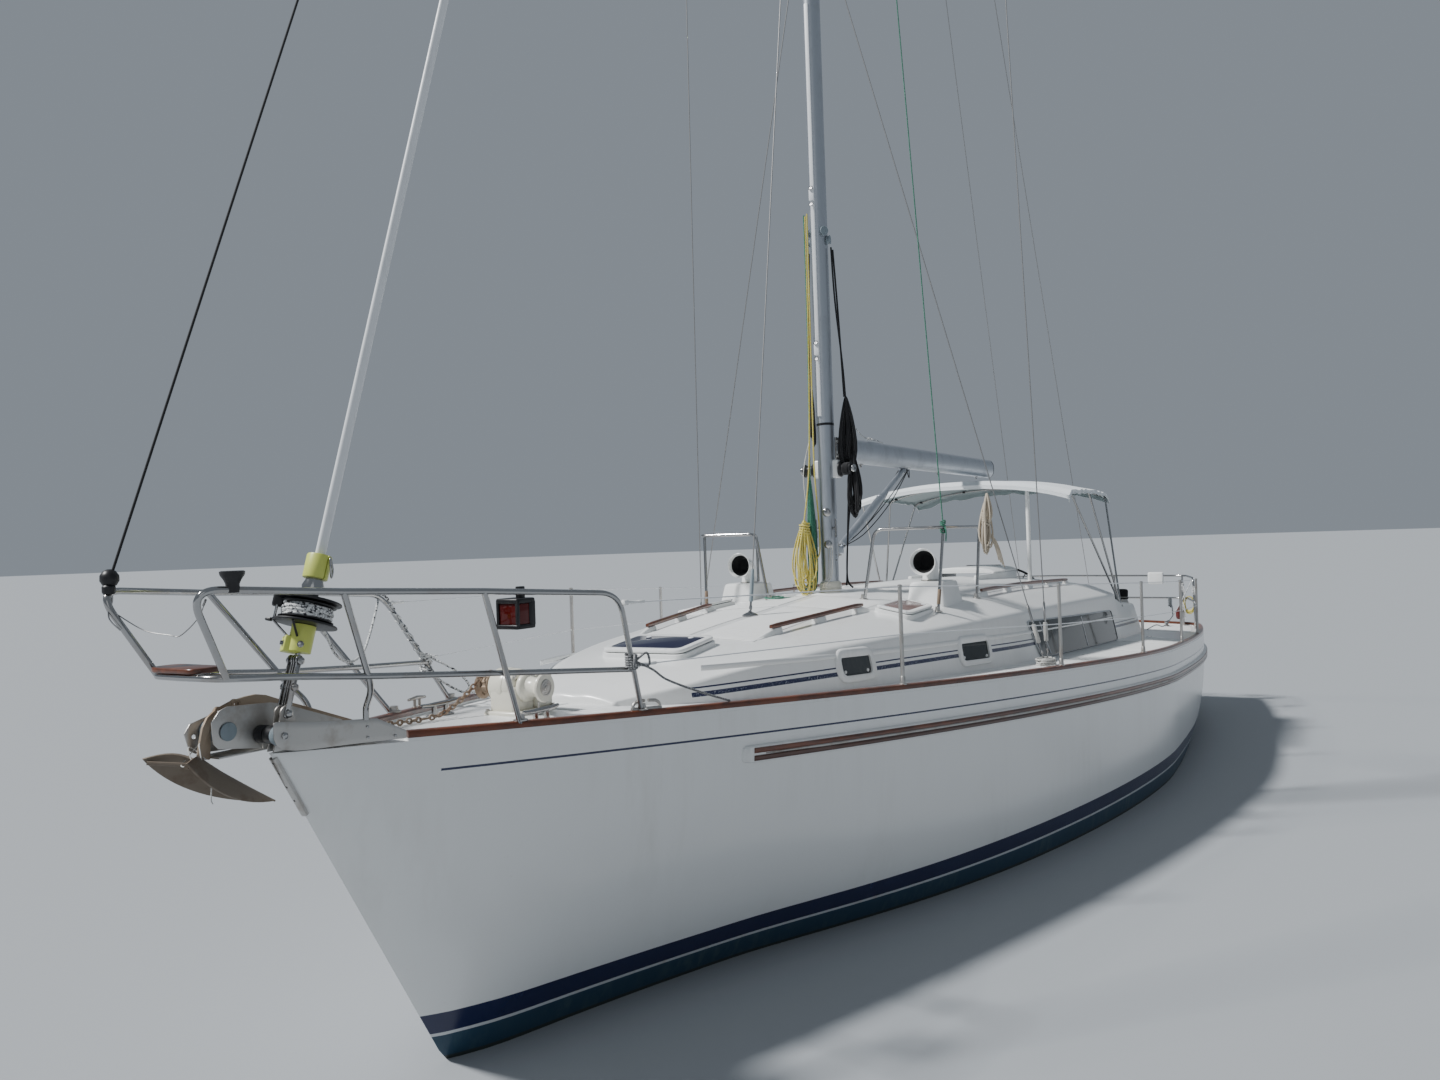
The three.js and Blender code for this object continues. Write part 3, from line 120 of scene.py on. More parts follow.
def half_breadth(x):
    if x >= BEAM_X:
        return max(0.012, HALF_BEAM * (1 - ((x - BEAM_X) / (BOW_LINE_X - BEAM_X)) ** BOW_POWER))
    return HALF_BEAM * (1 - STERN_NARROWING * ((BEAM_X - x) / (BEAM_X - STERN_X)) ** STERN_POWER)


def deck_z(x, y):
    b = half_breadth(x)
    return sheer(x) - RAIL_HEIGHT + DECK_CAMBER * (b / HALF_BEAM) * (1 - min(1, (y / b) ** 2))


def between(table, x):
    """A table's row at x, on a smooth curve through its rows, which run from the bow aft."""
    x = min(max(x, table[-1][0]), table[0][0])
    i = next(k for k in range(1, len(table)) if table[k][0] <= x)
    rows = [table[max(i - 2, 0)], table[i - 1], table[i], table[min(i + 1, len(table) - 1)]]
    span = rows[2][0] - rows[1][0]
    t = (x - rows[1][0]) / span
    made = []
    for k in range(1, len(rows[1])):
        a = (rows[2][k] - rows[0][k]) / (rows[2][0] - rows[0][0]) * span
        b = (rows[3][k] - rows[1][k]) / (rows[3][0] - rows[1][0]) * span
        p, q = rows[1][k], rows[2][k]
        made.append(p + a * t + (3 * (q - p) - 2 * a - b) * t * t + (2 * (p - q) + a + b) * t ** 3)
    return made


def section(x):
    """Keel height, fullness and roundness of the hull at x."""
    if x >= STEM_FOOT_X:
        _, fullness, roundness = between(BOW_STATIONS, x)
        return STEM_SLOPE * (x - STEM_FOOT_X), fullness, roundness
    return between((BOW_STATIONS[-1],) + STATIONS, x)


def side_at(x, z):
    """Half-breadth of the hull at a height."""
    keel, fullness, roundness = section(x)
    h = min(1, max(0, (z - keel) / (sheer(x) - RAIL_HEIGHT - keel)))
    return half_breadth(x) * (1 - (1 - h) ** fullness) ** (1 / roundness)


def roof_knots(x):
    base, edge, shoulder, edge_z, shoulder_z, crown_z = between(ROOF, x)
    middle = (shoulder / 2, (shoulder_z + crown_z) / 2 + 0.012)
    return base, ((edge, edge_z), (shoulder, shoulder_z), middle, (0, crown_z))


def roof_z(x, y):
    """Height of the coachroof."""
    knots = roof_knots(x)[1]
    y = min(abs(y), knots[0][0])
    for (outer, low), (inner, high) in zip(knots, knots[1:]):
        if outer >= y >= inner:
            return high + (low - high) * (y - inner) / (outer - inner)
    return knots[-1][1]


def wall_y(x, z):
    """Half-breadth of the coachroof's side wall at a height."""
    base, ((edge, edge_z), *_) = roof_knots(x)
    foot = deck_z(x, base)
    t = min(1, max(0, (z - foot) / (edge_z - foot)))
    return base + (edge - base) * t


# Sizes and colours that a user would change


class YachtSizes(bpy.types.PropertyGroup):
    """Sizes of the fittings."""
    tube: FloatProperty(name="Rail tube", description="Radius of the pulpit's tubes", default=0.0135,
                        unit="LENGTH")
    wire: FloatProperty(name="Wire", description="Radius of the standing rigging", default=0.0045,
                        unit="LENGTH")
    guard_wire: FloatProperty(name="Guard wire", description="Radius of the guard wires", default=0.003,
                              unit="LENGTH")
    rope: FloatProperty(name="Rope", description="Radius of a halyard", default=0.0055, unit="LENGTH")
    rail_width: FloatProperty(name="Toe rail", description="Width of the wooden toe rail", default=0.052,
                              unit="LENGTH")
    stripe: FloatProperty(name="Stripe", description="Height of the thin stripe under the sheer",
                          default=0.011,
                          unit="LENGTH")
    panel: FloatProperty(name="Deck panel", description="Thickness of a raised non-slip panel", default=0.003,
                         unit="LENGTH")


def colour(name, description, value):
    return FloatVectorProperty(name=name, description=description, subtype="COLOR", size=4,
                               default=(*value, 1),
                               min=0, max=1)


class YachtColours(bpy.types.PropertyGroup):
    """Base colours of the finishes."""
    gelcoat: colour("Gelcoat", "Moulded white of the hull and deck", (0.83, 0.84, 0.83))
    navy: colour("Navy", "Bands on the hull and the cabin side", (0.006, 0.012, 0.06))
    antifouling: colour("Antifouling", "Bottom paint", (0.008, 0.045, 0.085))
    teak: colour("Teak", "Varnished wood", (0.17, 0.044, 0.015))
    alloy: colour("Alloy", "Anodised spars", (0.5, 0.53, 0.57))
    lime: colour("Lime", "Plastic collars of the furler", (0.62, 0.68, 0.14))
    blue_lens: colour("Blue lens", "Fore hatch", (0.008, 0.009, 0.035))
    brown_lens: colour("Brown lens", "Side hatches", (0.2, 0.14, 0.13))
    canvas: colour("Canvas", "Bimini cloth", (0.8, 0.84, 0.86))
    floor: colour("Floor", "Studio floor", (0.36, 0.38, 0.4))


def sizes():
    return bpy.context.scene.yacht_sizes


def colours():
    return bpy.context.scene.yacht_colours


# Modelling aids


def pick(obj):
    """Makes obj the only selected and the active object."""
    if bpy.context.object and bpy.context.object.mode != "OBJECT":
        bpy.ops.object.mode_set(mode="OBJECT")
    bpy.ops.object.select_all(action="DESELECT")
    obj.select_set(True)
    bpy.context.view_layer.objects.active = obj
    return obj


def added():
    """The primitive just added, with nothing else selected."""
    return pick(bpy.context.object)


def clear():
    if bpy.context.object and bpy.context.object.mode != "OBJECT":
        bpy.ops.object.mode_set(mode="OBJECT")
    bpy.ops.object.select_all(action="DESELECT")


def in_edit(obj, *steps):
    """Runs edit-mode steps on everything in obj."""
    pick(obj)
    bpy.ops.object.mode_set(mode="EDIT")
    select_all()
    for step in steps:
        step()
    bpy.ops.object.mode_set(mode="OBJECT")
    return obj


def select_all():
    bpy.ops.mesh.select_all(action="SELECT")


def weld():
    bpy.ops.mesh.remove_doubles(threshold=0.00002)


def face_out():
    bpy.ops.mesh.normals_make_consistent(inside=False)


def modify(obj, kind, **settings):
    """Adds a modifier and applies it."""
    pick(obj)
    mod = obj.modifiers.new(kind.title(), kind)
    for key, value in settings.items():
        setattr(mod, key, value)
    bpy.ops.object.modifier_apply(modifier=mod.name)
    return obj


def bevel(obj, width, segments=2, angle=40):
    return modify(obj, "BEVEL", width=width, segments=segments, limit_method="ANGLE",
                  angle_limit=math.radians(angle))


def smooth(obj, angle=35):
    pick(obj)
    bpy.ops.object.shade_smooth_by_angle(angle=math.radians(angle))
    return obj


def skin(rows):
    """A grid laid over rows of points."""
    count, length = len(rows), len(rows[0])
    clear()
    bpy.ops.mesh.primitive_grid_add(x_subdivisions=length - 1, y_subdivisions=count - 1, size=2)
    obj = added()
    for v in obj.data.vertices:
        i = round((v.co.y + 1) / 2 * (count - 1))
        j = round((v.co.x + 1) / 2 * (length - 1))
        v.co = rows[i][j]
    return obj


def loft(rings, cap=True):
    """A closed skin round rings of points, its ends capped."""
    obj = skin([[*ring, ring[0]] for ring in rings])
    steps = [weld]
    if cap:
        steps += [lambda: bpy.ops.mesh.select_all(action="DESELECT"),
                  lambda: bpy.ops.mesh.select_non_manifold(),
                  lambda: bpy.ops.mesh.edge_face_add(),
                  select_all]
    return in_edit(obj, *steps, face_out)


def outline_face(points):
    """A flat face on an outline."""
    clear()
    bpy.ops.mesh.primitive_circle_add(vertices=len(points), radius=1, fill_type="NGON")
    obj = added()
    for v in obj.data.vertices:
        turn = math.atan2(-v.co.x, v.co.y) % (2 * math.pi)
        v.co = points[round(turn / (2 * math.pi) * len(points)) % len(points)]
    return obj


def drawn_out(obj, by):
    """A flat face extruded into a body."""
    return in_edit(obj, lambda: bpy.ops.mesh.extrude_region_move(TRANSFORM_OT_translate={"value": by}),
                   select_all, face_out)


def plate(outline, y0, y1, edge=0.0015):
    """An XZ outline as a plate between two values of y, its edges softened."""
    obj = outline_face([(x, y0, z) for x, z in outline])
    drawn_out(obj, (0, y1 - y0, 0))
    return bevel(obj, edge) if edge else obj


def block(low, high, edge=0.004, segments=2):
    """A block between two corners, its edges rounded."""
    clear()
    bpy.ops.mesh.primitive_cube_add(size=1)
    obj = added()
    for v in obj.data.vertices:
        v.co = [low[k] if v.co[k] < 0 else high[k] for k in range(3)]
    return bevel(obj, edge, segments) if edge else obj


def aim(obj, start, direction):
    """Turns a piece built up the Z axis to a direction and puts its foot at start."""
    turn = Vector((0, 0, 1)).rotation_difference(Vector(direction).normalized()).to_matrix().to_4x4()
    obj.data.transform(Matrix.Translation(Vector(start)) @ turn)
    return obj


def turned(profile, start=(0, 0, 0), direction=(0, 0, 1), sides=24):
    """A turned piece: rings of radius and height, extruded one from the next and scaled."""
    clear()
    r, z = profile[0]
    bpy.ops.mesh.primitive_circle_add(vertices=sides, radius=r, fill_type="NGON", location=(0, 0, z))
    obj = added()
    bpy.ops.object.transform_apply(location=True, rotation=False, scale=False)
    bpy.ops.object.mode_set(mode="EDIT")
    select_all()
    for (r0, z0), (r1, z1) in zip(profile, profile[1:]):
        bpy.ops.mesh.extrude_region_move(TRANSFORM_OT_translate={"value": (0, 0, z1 - z0)})
        k = r1 / r0
        bpy.ops.transform.resize(value=(k, k, 1), center_override=(0, 0, z1))
    select_all()
    face_out()
    bpy.ops.object.mode_set(mode="OBJECT")
    return aim(obj, start, direction)


def rod(a, b, radius, far=None, sides=16):
    """A round bar from a to b."""
    a, b = Vector(a), Vector(b)
    return turned([(radius, 0), (far or radius, (b - a).length)], a, b - a, sides)


def arc(a, corner, b, steps):
    """Points on a curve from a to b that rounds off a corner."""
    return [a * (1 - t) ** 2 + corner * 2 * t * (1 - t) + b * t * t
            for t in [k / steps for k in range(steps + 1)]]


def bent(points, radius=0.09, steps=6):
    """Corners of a route rounded off."""
    points = [Vector(p) for p in points]
    route = [points[0]]
    for before, corner, after in zip(points, points[1:], points[2:]):
        to_before, to_after = before - corner, after - corner
        if to_before.angle(to_after) > math.radians(174):
            route.append(corner)
            continue
        reach = min(radius, to_before.length * 0.45, to_after.length * 0.45)
        a, b = corner + to_before.normalized() * reach, corner + to_after.normalized() * reach
        route += arc(a, corner, b, steps)
    return route + [points[-1]]


def tubes(routes, radius, fine=2, cyclic=False):
    """Tubes along routes, as one mesh."""
    curve = bpy.data.curves.new("tubes", "CURVE")
    curve.dimensions = "3D"
    curve.bevel_depth = radius
    curve.bevel_resolution = fine
    curve.use_fill_caps = True
    for route in routes:
        spline = curve.splines.new("POLY")
        spline.points.add(len(route) - 1)
        for point, place in zip(spline.points, route):
            point.co = (*place, 1)
        spline.use_cyclic_u = cyclic
    obj = bpy.data.objects.new("tubes", curve)
    bpy.context.collection.objects.link(obj)
    pick(obj)
    bpy.ops.object.convert(target="MESH")
    return smooth(bpy.context.object, 60)


def curved(points, steps=8):
    """A smooth route through points."""
    points = [Vector(p) for p in points]
    route = []
    for i in range(len(points) - 1):
        before, after = points[max(i - 1, 0)], points[min(i + 2, len(points) - 1)]
        a, b = points[i], points[i + 1]
        for k in range(steps):
            t = k / steps
            route.append(0.5 * (2 * a + (b - before) * t + (2 * before - 5 * a + 4 * b - after) * t * t
                                + (3 * a - before - 3 * b + after) * t ** 3))
    return route + [points[-1]]


def joined(objs):
    """Several meshes as one."""
    objs = [o for o in objs if o]
    clear()
    for obj in objs:
        obj.select_set(True)
    bpy.context.view_layer.objects.active = objs[0]
    if len(objs) > 1:
        bpy.ops.object.join()
    return bpy.context.object


def merged(objs, angle=40):
    """Several meshes as one, smooth up to an angle in degrees."""
    return smooth(joined(objs), angle)


def opposite(obj):
    """A copy of a port piece, mirrored to starboard."""
    copy = obj.copy()
    copy.data = obj.data.copy()
    bpy.context.collection.objects.link(copy)
    copy.data.transform(Matrix.Scale(-1, 4, (0, 1, 0)))
    copy.data.flip_normals()
    return copy


def cut(obj, *cutters):
    """Takes the cutters out of obj."""
    for cutter in cutters:
        modify(obj, "BOOLEAN", object=cutter, operation="DIFFERENCE", solver="EXACT")
        bpy.data.objects.remove(cutter)
    return obj


def fit(obj, name, material, body="root", replaces=()):
    """Names a finished piece, gives it its finish and puts it on its body."""
    obj.name = name
    obj.data.name = name
    if material is not None:
        obj.data.materials.clear()
        obj.data.materials.append(finish(material))
    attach(obj, body)
    if replaces:
        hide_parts(*replaces)
    return obj


def fit_pair(obj, name, material, replaces=()):
    """Fits a port piece and its mirrored copy."""
    other = opposite(obj)
    fit(obj, name + "_port", material, replaces=[n + "_port" for n in replaces])
    fit(other, name + "_stbd", material, replaces=[n + "_stbd" for n in replaces])


# Shader node groups that several finishes share


def put(tree, kind, **inputs):
    """A node with its inputs set by name."""
    made = tree.nodes.new(kind)
    for key, value in inputs.items():
        if key.startswith("_"):
            setattr(made, key[1:], value)
        else:
            made.inputs[key.replace("_", " ")].default_value = value
    return made


def new_group(name, inputs, outputs):
    tree = bpy.data.node_groups.new(name, "ShaderNodeTree")
    for label, kind, value in inputs:
        made = tree.interface.new_socket(label, in_out="INPUT", socket_type="NodeSocket" + kind)
        made.default_value = value
    for label, kind in outputs:
        tree.interface.new_socket(label, in_out="OUTPUT", socket_type="NodeSocket" + kind)
    return tree, tree.nodes.new("NodeGroupInput"), tree.nodes.new("NodeGroupOutput")


def coordinates(tree, scale_from, stretch=(1, 1, 1)):
    """Object coordinates times a scale and a fixed stretch."""
    place = tree.nodes.new("ShaderNodeTexCoord")
    spread = put(tree, "ShaderNodeVectorMath", _operation="MULTIPLY")
    spread.inputs[1].default_value = stretch
    tree.links.new(place.outputs["Object"], spread.inputs[0])
    sized = put(tree, "ShaderNodeVectorMath", _operation="SCALE")
    tree.links.new(spread.outputs[0], sized.inputs[0])
    tree.links.new(scale_from, sized.inputs["Scale"])
    return sized.outputs[0]


def ranged(tree, source, low, high, to_low=0.0, to_high=1.0):
    made = put(tree, "ShaderNodeMapRange")
    for key, value in (("From Min", low), ("From Max", high), ("To Min", to_low), ("To Max", to_high)):
        made.inputs[key].default_value = value
    tree.links.new(source, made.inputs["Value"])
    return made.outputs["Result"]


def mixed(tree, factor, a, b):
    """A colour between two, each a socket or a value."""
    made = put(tree, "ShaderNodeMix", _data_type="RGBA")
    sockets = [s for s in made.inputs if s.type == "RGBA"]
    for socket, value in zip(sockets, (a, b)):
        if hasattr(value, "is_linked"):
            tree.links.new(value, socket)
        else:
            socket.default_value = (*value[:3], 1)
    if hasattr(factor, "is_linked"):
        tree.links.new(factor, made.inputs["Factor"])
    else:
        made.inputs["Factor"].default_value = factor
    return next(s for s in made.outputs if s.type == "RGBA")


def sums(tree, operation, a, b):
    """Two numbers joined by an operation, each a socket or a value."""
    made = put(tree, "ShaderNodeMath", _operation=operation)
    for socket, value in zip(made.inputs, (a, b)):
        if hasattr(value, "is_linked"):
            tree.links.new(value, socket)
        else:
            socket.default_value = value
    return made.outputs[0]


def weathering_group():
    """Uneven tone and grime, drawn out by the stretch into streaks that run down."""
    tree, source, result = new_group("weathering", (
        ("Color", "Color", (0.8, 0.8, 0.8, 1)), ("Grime", "Color", (0.3, 0.28, 0.22, 1)),
        ("Amount", "Float", 0.2), ("Scale", "Float", 1.0)), (("Color", "Color"), ("Mask", "Float")))
    streaks = put(tree, "ShaderNodeTexNoise", Scale=9.0, Detail=5.0, Roughness=0.62)
    tree.links.new(coordinates(tree, source.outputs["Scale"], (1, 1, 0.12)), streaks.inputs["Vector"])
    patches = put(tree, "ShaderNodeTexNoise", Scale=1.3, Detail=3.0, Roughness=0.5)
    tree.links.new(coordinates(tree, source.outputs["Scale"]), patches.inputs["Vector"])
    both = sums(tree, "MULTIPLY", ranged(tree, streaks.outputs[0], 0.45, 0.8),
                ranged(tree, patches.outputs[0], 0.4, 0.7))
    speckle = put(tree, "ShaderNodeTexNoise", Scale=60.0, Detail=3.0, Roughness=0.7)
    tree.links.new(coordinates(tree, source.outputs["Scale"]), speckle.inputs["Vector"])
    dots = sums(tree, "MULTIPLY", ranged(tree, speckle.outputs[0], 0.66, 0.76), 0.5)
    mask = sums(tree, "MULTIPLY", sums(tree, "MAXIMUM", both, dots), source.outputs["Amount"])
    tree.links.new(mixed(tree, mask, source.outputs["Color"], source.outputs["Grime"]),
                   result.inputs["Color"])
    tree.links.new(mask, result.inputs["Mask"])
    return tree


def grain_group():
    """Wood grain that runs along X, with darker lines and pores."""
    tree, source, result = new_group("grain", (
        ("Light", "Color", (0.3, 0.1, 0.04, 1)), ("Dark", "Color", (0.08, 0.02, 0.01, 1)),
        ("Scale", "Float", 1.0)),
        (("Color", "Color"), ("Height", "Float")))
    lines = put(tree, "ShaderNodeTexNoise", Scale=26.0, Detail=6.0, Roughness=0.6, Distortion=0.4)
    tree.links.new(coordinates(tree, source.outputs["Scale"], (0.05, 1, 1)), lines.inputs["Vector"])
    boards = put(tree, "ShaderNodeTexNoise", Scale=0.8, Detail=2.0)
    tree.links.new(coordinates(tree, source.outputs["Scale"]), boards.inputs["Vector"])
    both = sums(tree, "ADD", sums(tree, "MULTIPLY", lines.outputs[0], 0.7),
                sums(tree, "MULTIPLY", boards.outputs[0], 0.3))
    tree.links.new(mixed(tree, ranged(tree, both, 0.36, 0.62), source.outputs["Dark"],
                         source.outputs["Light"]),
                   result.inputs["Color"])
    tree.links.new(lines.outputs[0], result.inputs["Height"])
    return tree


def polish_group():
    """Fine marks of polishing, with stains."""
    tree, source, result = new_group("polish", (
        ("Color", "Color", (0.7, 0.7, 0.7, 1)), ("Stain", "Color", (0.3, 0.22, 0.14, 1)),
        ("Amount", "Float", 0.2), ("Rough", "Float", 0.2), ("Scale", "Float", 1.0)),
        (("Color", "Color"), ("Roughness", "Float"), ("Height", "Float")))
    marks = put(tree, "ShaderNodeTexNoise", Scale=120.0, Detail=4.0, Roughness=0.7)
    tree.links.new(coordinates(tree, source.outputs["Scale"], (0.06, 1, 1)), marks.inputs["Vector"])
    stains = put(tree, "ShaderNodeTexNoise", Scale=7.0, Detail=6.0, Roughness=0.65)
    tree.links.new(coordinates(tree, source.outputs["Scale"]), stains.inputs["Vector"])
    mask = sums(tree, "MULTIPLY", ranged(tree, stains.outputs[0], 0.5, 0.75), source.outputs["Amount"])
    tree.links.new(mixed(tree, mask, source.outputs["Color"], source.outputs["Stain"]),
                   result.inputs["Color"])
    rough = sums(tree, "ADD", source.outputs["Rough"], sums(tree, "MULTIPLY", marks.outputs[0], 0.14))
    rough = sums(tree, "ADD", rough, sums(tree, "MULTIPLY", mask, 0.4))
    tree.links.new(rough, result.inputs["Roughness"])
    tree.links.new(marks.outputs[0], result.inputs["Height"])
    return tree


def non_slip_group():
    """Small raised pebbles of a moulded non-slip surface."""
    tree, source, result = new_group("non_slip", (("Scale", "Float", 1.0),), (("Height", "Float"),))
    cells = put(tree, "ShaderNodeTexVoronoi", Scale=240.0)
    tree.links.new(coordinates(tree, source.outputs["Scale"]), cells.inputs["Vector"])
    tree.links.new(ranged(tree, cells.outputs["Distance"], 0.15, 0.6, 1.0, 0.0), result.inputs["Height"])
    return tree


def weave_group():
    """Crossing threads of canvas or rope."""
    tree, source, result = new_group("weave", (("Scale", "Float", 1.0),), (("Height", "Float"),))
    vector = coordinates(tree, source.outputs["Scale"])
    waves = []
    for direction in ("X", "Y"):
        wave = put(tree, "ShaderNodeTexWave", _bands_direction=direction, Scale=210.0, Distortion=0.6)
        tree.links.new(vector, wave.inputs["Vector"])
        waves.append(wave.outputs["Fac"])
    tree.links.new(sums(tree, "MULTIPLY", *waves), result.inputs["Height"])
    return tree


def within(tree, value, low, high):
    """1 where a number lies between two limits."""
    return sums(tree, "MULTIPLY", sums(tree, "GREATER_THAN", value, low),
                sums(tree, "LESS_THAN", value, high))


def sheer_drop_group():
    """Distance under the hull's sheer, with the plain coordinates beside it."""
    tree, source, result = new_group("sheer_drop", (("Lift", "Float", 0.0),),
                                     (("Drop", "Float"), ("X", "Float"), ("Z", "Float")))
    place = tree.nodes.new("ShaderNodeTexCoord")
    parts = tree.nodes.new("ShaderNodeSeparateXYZ")
    tree.links.new(place.outputs["Object"], parts.inputs[0])
    x, z = parts.outputs["X"], parts.outputs["Z"]
    line = sums(tree, "ADD", sums(tree, "MULTIPLY", x, SHEER["slope"]), SHEER["height"])
    line = sums(tree, "ADD", line, sums(tree, "MULTIPLY", sums(tree, "MULTIPLY", x, x), SHEER["curve"]))
    drop = sums(tree, "SUBTRACT", sums(tree, "ADD", line, source.outputs["Lift"]), z)
    for label, value in (("Drop", drop), ("X", x), ("Z", z)):
        tree.links.new(value, result.inputs[label])
    return tree


GROUPS = {
    "weathering": weathering_group, "grain": grain_group, "polish": polish_group, "non_slip": non_slip_group,
    "weave": weave_group, "sheer_drop": sheer_drop_group,
}


def effect(tree, name, **inputs):
    """One of the shared node groups, with its own values."""
    made = tree.nodes.new("ShaderNodeGroup")
    made.node_tree = bpy.data.node_groups.get(name) or GROUPS[name]()
    for key, value in inputs.items():
        socket = made.inputs[key]
        if hasattr(value, "is_linked"):
            tree.links.new(value, socket)
        else:
            socket.default_value = value
    return made


# Finishes


LENS_IOR = 1.36


def blank(name, roughness=0.4, metallic=0.0, **sockets):
    """A new material with its shader's plain values set. Its name is apart from those that the CAD brings."""
    material = bpy.data.materials.new("yacht " + name)
    material.use_nodes = True
    tree = material.node_tree
    shader = tree.nodes["Principled BSDF"]
    shader.inputs["Roughness"].default_value = roughness
    shader.inputs["Metallic"].default_value = metallic
    for key, value in sockets.items():
        shader.inputs[key.replace("_", " ")].default_value = value
    return material, tree, shader


def raise_bump(tree, shader, height, strength, distance=0.001):
    bump = put(tree, "ShaderNodeBump", Strength=strength, Distance=distance)
    tree.links.new(height, bump.inputs["Height"])
    tree.links.new(bump.outputs[0], shader.inputs["Normal"])


def orange_peel(tree, shader, scale=14.0, strength=0.12, distance=0.0015):
    """The slight waviness of a moulded surface."""
    place = tree.nodes.new("ShaderNodeTexCoord")
    noise = put(tree, "ShaderNodeTexNoise", Scale=scale, Detail=2.0)
    tree.links.new(place.outputs["Object"], noise.inputs["Vector"])
    raise_bump(tree, shader, noise.outputs[0], strength, distance)


def topsides():
    """Hull white with the thin stripe, the boot line and the bottom paint."""
    c = colours()
    material, tree, shader = blank("topsides", 0.24, Coat_Weight=0.35, Coat_Roughness=0.12)
    drop = effect(tree, "sheer_drop")
    height = drop.outputs["Z"]
    white = effect(tree, "weathering", Color=c.gelcoat, Grime=(0.52, 0.5, 0.44, 1), Amount=0.32, Scale=0.8)
    navy = effect(tree, "weathering", Color=c.navy, Grime=(0.05, 0.07, 0.16, 1), Amount=0.5, Scale=1.4)
    worn = effect(tree, "weathering", Color=c.antifouling, Grime=(0.07, 0.12, 0.13, 1), Amount=0.9, Scale=1.8)
    line = effect(tree, "weathering", Color=(0.62, 0.64, 0.66, 1), Grime=(0.35, 0.16, 0.05, 1), Amount=0.5,
                  Scale=2)
    stripe = sums(tree, "MULTIPLY",
                  within(tree, drop.outputs["Drop"], STRIPE_DROP, STRIPE_DROP + sizes().stripe),
                  sums(tree, "LESS_THAN", drop.outputs["X"], STRIPE_START))
    shade = mixed(tree, stripe, white.outputs["Color"], navy.outputs["Color"])
    shade = mixed(tree, sums(tree, "LESS_THAN", height, BOOT_TOP), shade, navy.outputs["Color"])
    shade = mixed(tree, sums(tree, "LESS_THAN", height, BOOT_LINE), shade, line.outputs["Color"])
    bottom = sums(tree, "LESS_THAN", height, BOOT_LOW)
    shade = mixed(tree, bottom, shade, worn.outputs["Color"])
    wavy = put(tree, "ShaderNodeTexNoise", Scale=7.0, Detail=6.0, Roughness=0.7)
    tree.links.new(coordinates(tree, put(tree, "ShaderNodeValue").outputs[0]), wavy.inputs["Vector"])
    scum = sums(tree, "LESS_THAN", height, ranged(tree, wavy.outputs[0], 0.3, 0.7, 0.012, SCUM_TOP))
    shade = mixed(tree, scum, shade, (0.022, 0.03, 0.028))
    tree.links.new(shade, shader.inputs["Base Color"])
    rough = sums(tree, "ADD", 0.22, sums(tree, "MULTIPLY", bottom, 0.4))
    tree.links.new(sums(tree, "ADD", rough, sums(tree, "MULTIPLY", white.outputs["Mask"], 0.3)),
                   shader.inputs["Roughness"])
    orange_peel(tree, shader, 5.0, 0.1, 0.004)
    return material


def gelcoat(name="gelcoat", grime=(0.45, 0.42, 0.35, 1), amount=0.35, slip=False, base=None):
    material, tree, shader = blank(name, 0.3, Coat_Weight=0.0 if slip else 0.25, Coat_Roughness=0.2)
    aged = effect(tree, "weathering", Color=base or colours().gelcoat, Grime=grime, Amount=amount, Scale=2.0)
    tree.links.new(aged.outputs["Color"], shader.inputs["Base Color"])
    tree.links.new(ranged(tree, aged.outputs["Mask"], 0, 1, 0.5 if slip else 0.28, 0.8),
                   shader.inputs["Roughness"])
    if slip:
        raise_bump(tree, shader, effect(tree, "non_slip", Scale=1.0).outputs[0], 0.5, 0.0012)
    else:
        orange_peel(tree, shader, 18.0, 0.1)
    return material


def cabin_white():
    """Cabin white with the thin and the broad navy stripe on the side wall."""
    c = colours()
    material, tree, shader = blank("cabin_white", 0.28, Coat_Weight=0.25, Coat_Roughness=0.2)
    aged = effect(tree, "weathering", Color=c.gelcoat, Grime=(0.5, 0.47, 0.4, 1), Amount=0.3, Scale=2.0)
    place = tree.nodes.new("ShaderNodeTexCoord")
    parts = tree.nodes.new("ShaderNodeSeparateXYZ")
    tree.links.new(place.outputs["Object"], parts.inputs[0])
    x, z = parts.outputs["X"], parts.outputs["Z"]
    line = sums(tree, "ADD", sums(tree, "MULTIPLY", x, CABIN_STRIPE["slope"]), CABIN_STRIPE["height"])
    past = sums(tree, "MAXIMUM", sums(tree, "SUBTRACT", x, CABIN_STRIPE["bend"]), 0.0)
    line = sums(tree, "ADD", line,
                sums(tree, "MULTIPLY", sums(tree, "MULTIPLY", past, past), CABIN_STRIPE["curve"]))
    under = sums(tree, "SUBTRACT", line, z)
    thin = within(tree, under, 0.0, CABIN_STRIPE["thin"])
    broad = within(tree, under, CABIN_STRIPE["gap"], CABIN_STRIPE["gap"] + CABIN_STRIPE["broad"])
    reach = within(tree, x, CABIN_STRIPE["aft"], CABIN_STRIPE["fore"])
    fleck = put(tree, "ShaderNodeTexVoronoi", Scale=150.0)
    tree.links.new(place.outputs["Object"], fleck.inputs["Vector"])
    rubbed = mixed(tree, ranged(tree, fleck.outputs["Distance"], 0.62, 0.95), c.navy, (0.3, 0.32, 0.38))
    shade = mixed(tree, sums(tree, "MULTIPLY", thin, reach), aged.outputs["Color"], c.navy)
    shade = mixed(tree, sums(tree, "MULTIPLY", broad, reach), shade, rubbed)
    tree.links.new(shade, shader.inputs["Base Color"])
    orange_peel(tree, shader, 18.0, 0.1)
    return material


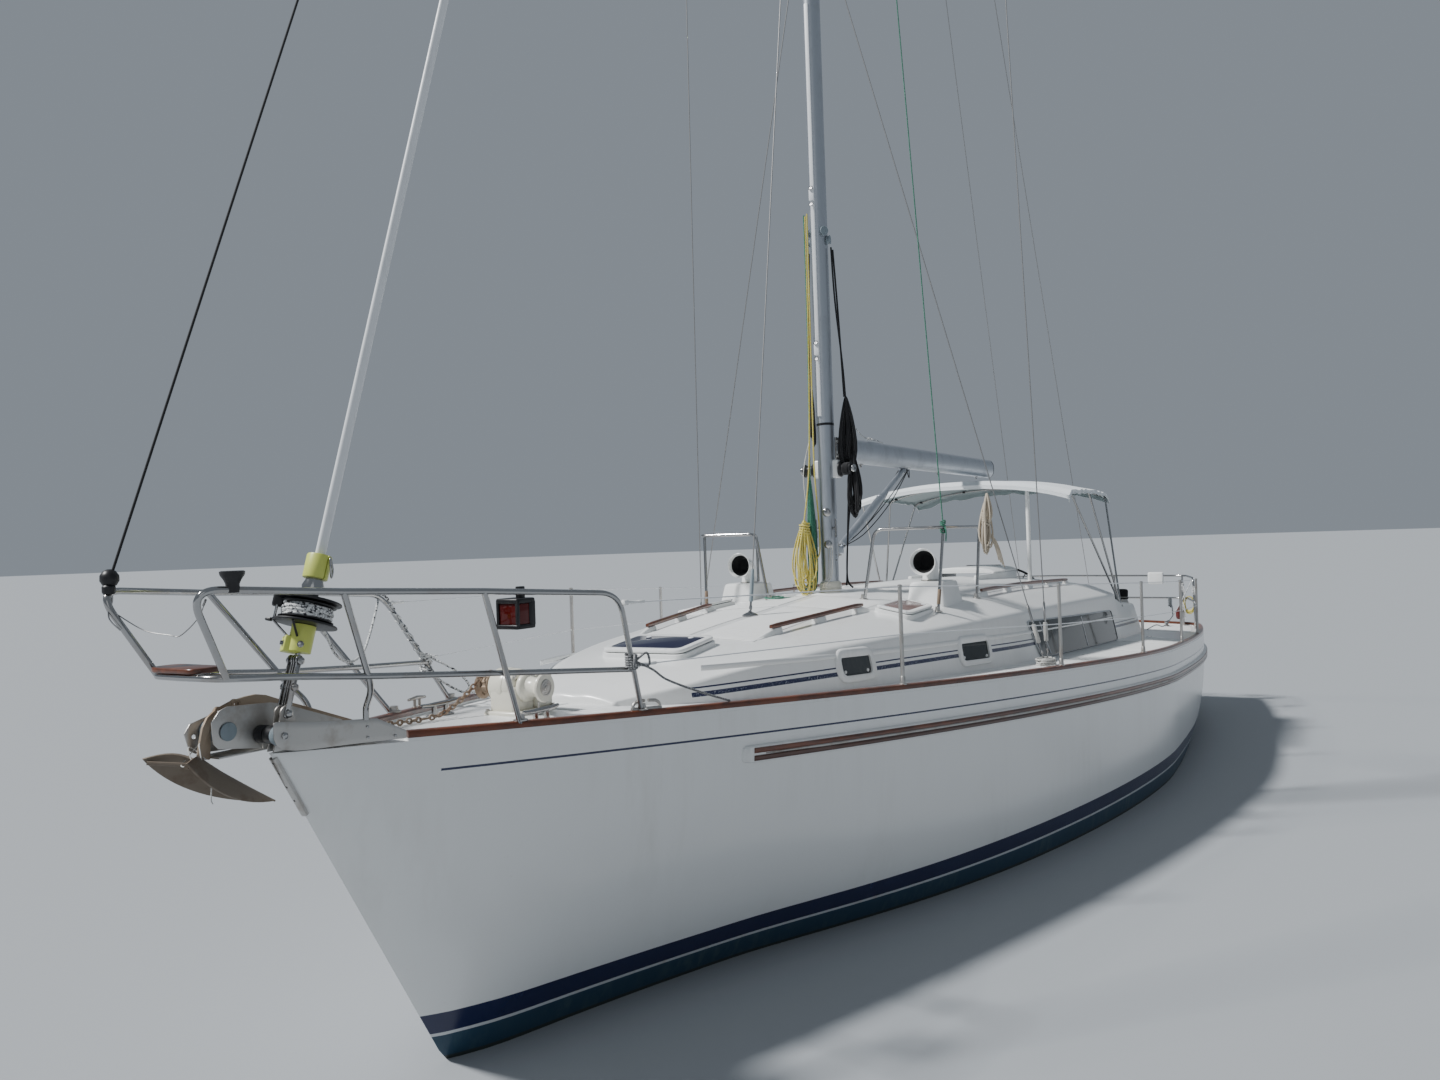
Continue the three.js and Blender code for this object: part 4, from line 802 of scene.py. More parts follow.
def wood(name="teak", light=None, dark=(0.045, 0.013, 0.006, 1), rough=0.28):
    material, tree, shader = blank(name, rough, Coat_Weight=0.35, Coat_Roughness=0.2)
    light = light or colours().teak
    grain = effect(tree, "grain", Light=light, Dark=dark, Scale=1.0)
    worn = effect(tree, "weathering", Color=grain.outputs["Color"], Grime=(0.12, 0.06, 0.04, 1), Amount=0.3,
                  Scale=3.0)
    tree.links.new(worn.outputs["Color"], shader.inputs["Base Color"])
    raise_bump(tree, shader, grain.outputs["Height"], 0.25, 0.0006)
    return material


def metal(name, tone, rough, stain=(0.25, 0.17, 0.1, 1), amount=0.3, scale=1.0, bump=0.08, metallic=1.0):
    material, tree, shader = blank(name, rough, metallic)
    marks = effect(tree, "polish", Color=(*tone, 1), Stain=stain, Amount=amount, Rough=rough, Scale=scale)
    tree.links.new(marks.outputs["Color"], shader.inputs["Base Color"])
    tree.links.new(marks.outputs["Roughness"], shader.inputs["Roughness"])
    raise_bump(tree, shader, marks.outputs["Height"], bump, 0.0004)
    return material


def plastic(name, tone, rough=0.4, grime=(0.2, 0.19, 0.17, 1), amount=0.3, coat=0.0):
    material, tree, shader = blank(name, rough, Coat_Weight=coat)
    aged = effect(tree, "weathering", Color=(*tone[:3], 1), Grime=grime, Amount=amount, Scale=6.0)
    tree.links.new(aged.outputs["Color"], shader.inputs["Base Color"])
    tree.links.new(ranged(tree, aged.outputs["Mask"], 0, 1, rough, 0.85), shader.inputs["Roughness"])
    orange_peel(tree, shader, 90.0, 0.12, 0.0006)
    return material


def lens(name, tone, rough=0.05):
    material, tree, shader = blank(name, rough, IOR=LENS_IOR)
    aged = effect(tree, "weathering", Color=(*tone[:3], 1), Grime=(0.3, 0.31, 0.32, 1), Amount=0.16,
                  Scale=4.0)
    tree.links.new(aged.outputs["Color"], shader.inputs["Base Color"])
    tree.links.new(ranged(tree, aged.outputs["Mask"], 0, 1, rough, 0.6), shader.inputs["Roughness"])
    return material


def rope(name, tone, fleck=None, scale=1.0):
    """Braided rope, with painted shade in the grooves between its strands and flecks of a second colour."""
    material, tree, shader = blank(name, 0.85, Sheen_Weight=0.2)
    place = tree.nodes.new("ShaderNodeTexCoord")
    wave = put(tree, "ShaderNodeTexWave", _bands_direction="DIAGONAL", Scale=70.0 * scale, Distortion=2.0)
    tree.links.new(place.outputs["Object"], wave.inputs["Vector"])
    # Bands of the wave darken the tone up to halfway towards 0.4 of itself: painted shade in the grooves
    # between the braid's strands.
    shade = mixed(tree, ranged(tree, wave.outputs["Fac"], 0.2, 0.8, 0.0, 0.5), tone, [v * 0.4 for v in tone])
    if fleck:
        dots = put(tree, "ShaderNodeTexVoronoi", Scale=190.0 * scale)
        tree.links.new(place.outputs["Object"], dots.inputs["Vector"])
        shade = mixed(tree, ranged(tree, dots.outputs["Distance"], 0.6, 0.68), shade, fleck)
    tree.links.new(shade, shader.inputs["Base Color"])
    raise_bump(tree, shader, wave.outputs["Fac"], 0.5, 0.001)
    return material


def cloth(name, tone):
    material, tree, shader = blank(name, 0.9, Sheen_Weight=0.15)
    aged = effect(tree, "weathering", Color=(*tone[:3], 1), Grime=(0.5, 0.52, 0.5, 1), Amount=0.4, Scale=1.5)
    tree.links.new(aged.outputs["Color"], shader.inputs["Base Color"])
    raise_bump(tree, shader, effect(tree, "weave", Scale=1.0).outputs[0], 0.4, 0.0008)
    return material


FINISHES = {
    "topsides": topsides,
    "gelcoat": gelcoat,
    "deck": lambda: gelcoat("deck", amount=0.3),
    "non_slip": lambda: gelcoat("non_slip", amount=0.45, slip=True),
    "cabin_white": cabin_white,
    "cream": lambda: gelcoat("cream", base=(0.74, 0.72, 0.62, 1), amount=0.5),
    "antifouling": lambda: plastic("antifouling", colours().antifouling, 0.8, (0.1, 0.13, 0.1, 1), 0.9),
    "teak": wood,
    # Polished steel given a darker tone than its own: painted reflection of dark surroundings.
    "steel": lambda: metal("steel", (0.4, 0.4, 0.4), 0.07),
    "brushed": lambda: metal("brushed", (0.5, 0.49, 0.47), 0.34, amount=0.55, bump=0.2),
    "wire": lambda: metal("wire", (0.33, 0.33, 0.33), 0.45, amount=0.2, scale=6),
    "alloy": lambda: metal("alloy", colours().alloy[:3], 0.36, (0.3, 0.31, 0.33, 1), 0.4, 0.5, 0.05),
    "foil": lambda: plastic("foil", (0.78, 0.8, 0.82), 0.35, (0.42, 0.43, 0.44, 1), 0.6),
    "rusty": lambda: metal("rusty", (0.3, 0.23, 0.17), 0.62, (0.2, 0.07, 0.025, 1), 0.8, 1.5, 0.5, 0.55),
    "anchor_grey": lambda: metal("anchor_grey", (0.36, 0.29, 0.22), 0.55, (0.2, 0.12, 0.07, 1), 0.7, 0.8,
                                 0.3, 0.5),
    "fluke": lambda: metal("fluke", (0.2, 0.165, 0.13), 0.55, (0.12, 0.07, 0.04, 1), 0.7, 0.8, 0.3, 0.5),
    "bronze": lambda: metal("bronze", (0.3, 0.19, 0.09), 0.45, (0.08, 0.16, 0.12, 1), 0.7),
    "smoked": lambda: lens("smoked", (0.014, 0.02, 0.021)),
    # Lighter, rougher grey than the smoked panes, for the fore portlights: painted reflection on their glass.
    "grey_lens_painted_reflection": lambda: lens("grey_lens_painted_reflection", (0.06, 0.066, 0.07), 0.12),
    "blue_lens": lambda: lens("blue_lens", colours().blue_lens),
    "brown_lens": lambda: lens("brown_lens", colours().brown_lens, 0.2),
    "red_lens": lambda: lens("red_lens", (0.09, 0.008, 0.007)),
    "black": lambda: plastic("black", (0.006, 0.006, 0.008), 0.42, (0.05, 0.05, 0.05, 1)),
    # Near-black matte: the winch covers' own black, and painted shade inside the cowls' mouths.
    "dark": lambda: plastic("dark", (0.004, 0.004, 0.005), 0.9, amount=0.1),
    "grey_rubber": lambda: plastic("grey_rubber", (0.22, 0.27, 0.3), 0.6, (0.08, 0.08, 0.08, 1), 0.7),
    "lime": lambda: plastic("lime", colours().lime, 0.4, (0.3, 0.3, 0.12, 1), 0.5),
    "window_frame": lambda: plastic("window_frame", (0.42, 0.44, 0.46), 0.4, (0.2, 0.2, 0.2, 1), 0.5),
    "canvas": lambda: cloth("canvas", colours().canvas),
    # Darker teal-grey copy of the canvas for the canopy's underside: painted shade with a reflected tint.
    "lining": lambda: cloth("lining", (0.36, 0.43, 0.44, 1)),
    "rope_white": lambda: rope("rope_white", (0.6, 0.6, 0.57)),
    "rope_fleck": lambda: rope("rope_fleck", (0.8, 0.81, 0.8), (0.03, 0.03, 0.04), 0.5),
    "rope_grey": lambda: rope("rope_grey", (0.16, 0.165, 0.17), (0.4, 0.4, 0.4), 0.8),
    "rope_black": lambda: rope("rope_black", (0.007, 0.007, 0.009)),
    "rope_yellow": lambda: rope("rope_yellow", (0.72, 0.6, 0.08), (0.6, 0.56, 0.3)),
    "rope_cream": lambda: rope("rope_cream", (0.62, 0.54, 0.42)),
    "rope_green": lambda: rope("rope_green", (0.02, 0.16, 0.1), (0.1, 0.3, 0.2)),
    "engine_grey": lambda: plastic("engine_grey", (0.12, 0.14, 0.15), 0.5),
    "wood_dark": lambda: wood("wood_dark", (0.08, 0.024, 0.011, 1)),
    "floor": lambda: plastic("floor", colours().floor, 0.75, (0.33, 0.34, 0.36, 1), 0.08),
}


def finish(name):
    """A finish by name, made when it is first asked for."""
    return bpy.data.materials.get("yacht " + name) or FINISHES[name]()


# Bands on the hull: drop under the sheer, start of the stripe, and heights of the boot line's edges
STRIPE_DROP = 0.176
STRIPE_START = 6.07
BOOT_TOP = 0.259
BOOT_LINE = 0.154
BOOT_LOW = 0.138
SCUM_TOP = 0.03
# Stripes on the cabin's side wall: height and slope of their upper edge, its curve forward of the bend, their
# widths with the gap between them, and where they end
CABIN_STRIPE = {"height": 1.467, "slope": 0.0366, "bend": 1.6, "curve": -0.0068, "thin": 0.009, "gap": 0.029,
                "broad": 0.026, "fore": 4.42, "aft": -4.3}


# Hull and deck


class BuildHull(bpy.types.Operator):
    """Hull with its bands, hollow at the cabin and the cockpit."""
    bl_idname = "yacht.hull"
    bl_label = "Hull"

    def execute(self, context):
        fit(hull_shell(), "hull_shell", "topsides", replaces=["hull"])
        fit(transom_rim(), "transom_rim", "gelcoat")
        fit(stem_strip(), "stem_strip", "brushed")
        return {"FINISHED"}


SIDE_STEPS = 34
DECK_STEPS = 10
HULL_STATIONS = 96
# Spaces cut into the hull, as lowest and highest corners: cabin, fore cabin, fore hatch, footwell, seats
HOLLOWS = (
    ((-2.8, -1.05, -0.25), (1.6, 1.05, 2.5)), ((1.55, -0.52, -0.06), (3.3, 0.52, 2.5)),
    ((3.25, -0.3, 0.7), (4.15, 0.3, 2.5)), ((-4.43, -0.43, 0.62), (-2.96, 0.43, 2.5)),
    ((-4.43, -1.23, 1.0), (-2.96, 1.23, 2.5)),
)
SHAFT = ((-1.95, 0, -0.541), (-4.05, 0, -0.86))


def hull_ring(x):
    keel, fullness, roundness = section(x)
    b = half_breadth(x)
    top = sheer(x) - RAIL_HEIGHT
    half = []
    for i in range(1, SIDE_STEPS + 1):
        h = (i / SIDE_STEPS) ** 1.6
        half.append((b * (1 - (1 - h) ** fullness) ** (1 / roundness), keel + (top - keel) * h))
    for i in range(1, DECK_STEPS):
        y = b * (1 - i / DECK_STEPS)
        half.append((y, deck_z(x, y)))
    ring = [(x, 0, keel)] + [(x, y, z) for y, z in half] + [(x, 0, deck_z(x, 0))]
    return ring + [(x, -y, z) for y, z in reversed(half)]


def hull_shell():
    """The whole hull with its deck, closed, with its hollows and bores cut."""
    xs = []
    for i in range(HULL_STATIONS):
        t = i / (HULL_STATIONS - 1)
        xs.append(BOW_X + (STERN_X - BOW_X) * (0.35 * t * t + 0.65 * t))
    hull = loft([hull_ring(x) for x in xs])
    shaft = Vector(SHAFT[1]) - Vector(SHAFT[0])
    tools = [block(low, high, 0) for low, high in HOLLOWS]
    tools.append(rod(SHAFT[0], Vector(SHAFT[0]) + shaft * 0.55, 0.027))
    tools.append(rod((-5.05, 0, -0.6), (-5.05, 0, 0.26), 0.0333, sides=32))
    cut(hull, *tools)
    return smooth(hull, 28)


def transom_rim():
    """The rounded edge round the flat transom."""
    rings = hull_ring(STERN_X + 0.004)
    route = [Vector((STERN_X + 0.0085, y, z)) for _, y, z in rings[1:SIDE_STEPS + 1:2]]
    other = [Vector((p.x, -p.y, p.z)) for p in reversed(route)]
    return tubes([other + route], 0.008, 3)


def stem_strip():
    """Half-round steel strip on the upper stem, with slotted holes down it."""
    foot = Vector((6.575, 0, STEM_SLOPE * (6.575 - STEM_FOOT_X)))
    head = Vector((6.72, 0, STEM_SLOPE * (6.72 - STEM_FOOT_X)))
    across = Vector((0, 1, 0))
    out = Vector((STEM_SLOPE, 0, -1)).normalized()
    rings = []
    for k in range(13):
        t = k / 12
        half = 0.017 + 0.002 * t
        middle = foot.lerp(head, t)
        outline = [(-half, -0.01), (-half, 0.003), (-half * 0.7, 0.007), (0, 0.009), (half * 0.7, 0.007),
                   (half, 0.003), (half, -0.01)]
        rings.append([middle + across * a + out * b for a, b in outline])
    strip = loft(rings)
    slots = []
    for t in (0.28, 0.52, 0.76, 0.93):
        middle = foot.lerp(head, t)
        slots.append(rod(middle - out * 0.002, middle + out * 0.03, 0.0055, sides=12))
    return smooth(cut(strip, *slots), 40)


class BuildDeck(bpy.types.Operator):
    """Deck skin and non-slip panels."""
    bl_idname = "yacht.deck"
    bl_label = "Deck"

    def execute(self, context):
        fit(deck_skin(), "deck_skin", "deck")
        for label, panel in deck_panels().items():
            fit_pair(panel, "deck_panel_" + label, "non_slip")
        return {"FINISHED"}


DECK_SKIN = 0.0012
# Space left between the side deck's panels and the cabin, and between them and the deck's edge
WALK_INNER = 0.055
WALK_OUTER = 0.1


def wall_base(x):
    return roof_knots(x)[0] if ROOF[-1][0] <= x <= ROOF[0][0] else 0


def deck_skin():
    """A thin white skin over the deck, with the cockpit left open."""
    rings = []
    xs = [STERN_X + 0.01 + (6.45 - STERN_X) * i / 90 for i in range(91)]
    for x in xs:
        b = half_breadth(x) - 0.003
        ys = [b * (k / 12 - 1) for k in range(25)]
        over = [(x, y, deck_z(x, y) + DECK_SKIN) for y in ys]
        rings.append(over + [(x, y, deck_z(x, y) - 0.004) for y in reversed(ys)])
    skin_piece = loft(rings)
    cut(skin_piece, block((-4.43, -1.23, 1.0), (-2.9, 1.23, 2.5), 0))
    return smooth(skin_piece, 40)


def raised(rows):
    """A thin raised panel on a grid of points, its edges softened."""
    obj = skin(rows)
    modify(obj, "SOLIDIFY", thickness=sizes().panel, offset=1)
    in_edit(obj, face_out)
    bevel(obj, 0.0022, 2, 60)
    return smooth(obj, 50)


def panel_between(x0, x1, inner, outer, steps=14):
    """A raised panel between two lines given as y at x, following the deck."""
    rows = []
    for i in range(steps + 1):
        x = x0 + (x1 - x0) * i / steps
        a, b = inner(x), outer(x)
        rows.append([(x, y, deck_z(x, y) + DECK_SKIN) for y in [a + (b - a) * k / 6 for k in range(7)]])
    return raised(rows)


def deck_panels():
    """Non-slip panels of the side deck and the foredeck, port half."""
    outer = lambda x: half_breadth(x) - WALK_OUTER
    inner = lambda x: max(wall_base(x) + WALK_INNER, 0.03)
    made = {}
    edges = (4.7, 3.62, 2.5, 1.32, 0.1, -1.2, -2.4, -3.4)
    for i, (a, b) in enumerate(zip(edges, edges[1:])):
        made[f"side_{i + 1}"] = panel_between(a - 0.03, b + 0.03, inner if b > -2.9 else lambda x: 1.56,
                                              outer)
    made["fore"] = panel_between(5.02, 4.78, lambda x: 0.03, outer, 4)
    made["bow"] = panel_between(6.1, 5.5, lambda x: 0.16, outer, 6)
    made["stern"] = panel_between(-4.8, -6.25, lambda x: 0.06, lambda x: half_breadth(x) - 0.14)
    return made


# Cabin


class BuildCabin(bpy.types.Operator):
    """Coachroof with rounded shoulders, its windows' openings and its raised mouldings."""
    bl_idname = "yacht.cabin"
    bl_label = "Cabin"

    def execute(self, context):
        fit(cabin_shell(), "cabin_shell", "cabin_white", replaces=["coachroof"])
        fit(slide_rails(), "companion_rails", "gelcoat")
        fit_pair(wall_ridge(), "wall_ridge", "gelcoat")
        fit(mast_step(), "mast_step", "gelcoat")
        for i, panel in enumerate(roof_panels()):
            fit_pair(panel, f"roof_panel_{i + 1}", "non_slip")
        return {"FINISHED"}


ROOF_WALL = 0.045
WINDOW = ((0.222, 1.327), (0.44, 1.615), (-2.53, 1.495), (-2.6, 1.211))
PORTLIGHTS = (
    ((3.275, 1.513), (3.262, 1.632), (2.965, 1.622), (2.978, 1.503)),
    ((1.79, 1.452), (1.77, 1.58), (1.33, 1.558), (1.35, 1.43)),
)
COMPANION = {"aft": -2.9, "fore": -2.08, "half": 0.33, "sill": 1.23}
ROOF_FILLET = 0.075


def round_corners(points, radius, steps=5):
    """A closed outline with its corners rounded."""
    points = [Vector(p) for p in points]
    made = []
    count = len(points)
    for i, corner in enumerate(points):
        before, after = points[i - 1], points[(i + 1) % count]
        reach = min(radius, (before - corner).length * 0.45, (after - corner).length * 0.45)
        a = corner + (before - corner).normalized() * reach
        b = corner + (after - corner).normalized() * reach
        made += arc(a, corner, b, steps)
    return made


def roof_section(x, inset=0.0):
    """Half of the coachroof's section from its foot to the middle, its corners rounded."""
    base, knots = roof_knots(x)
    foot = min(deck_z(x, base), deck_z(x, 0)) - 0.07
    corners = [Vector((base - inset, foot))] + [Vector((y - inset * (y > 0), z - inset)) for y, z in knots]
    size = min(1, (knots[0][1] - foot) / 0.3)
    made = [corners[0]]
    for i in range(1, len(corners) - 1):
        before, corner, after = corners[i - 1:i + 2]
        reach = (0.035, ROOF_FILLET, 0.16)[i - 1] * size if i <= 3 else 0.05
        a = corner + (before - corner).normalized() * min(reach, (before - corner).length * 0.45)
        b = corner + (after - corner).normalized() * min(reach, (after - corner).length * 0.45)
        made += arc(a, corner, b, 6)
    last = corners[-1]
    return made + [made[-1].lerp(last, 0.5), last]


def roof_ring(x, inset=0.0, at=None):
    half = roof_section(x, inset)
    place = x if at is None else at
    return [(place, p.x, p.y) for p in half] + [(place, -p.x, p.y) for p in reversed(half[:-1])]


def roof_body(inset):
    """The coachroof as one smooth body, its front edge rounded."""
    rings = []
    front = ROOF[0][0]
    for k in range(5):
        t = k / 4
        inner = inset + 0.03 * (1 - math.sin(math.pi / 2 * t))
        rings.append(roof_ring(front, inner, front - inset - 0.03 * (1 - math.cos(math.pi / 2 * t))))
    steps = 60
    for i in range(1, steps + 1):
        x = front - 0.03 - (front - 0.03 - ROOF[-1][0]) * i / steps
        rings.append(roof_ring(x, inset, x + inset if i == steps else x))
    return loft(rings)


def opening_cutter(outline, radius, grow=0.0):
    """A window's outline as a tool that cuts the port wall."""
    points = grown(outline, grow)
    return plate([tuple(p) for p in round_corners(points, radius)], 0.5, 1.7, 0)


def grown(outline, by):
    """A four-cornered outline pushed out by a distance on each side."""
    points = [Vector(p) for p in outline]
    middle = sum(points, Vector((0, 0))) / len(points)
    return [Vector((p.x + math.copysign(by, p.x - middle.x), p.y + math.copysign(by, p.y - middle.y)))
            for p in points]


def hatch_place(x, y):
    """Slope and tilt of the roof at a hatch, as a matrix that lays a level piece on it."""
    half_l, half_w = (0.215, 0.3) if y == 0 else (0.26, 0.145)
    slope = (cad_roof_z(x + half_l, y) - cad_roof_z(x - half_l, y)) / (2 * half_l)
    tilt = 0 if y == 0 else (cad_roof_z(x, y + half_w) - cad_roof_z(x, y - half_w)) / (2 * half_w)
    turn = Matrix.Rotation(-math.atan(slope), 4, "Y") @ Matrix.Rotation(math.atan(tilt), 4, "X")
    return Matrix.Translation((x, y, cad_roof_z(x, y))) @ turn


def cad_roof_z(x, y):
    """Height of the roof with straight lines between its stations, as the CAD has it."""
    i = next(k for k in range(1, len(ROOF)) if ROOF[k][0] <= x)
    t = (x - ROOF[i][0]) / (ROOF[i - 1][0] - ROOF[i][0])
    _, _, edge, shoulder, edge_z, shoulder_z, crown_z = [a + (b - a) * t
                                                         for a, b in zip(ROOF[i], ROOF[i - 1])]
    knots = ((edge, edge_z), (shoulder, shoulder_z), (shoulder / 2, (shoulder_z + crown_z) / 2 + 0.012),
             (0, crown_z))
    for (outer, low), (inner, high) in zip(knots, knots[1:]):
        if outer >= abs(y) >= inner:
            return high + (low - high) * (abs(y) - inner) / (outer - inner)
    return edge_z


FORE_HATCH = {"x": 3.9, "y": 0, "length": 0.43, "width": 0.6, "frame": 0.026, "lid": 0.03}
SIDE_HATCH = {"x": 1.9, "y": 0.845, "length": 0.52, "width": 0.29, "frame": 0.022, "lid": 0.024}


def on_side(tool, sign):
    """A port cutter, or its mirrored copy in its stead."""
    if sign > 0:
        return tool
    other = opposite(tool)
    bpy.data.objects.remove(tool)
    return other


def cabin_shell():
    shell = roof_body(0)
    tools = [roof_body(ROOF_WALL)]
    for sign in (1, -1):
        for outline, radius in ((WINDOW, 0.05), (PORTLIGHTS[0], 0.04), (PORTLIGHTS[1], 0.05)):
            tools.append(on_side(opening_cutter(outline, radius, 0.012), sign))
        hole = block((-0.215, -0.1, -0.2), (0.215, 0.1, 0.2), 0)
        hole.data.transform(hatch_place(SIDE_HATCH["x"], SIDE_HATCH["y"]))
        tools.append(on_side(hole, sign))
    hole = block((-0.17, -0.255, -0.2), (0.17, 0.255, 0.2), 0)
    hole.data.transform(hatch_place(FORE_HATCH["x"], 0))
    tools.append(hole)
    c = COMPANION
    tools.append(block((c["aft"] - 0.1, -c["half"], c["sill"]), (c["aft"] + 0.1, c["half"], 2.2), 0))
    tools.append(block((c["aft"] - 0.1, -c["half"], 1.7), (c["fore"], c["half"], 2.2), 0))
    cut(shell, *tools)
    return smooth(shell, 30)


def slide_rails():
    """The two raised rails that the companion hatch slides on, with its garage in front."""
    c = COMPANION
    top = cad_roof_z(c["fore"], c["half"]) + 0.06
    rails = []
    for sign in (1, -1):
        y = sorted((sign * c["half"], sign * (c["half"] + 0.045)))
        rails.append(block((c["aft"], y[0], 1.76), (c["fore"] + 0.64, y[1], top), 0.012, 3))
    return merged(rails, 35)


def wall_ridge():
    """The raised moulding along the cabin's side wall, above the stripes."""
    rings = []
    for i in range(61):
        x = 4.35 - 7.1 * i / 60
        z = 1.524 + 0.0346 * x
        swell = 0.0025 + 0.0035 * math.sin(math.pi * min(1, i / 6)) if i < 3 else 0.006
        ring = []
        for k in range(8):
            a = 2 * math.pi * k / 8
            height = z + 0.016 * math.sin(a)
            ring.append((x, wall_y(x, height) + swell * math.cos(a) - 0.001, height))
        rings.append(ring)
    return smooth(loft(rings), 60)


def mast_step():
    """Raised round moulding under the mast's foot."""
    x = MAST["x"]
    roof = cad_roof_z(x, 0)
    step = turned([(0.3, -0.06), (0.3, 0.0), (0.29, 0.008), (0.27, 0.012)], (x, 0, roof), sides=48)
    for v in step.data.vertices:
        v.co.x = x + (v.co.x - x) * 0.9
        if v.co.z > roof - 0.02:
            v.co.z += cad_roof_z(v.co.x, v.co.y) - roof
    return smooth(step, 40)


def roof_patch(x0, x1, inner, outer, steps=16):
    """A thin raised panel on the roof between two lines of y at x."""
    rows = []
    for i in range(steps + 1):
        x = x0 + (x1 - x0) * i / steps
        a, b = inner(x), outer(x)
        rows.append([(x, y, smooth_roof_z(x, y) + 0.0005) for y in [a + (b - a) * k / 10 for k in range(11)]])
    return raised(rows)


def smooth_roof_z(x, y):
    """Height of the rounded roof at a place."""
    half = roof_section(x)
    y = abs(y)
    for a, b in zip(half, half[1:]):
        if a.x >= y >= b.x and a.x > b.x:
            return b.y + (a.y - b.y) * (y - b.x) / (a.x - b.x)
    return half[-1].y


def roof_panels():
    """Non-slip panels on the roof, port half, between the hatches and the handrails."""
    shoulder = lambda x: roof_knots(x)[1][1][0]
    made = [
        roof_patch(3.55, 2.25, lambda x: 0.04, lambda x: min(shoulder(x) - 0.07, 0.47)),
        roof_patch(2.2, 1.66, lambda x: 0.04, lambda x: 0.6, 8),
        roof_patch(0.95, -0.4, lambda x: 0.04, lambda x: 0.62),
        roof_patch(0.55, -1.35, lambda x: 0.7, lambda x: 0.95),
    ]
    return made


# Windows


class BuildWindows(bpy.types.Operator):
    """Side windows and portlights in their frames."""
    bl_idname = "yacht.windows"
    bl_label = "Windows"

    def execute(self, context):
        fit_pair(wall_plate(WINDOW, 0.055, -0.012, 0.004, -0.001), "window_glass", "smoked")
        for i, name in enumerate(("window_port", "window_stbd")):
            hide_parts(name)
        fit_pair(window_frame(), "window_frame", "window_frame")
        # The fore portlights take the lighter grey pane, which paints in the reflection on their glass; the
        # aft ones are smoked.
        for i, (outline, tone) in enumerate(zip(PORTLIGHTS, ("grey_lens_painted_reflection", "smoked"))):
            pane = wall_plate(outline, 0.04, -0.004, -0.006, -0.012)
            fit_pair(pane, f"portlight_pane_{i + 1}", tone)
            for side, _ in SIDES:
                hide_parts(f"portlight_{side}_{i + 1}")
            fit_pair(portlight_lip(outline), f"portlight_lip_{i + 1}", "gelcoat")
            fit_pair(portlight_knobs(outline), f"portlight_knobs_{i + 1}", "gelcoat")
        return {"FINISHED"}


def wall_plate(outline, radius, grow, out, back):
    """A pane that follows the cabin's side wall, from back to out beyond its surface."""
    rim = round_corners(grown(outline, grow), radius)
    face = outline_face([(p.x, 0, p.y) for p in rim])
    in_edit(face, lambda: bpy.ops.mesh.inset(thickness=0.01, depth=0),
            select_all,
            lambda: bpy.ops.mesh.quads_convert_to_tris(quad_method="BEAUTY", ngon_method="BEAUTY"))
    cut_long(face)
    for v in face.data.vertices:
        v.co.y = wall_y(v.co.x, v.co.z) + back
    modify(face, "SOLIDIFY", thickness=out - back, offset=side_of(face))
    in_edit(face, face_out)
    return smooth(face, 30)


def side_of(face):
    """The solidify offset that thickens a wall face outwards, to port."""
    total = sum(p.normal.y * p.area for p in face.data.polygons)
    return 1 if total > 0 else -1


def cut_long(face):
    """Cuts a long face at steps of x, so that it can follow the wall."""
    xs = [v.co.x for v in face.data.vertices]
    low, high = min(xs), max(xs)
    count = int((high - low) / 0.12)
    for k in range(1, count + 1):
        at = (low + (high - low) * k / (count + 1), 0, 0)
        in_edit(face, lambda: bpy.ops.mesh.bisect(plane_co=at, plane_no=(1, 0, 0)))


def ring_on_wall(outline, radius, grow, section_points):
    """A band round an outline on the wall. Its section is out from the wall and away from the opening."""
    rows = []
    for away, out in section_points:
        rim = round_corners(grown(outline, grow + away), radius + max(0, away), 6)
        rows.append(densify(rim))
    count = len(rows[0])
    rings = []
    for j in range(count):
        ring = []
        for row, (away, out) in zip(rows, section_points):
            p = row[j]
            ring.append((p.x, wall_y(p.x, p.y) + out, p.y))
        rings.append(ring)
    band = skin([[*ring, ring[0]] for ring in rings + [rings[0]]])
    return in_edit(band, weld, face_out)


def densify(rim, per_side=10):
    """Extra points on the long straight stretches between rounded corners, the same count for each rim."""
    made = []
    size = len(rim) // 4
    for c in range(4):
        corner = rim[c * size:(c + 1) * size]
        made += corner
        start, end = corner[-1], rim[((c + 1) * size) % len(rim)]
        made += [start.lerp(end, k / per_side) for k in range(1, per_side)]
    return made


def window_frame():
    """Grey frame round the side window, with its two mullions."""
    frame = ring_on_wall(WINDOW, 0.05, -0.016,
                         ((0, -0.004), (0, 0.006), (0.006, 0.009), (0.03, 0.009), (0.036, 0.004),
                                                (0.036, -0.004)))
    bars = []
    for top, low in (((0.13, 1.602), (-0.02, 1.318)), ((-1.2, 1.548), (-1.27, 1.266))):
        route = [Vector((low[0] + (top[0] - low[0]) * k / 6, 0, low[1] + (top[1] - low[1]) * k / 6))
                 for k in range(7)]
        rings = []
        for p in route:
            y = wall_y(p.x, p.z)
            rings.append([(p.x - 0.016, y - 0.002, p.z), (p.x - 0.012, y + 0.008, p.z),
                          (p.x + 0.012, y + 0.008, p.z), (p.x + 0.016, y - 0.002, p.z)])
        bars.append(loft(rings))
    return merged([frame, *bars])


def portlight_lip(outline):
    """Moulded white lip round a portlight's recess."""
    band = ring_on_wall(outline, 0.04, 0.0, ((-0.006, -0.014), (-0.004, 0.0), (0.003, 0.008), (0.014, 0.012),
                                             (0.032, 0.013), (0.042, 0.009), (0.046, 0.001), (0.047, -0.008)))
    return smooth(band, 60)


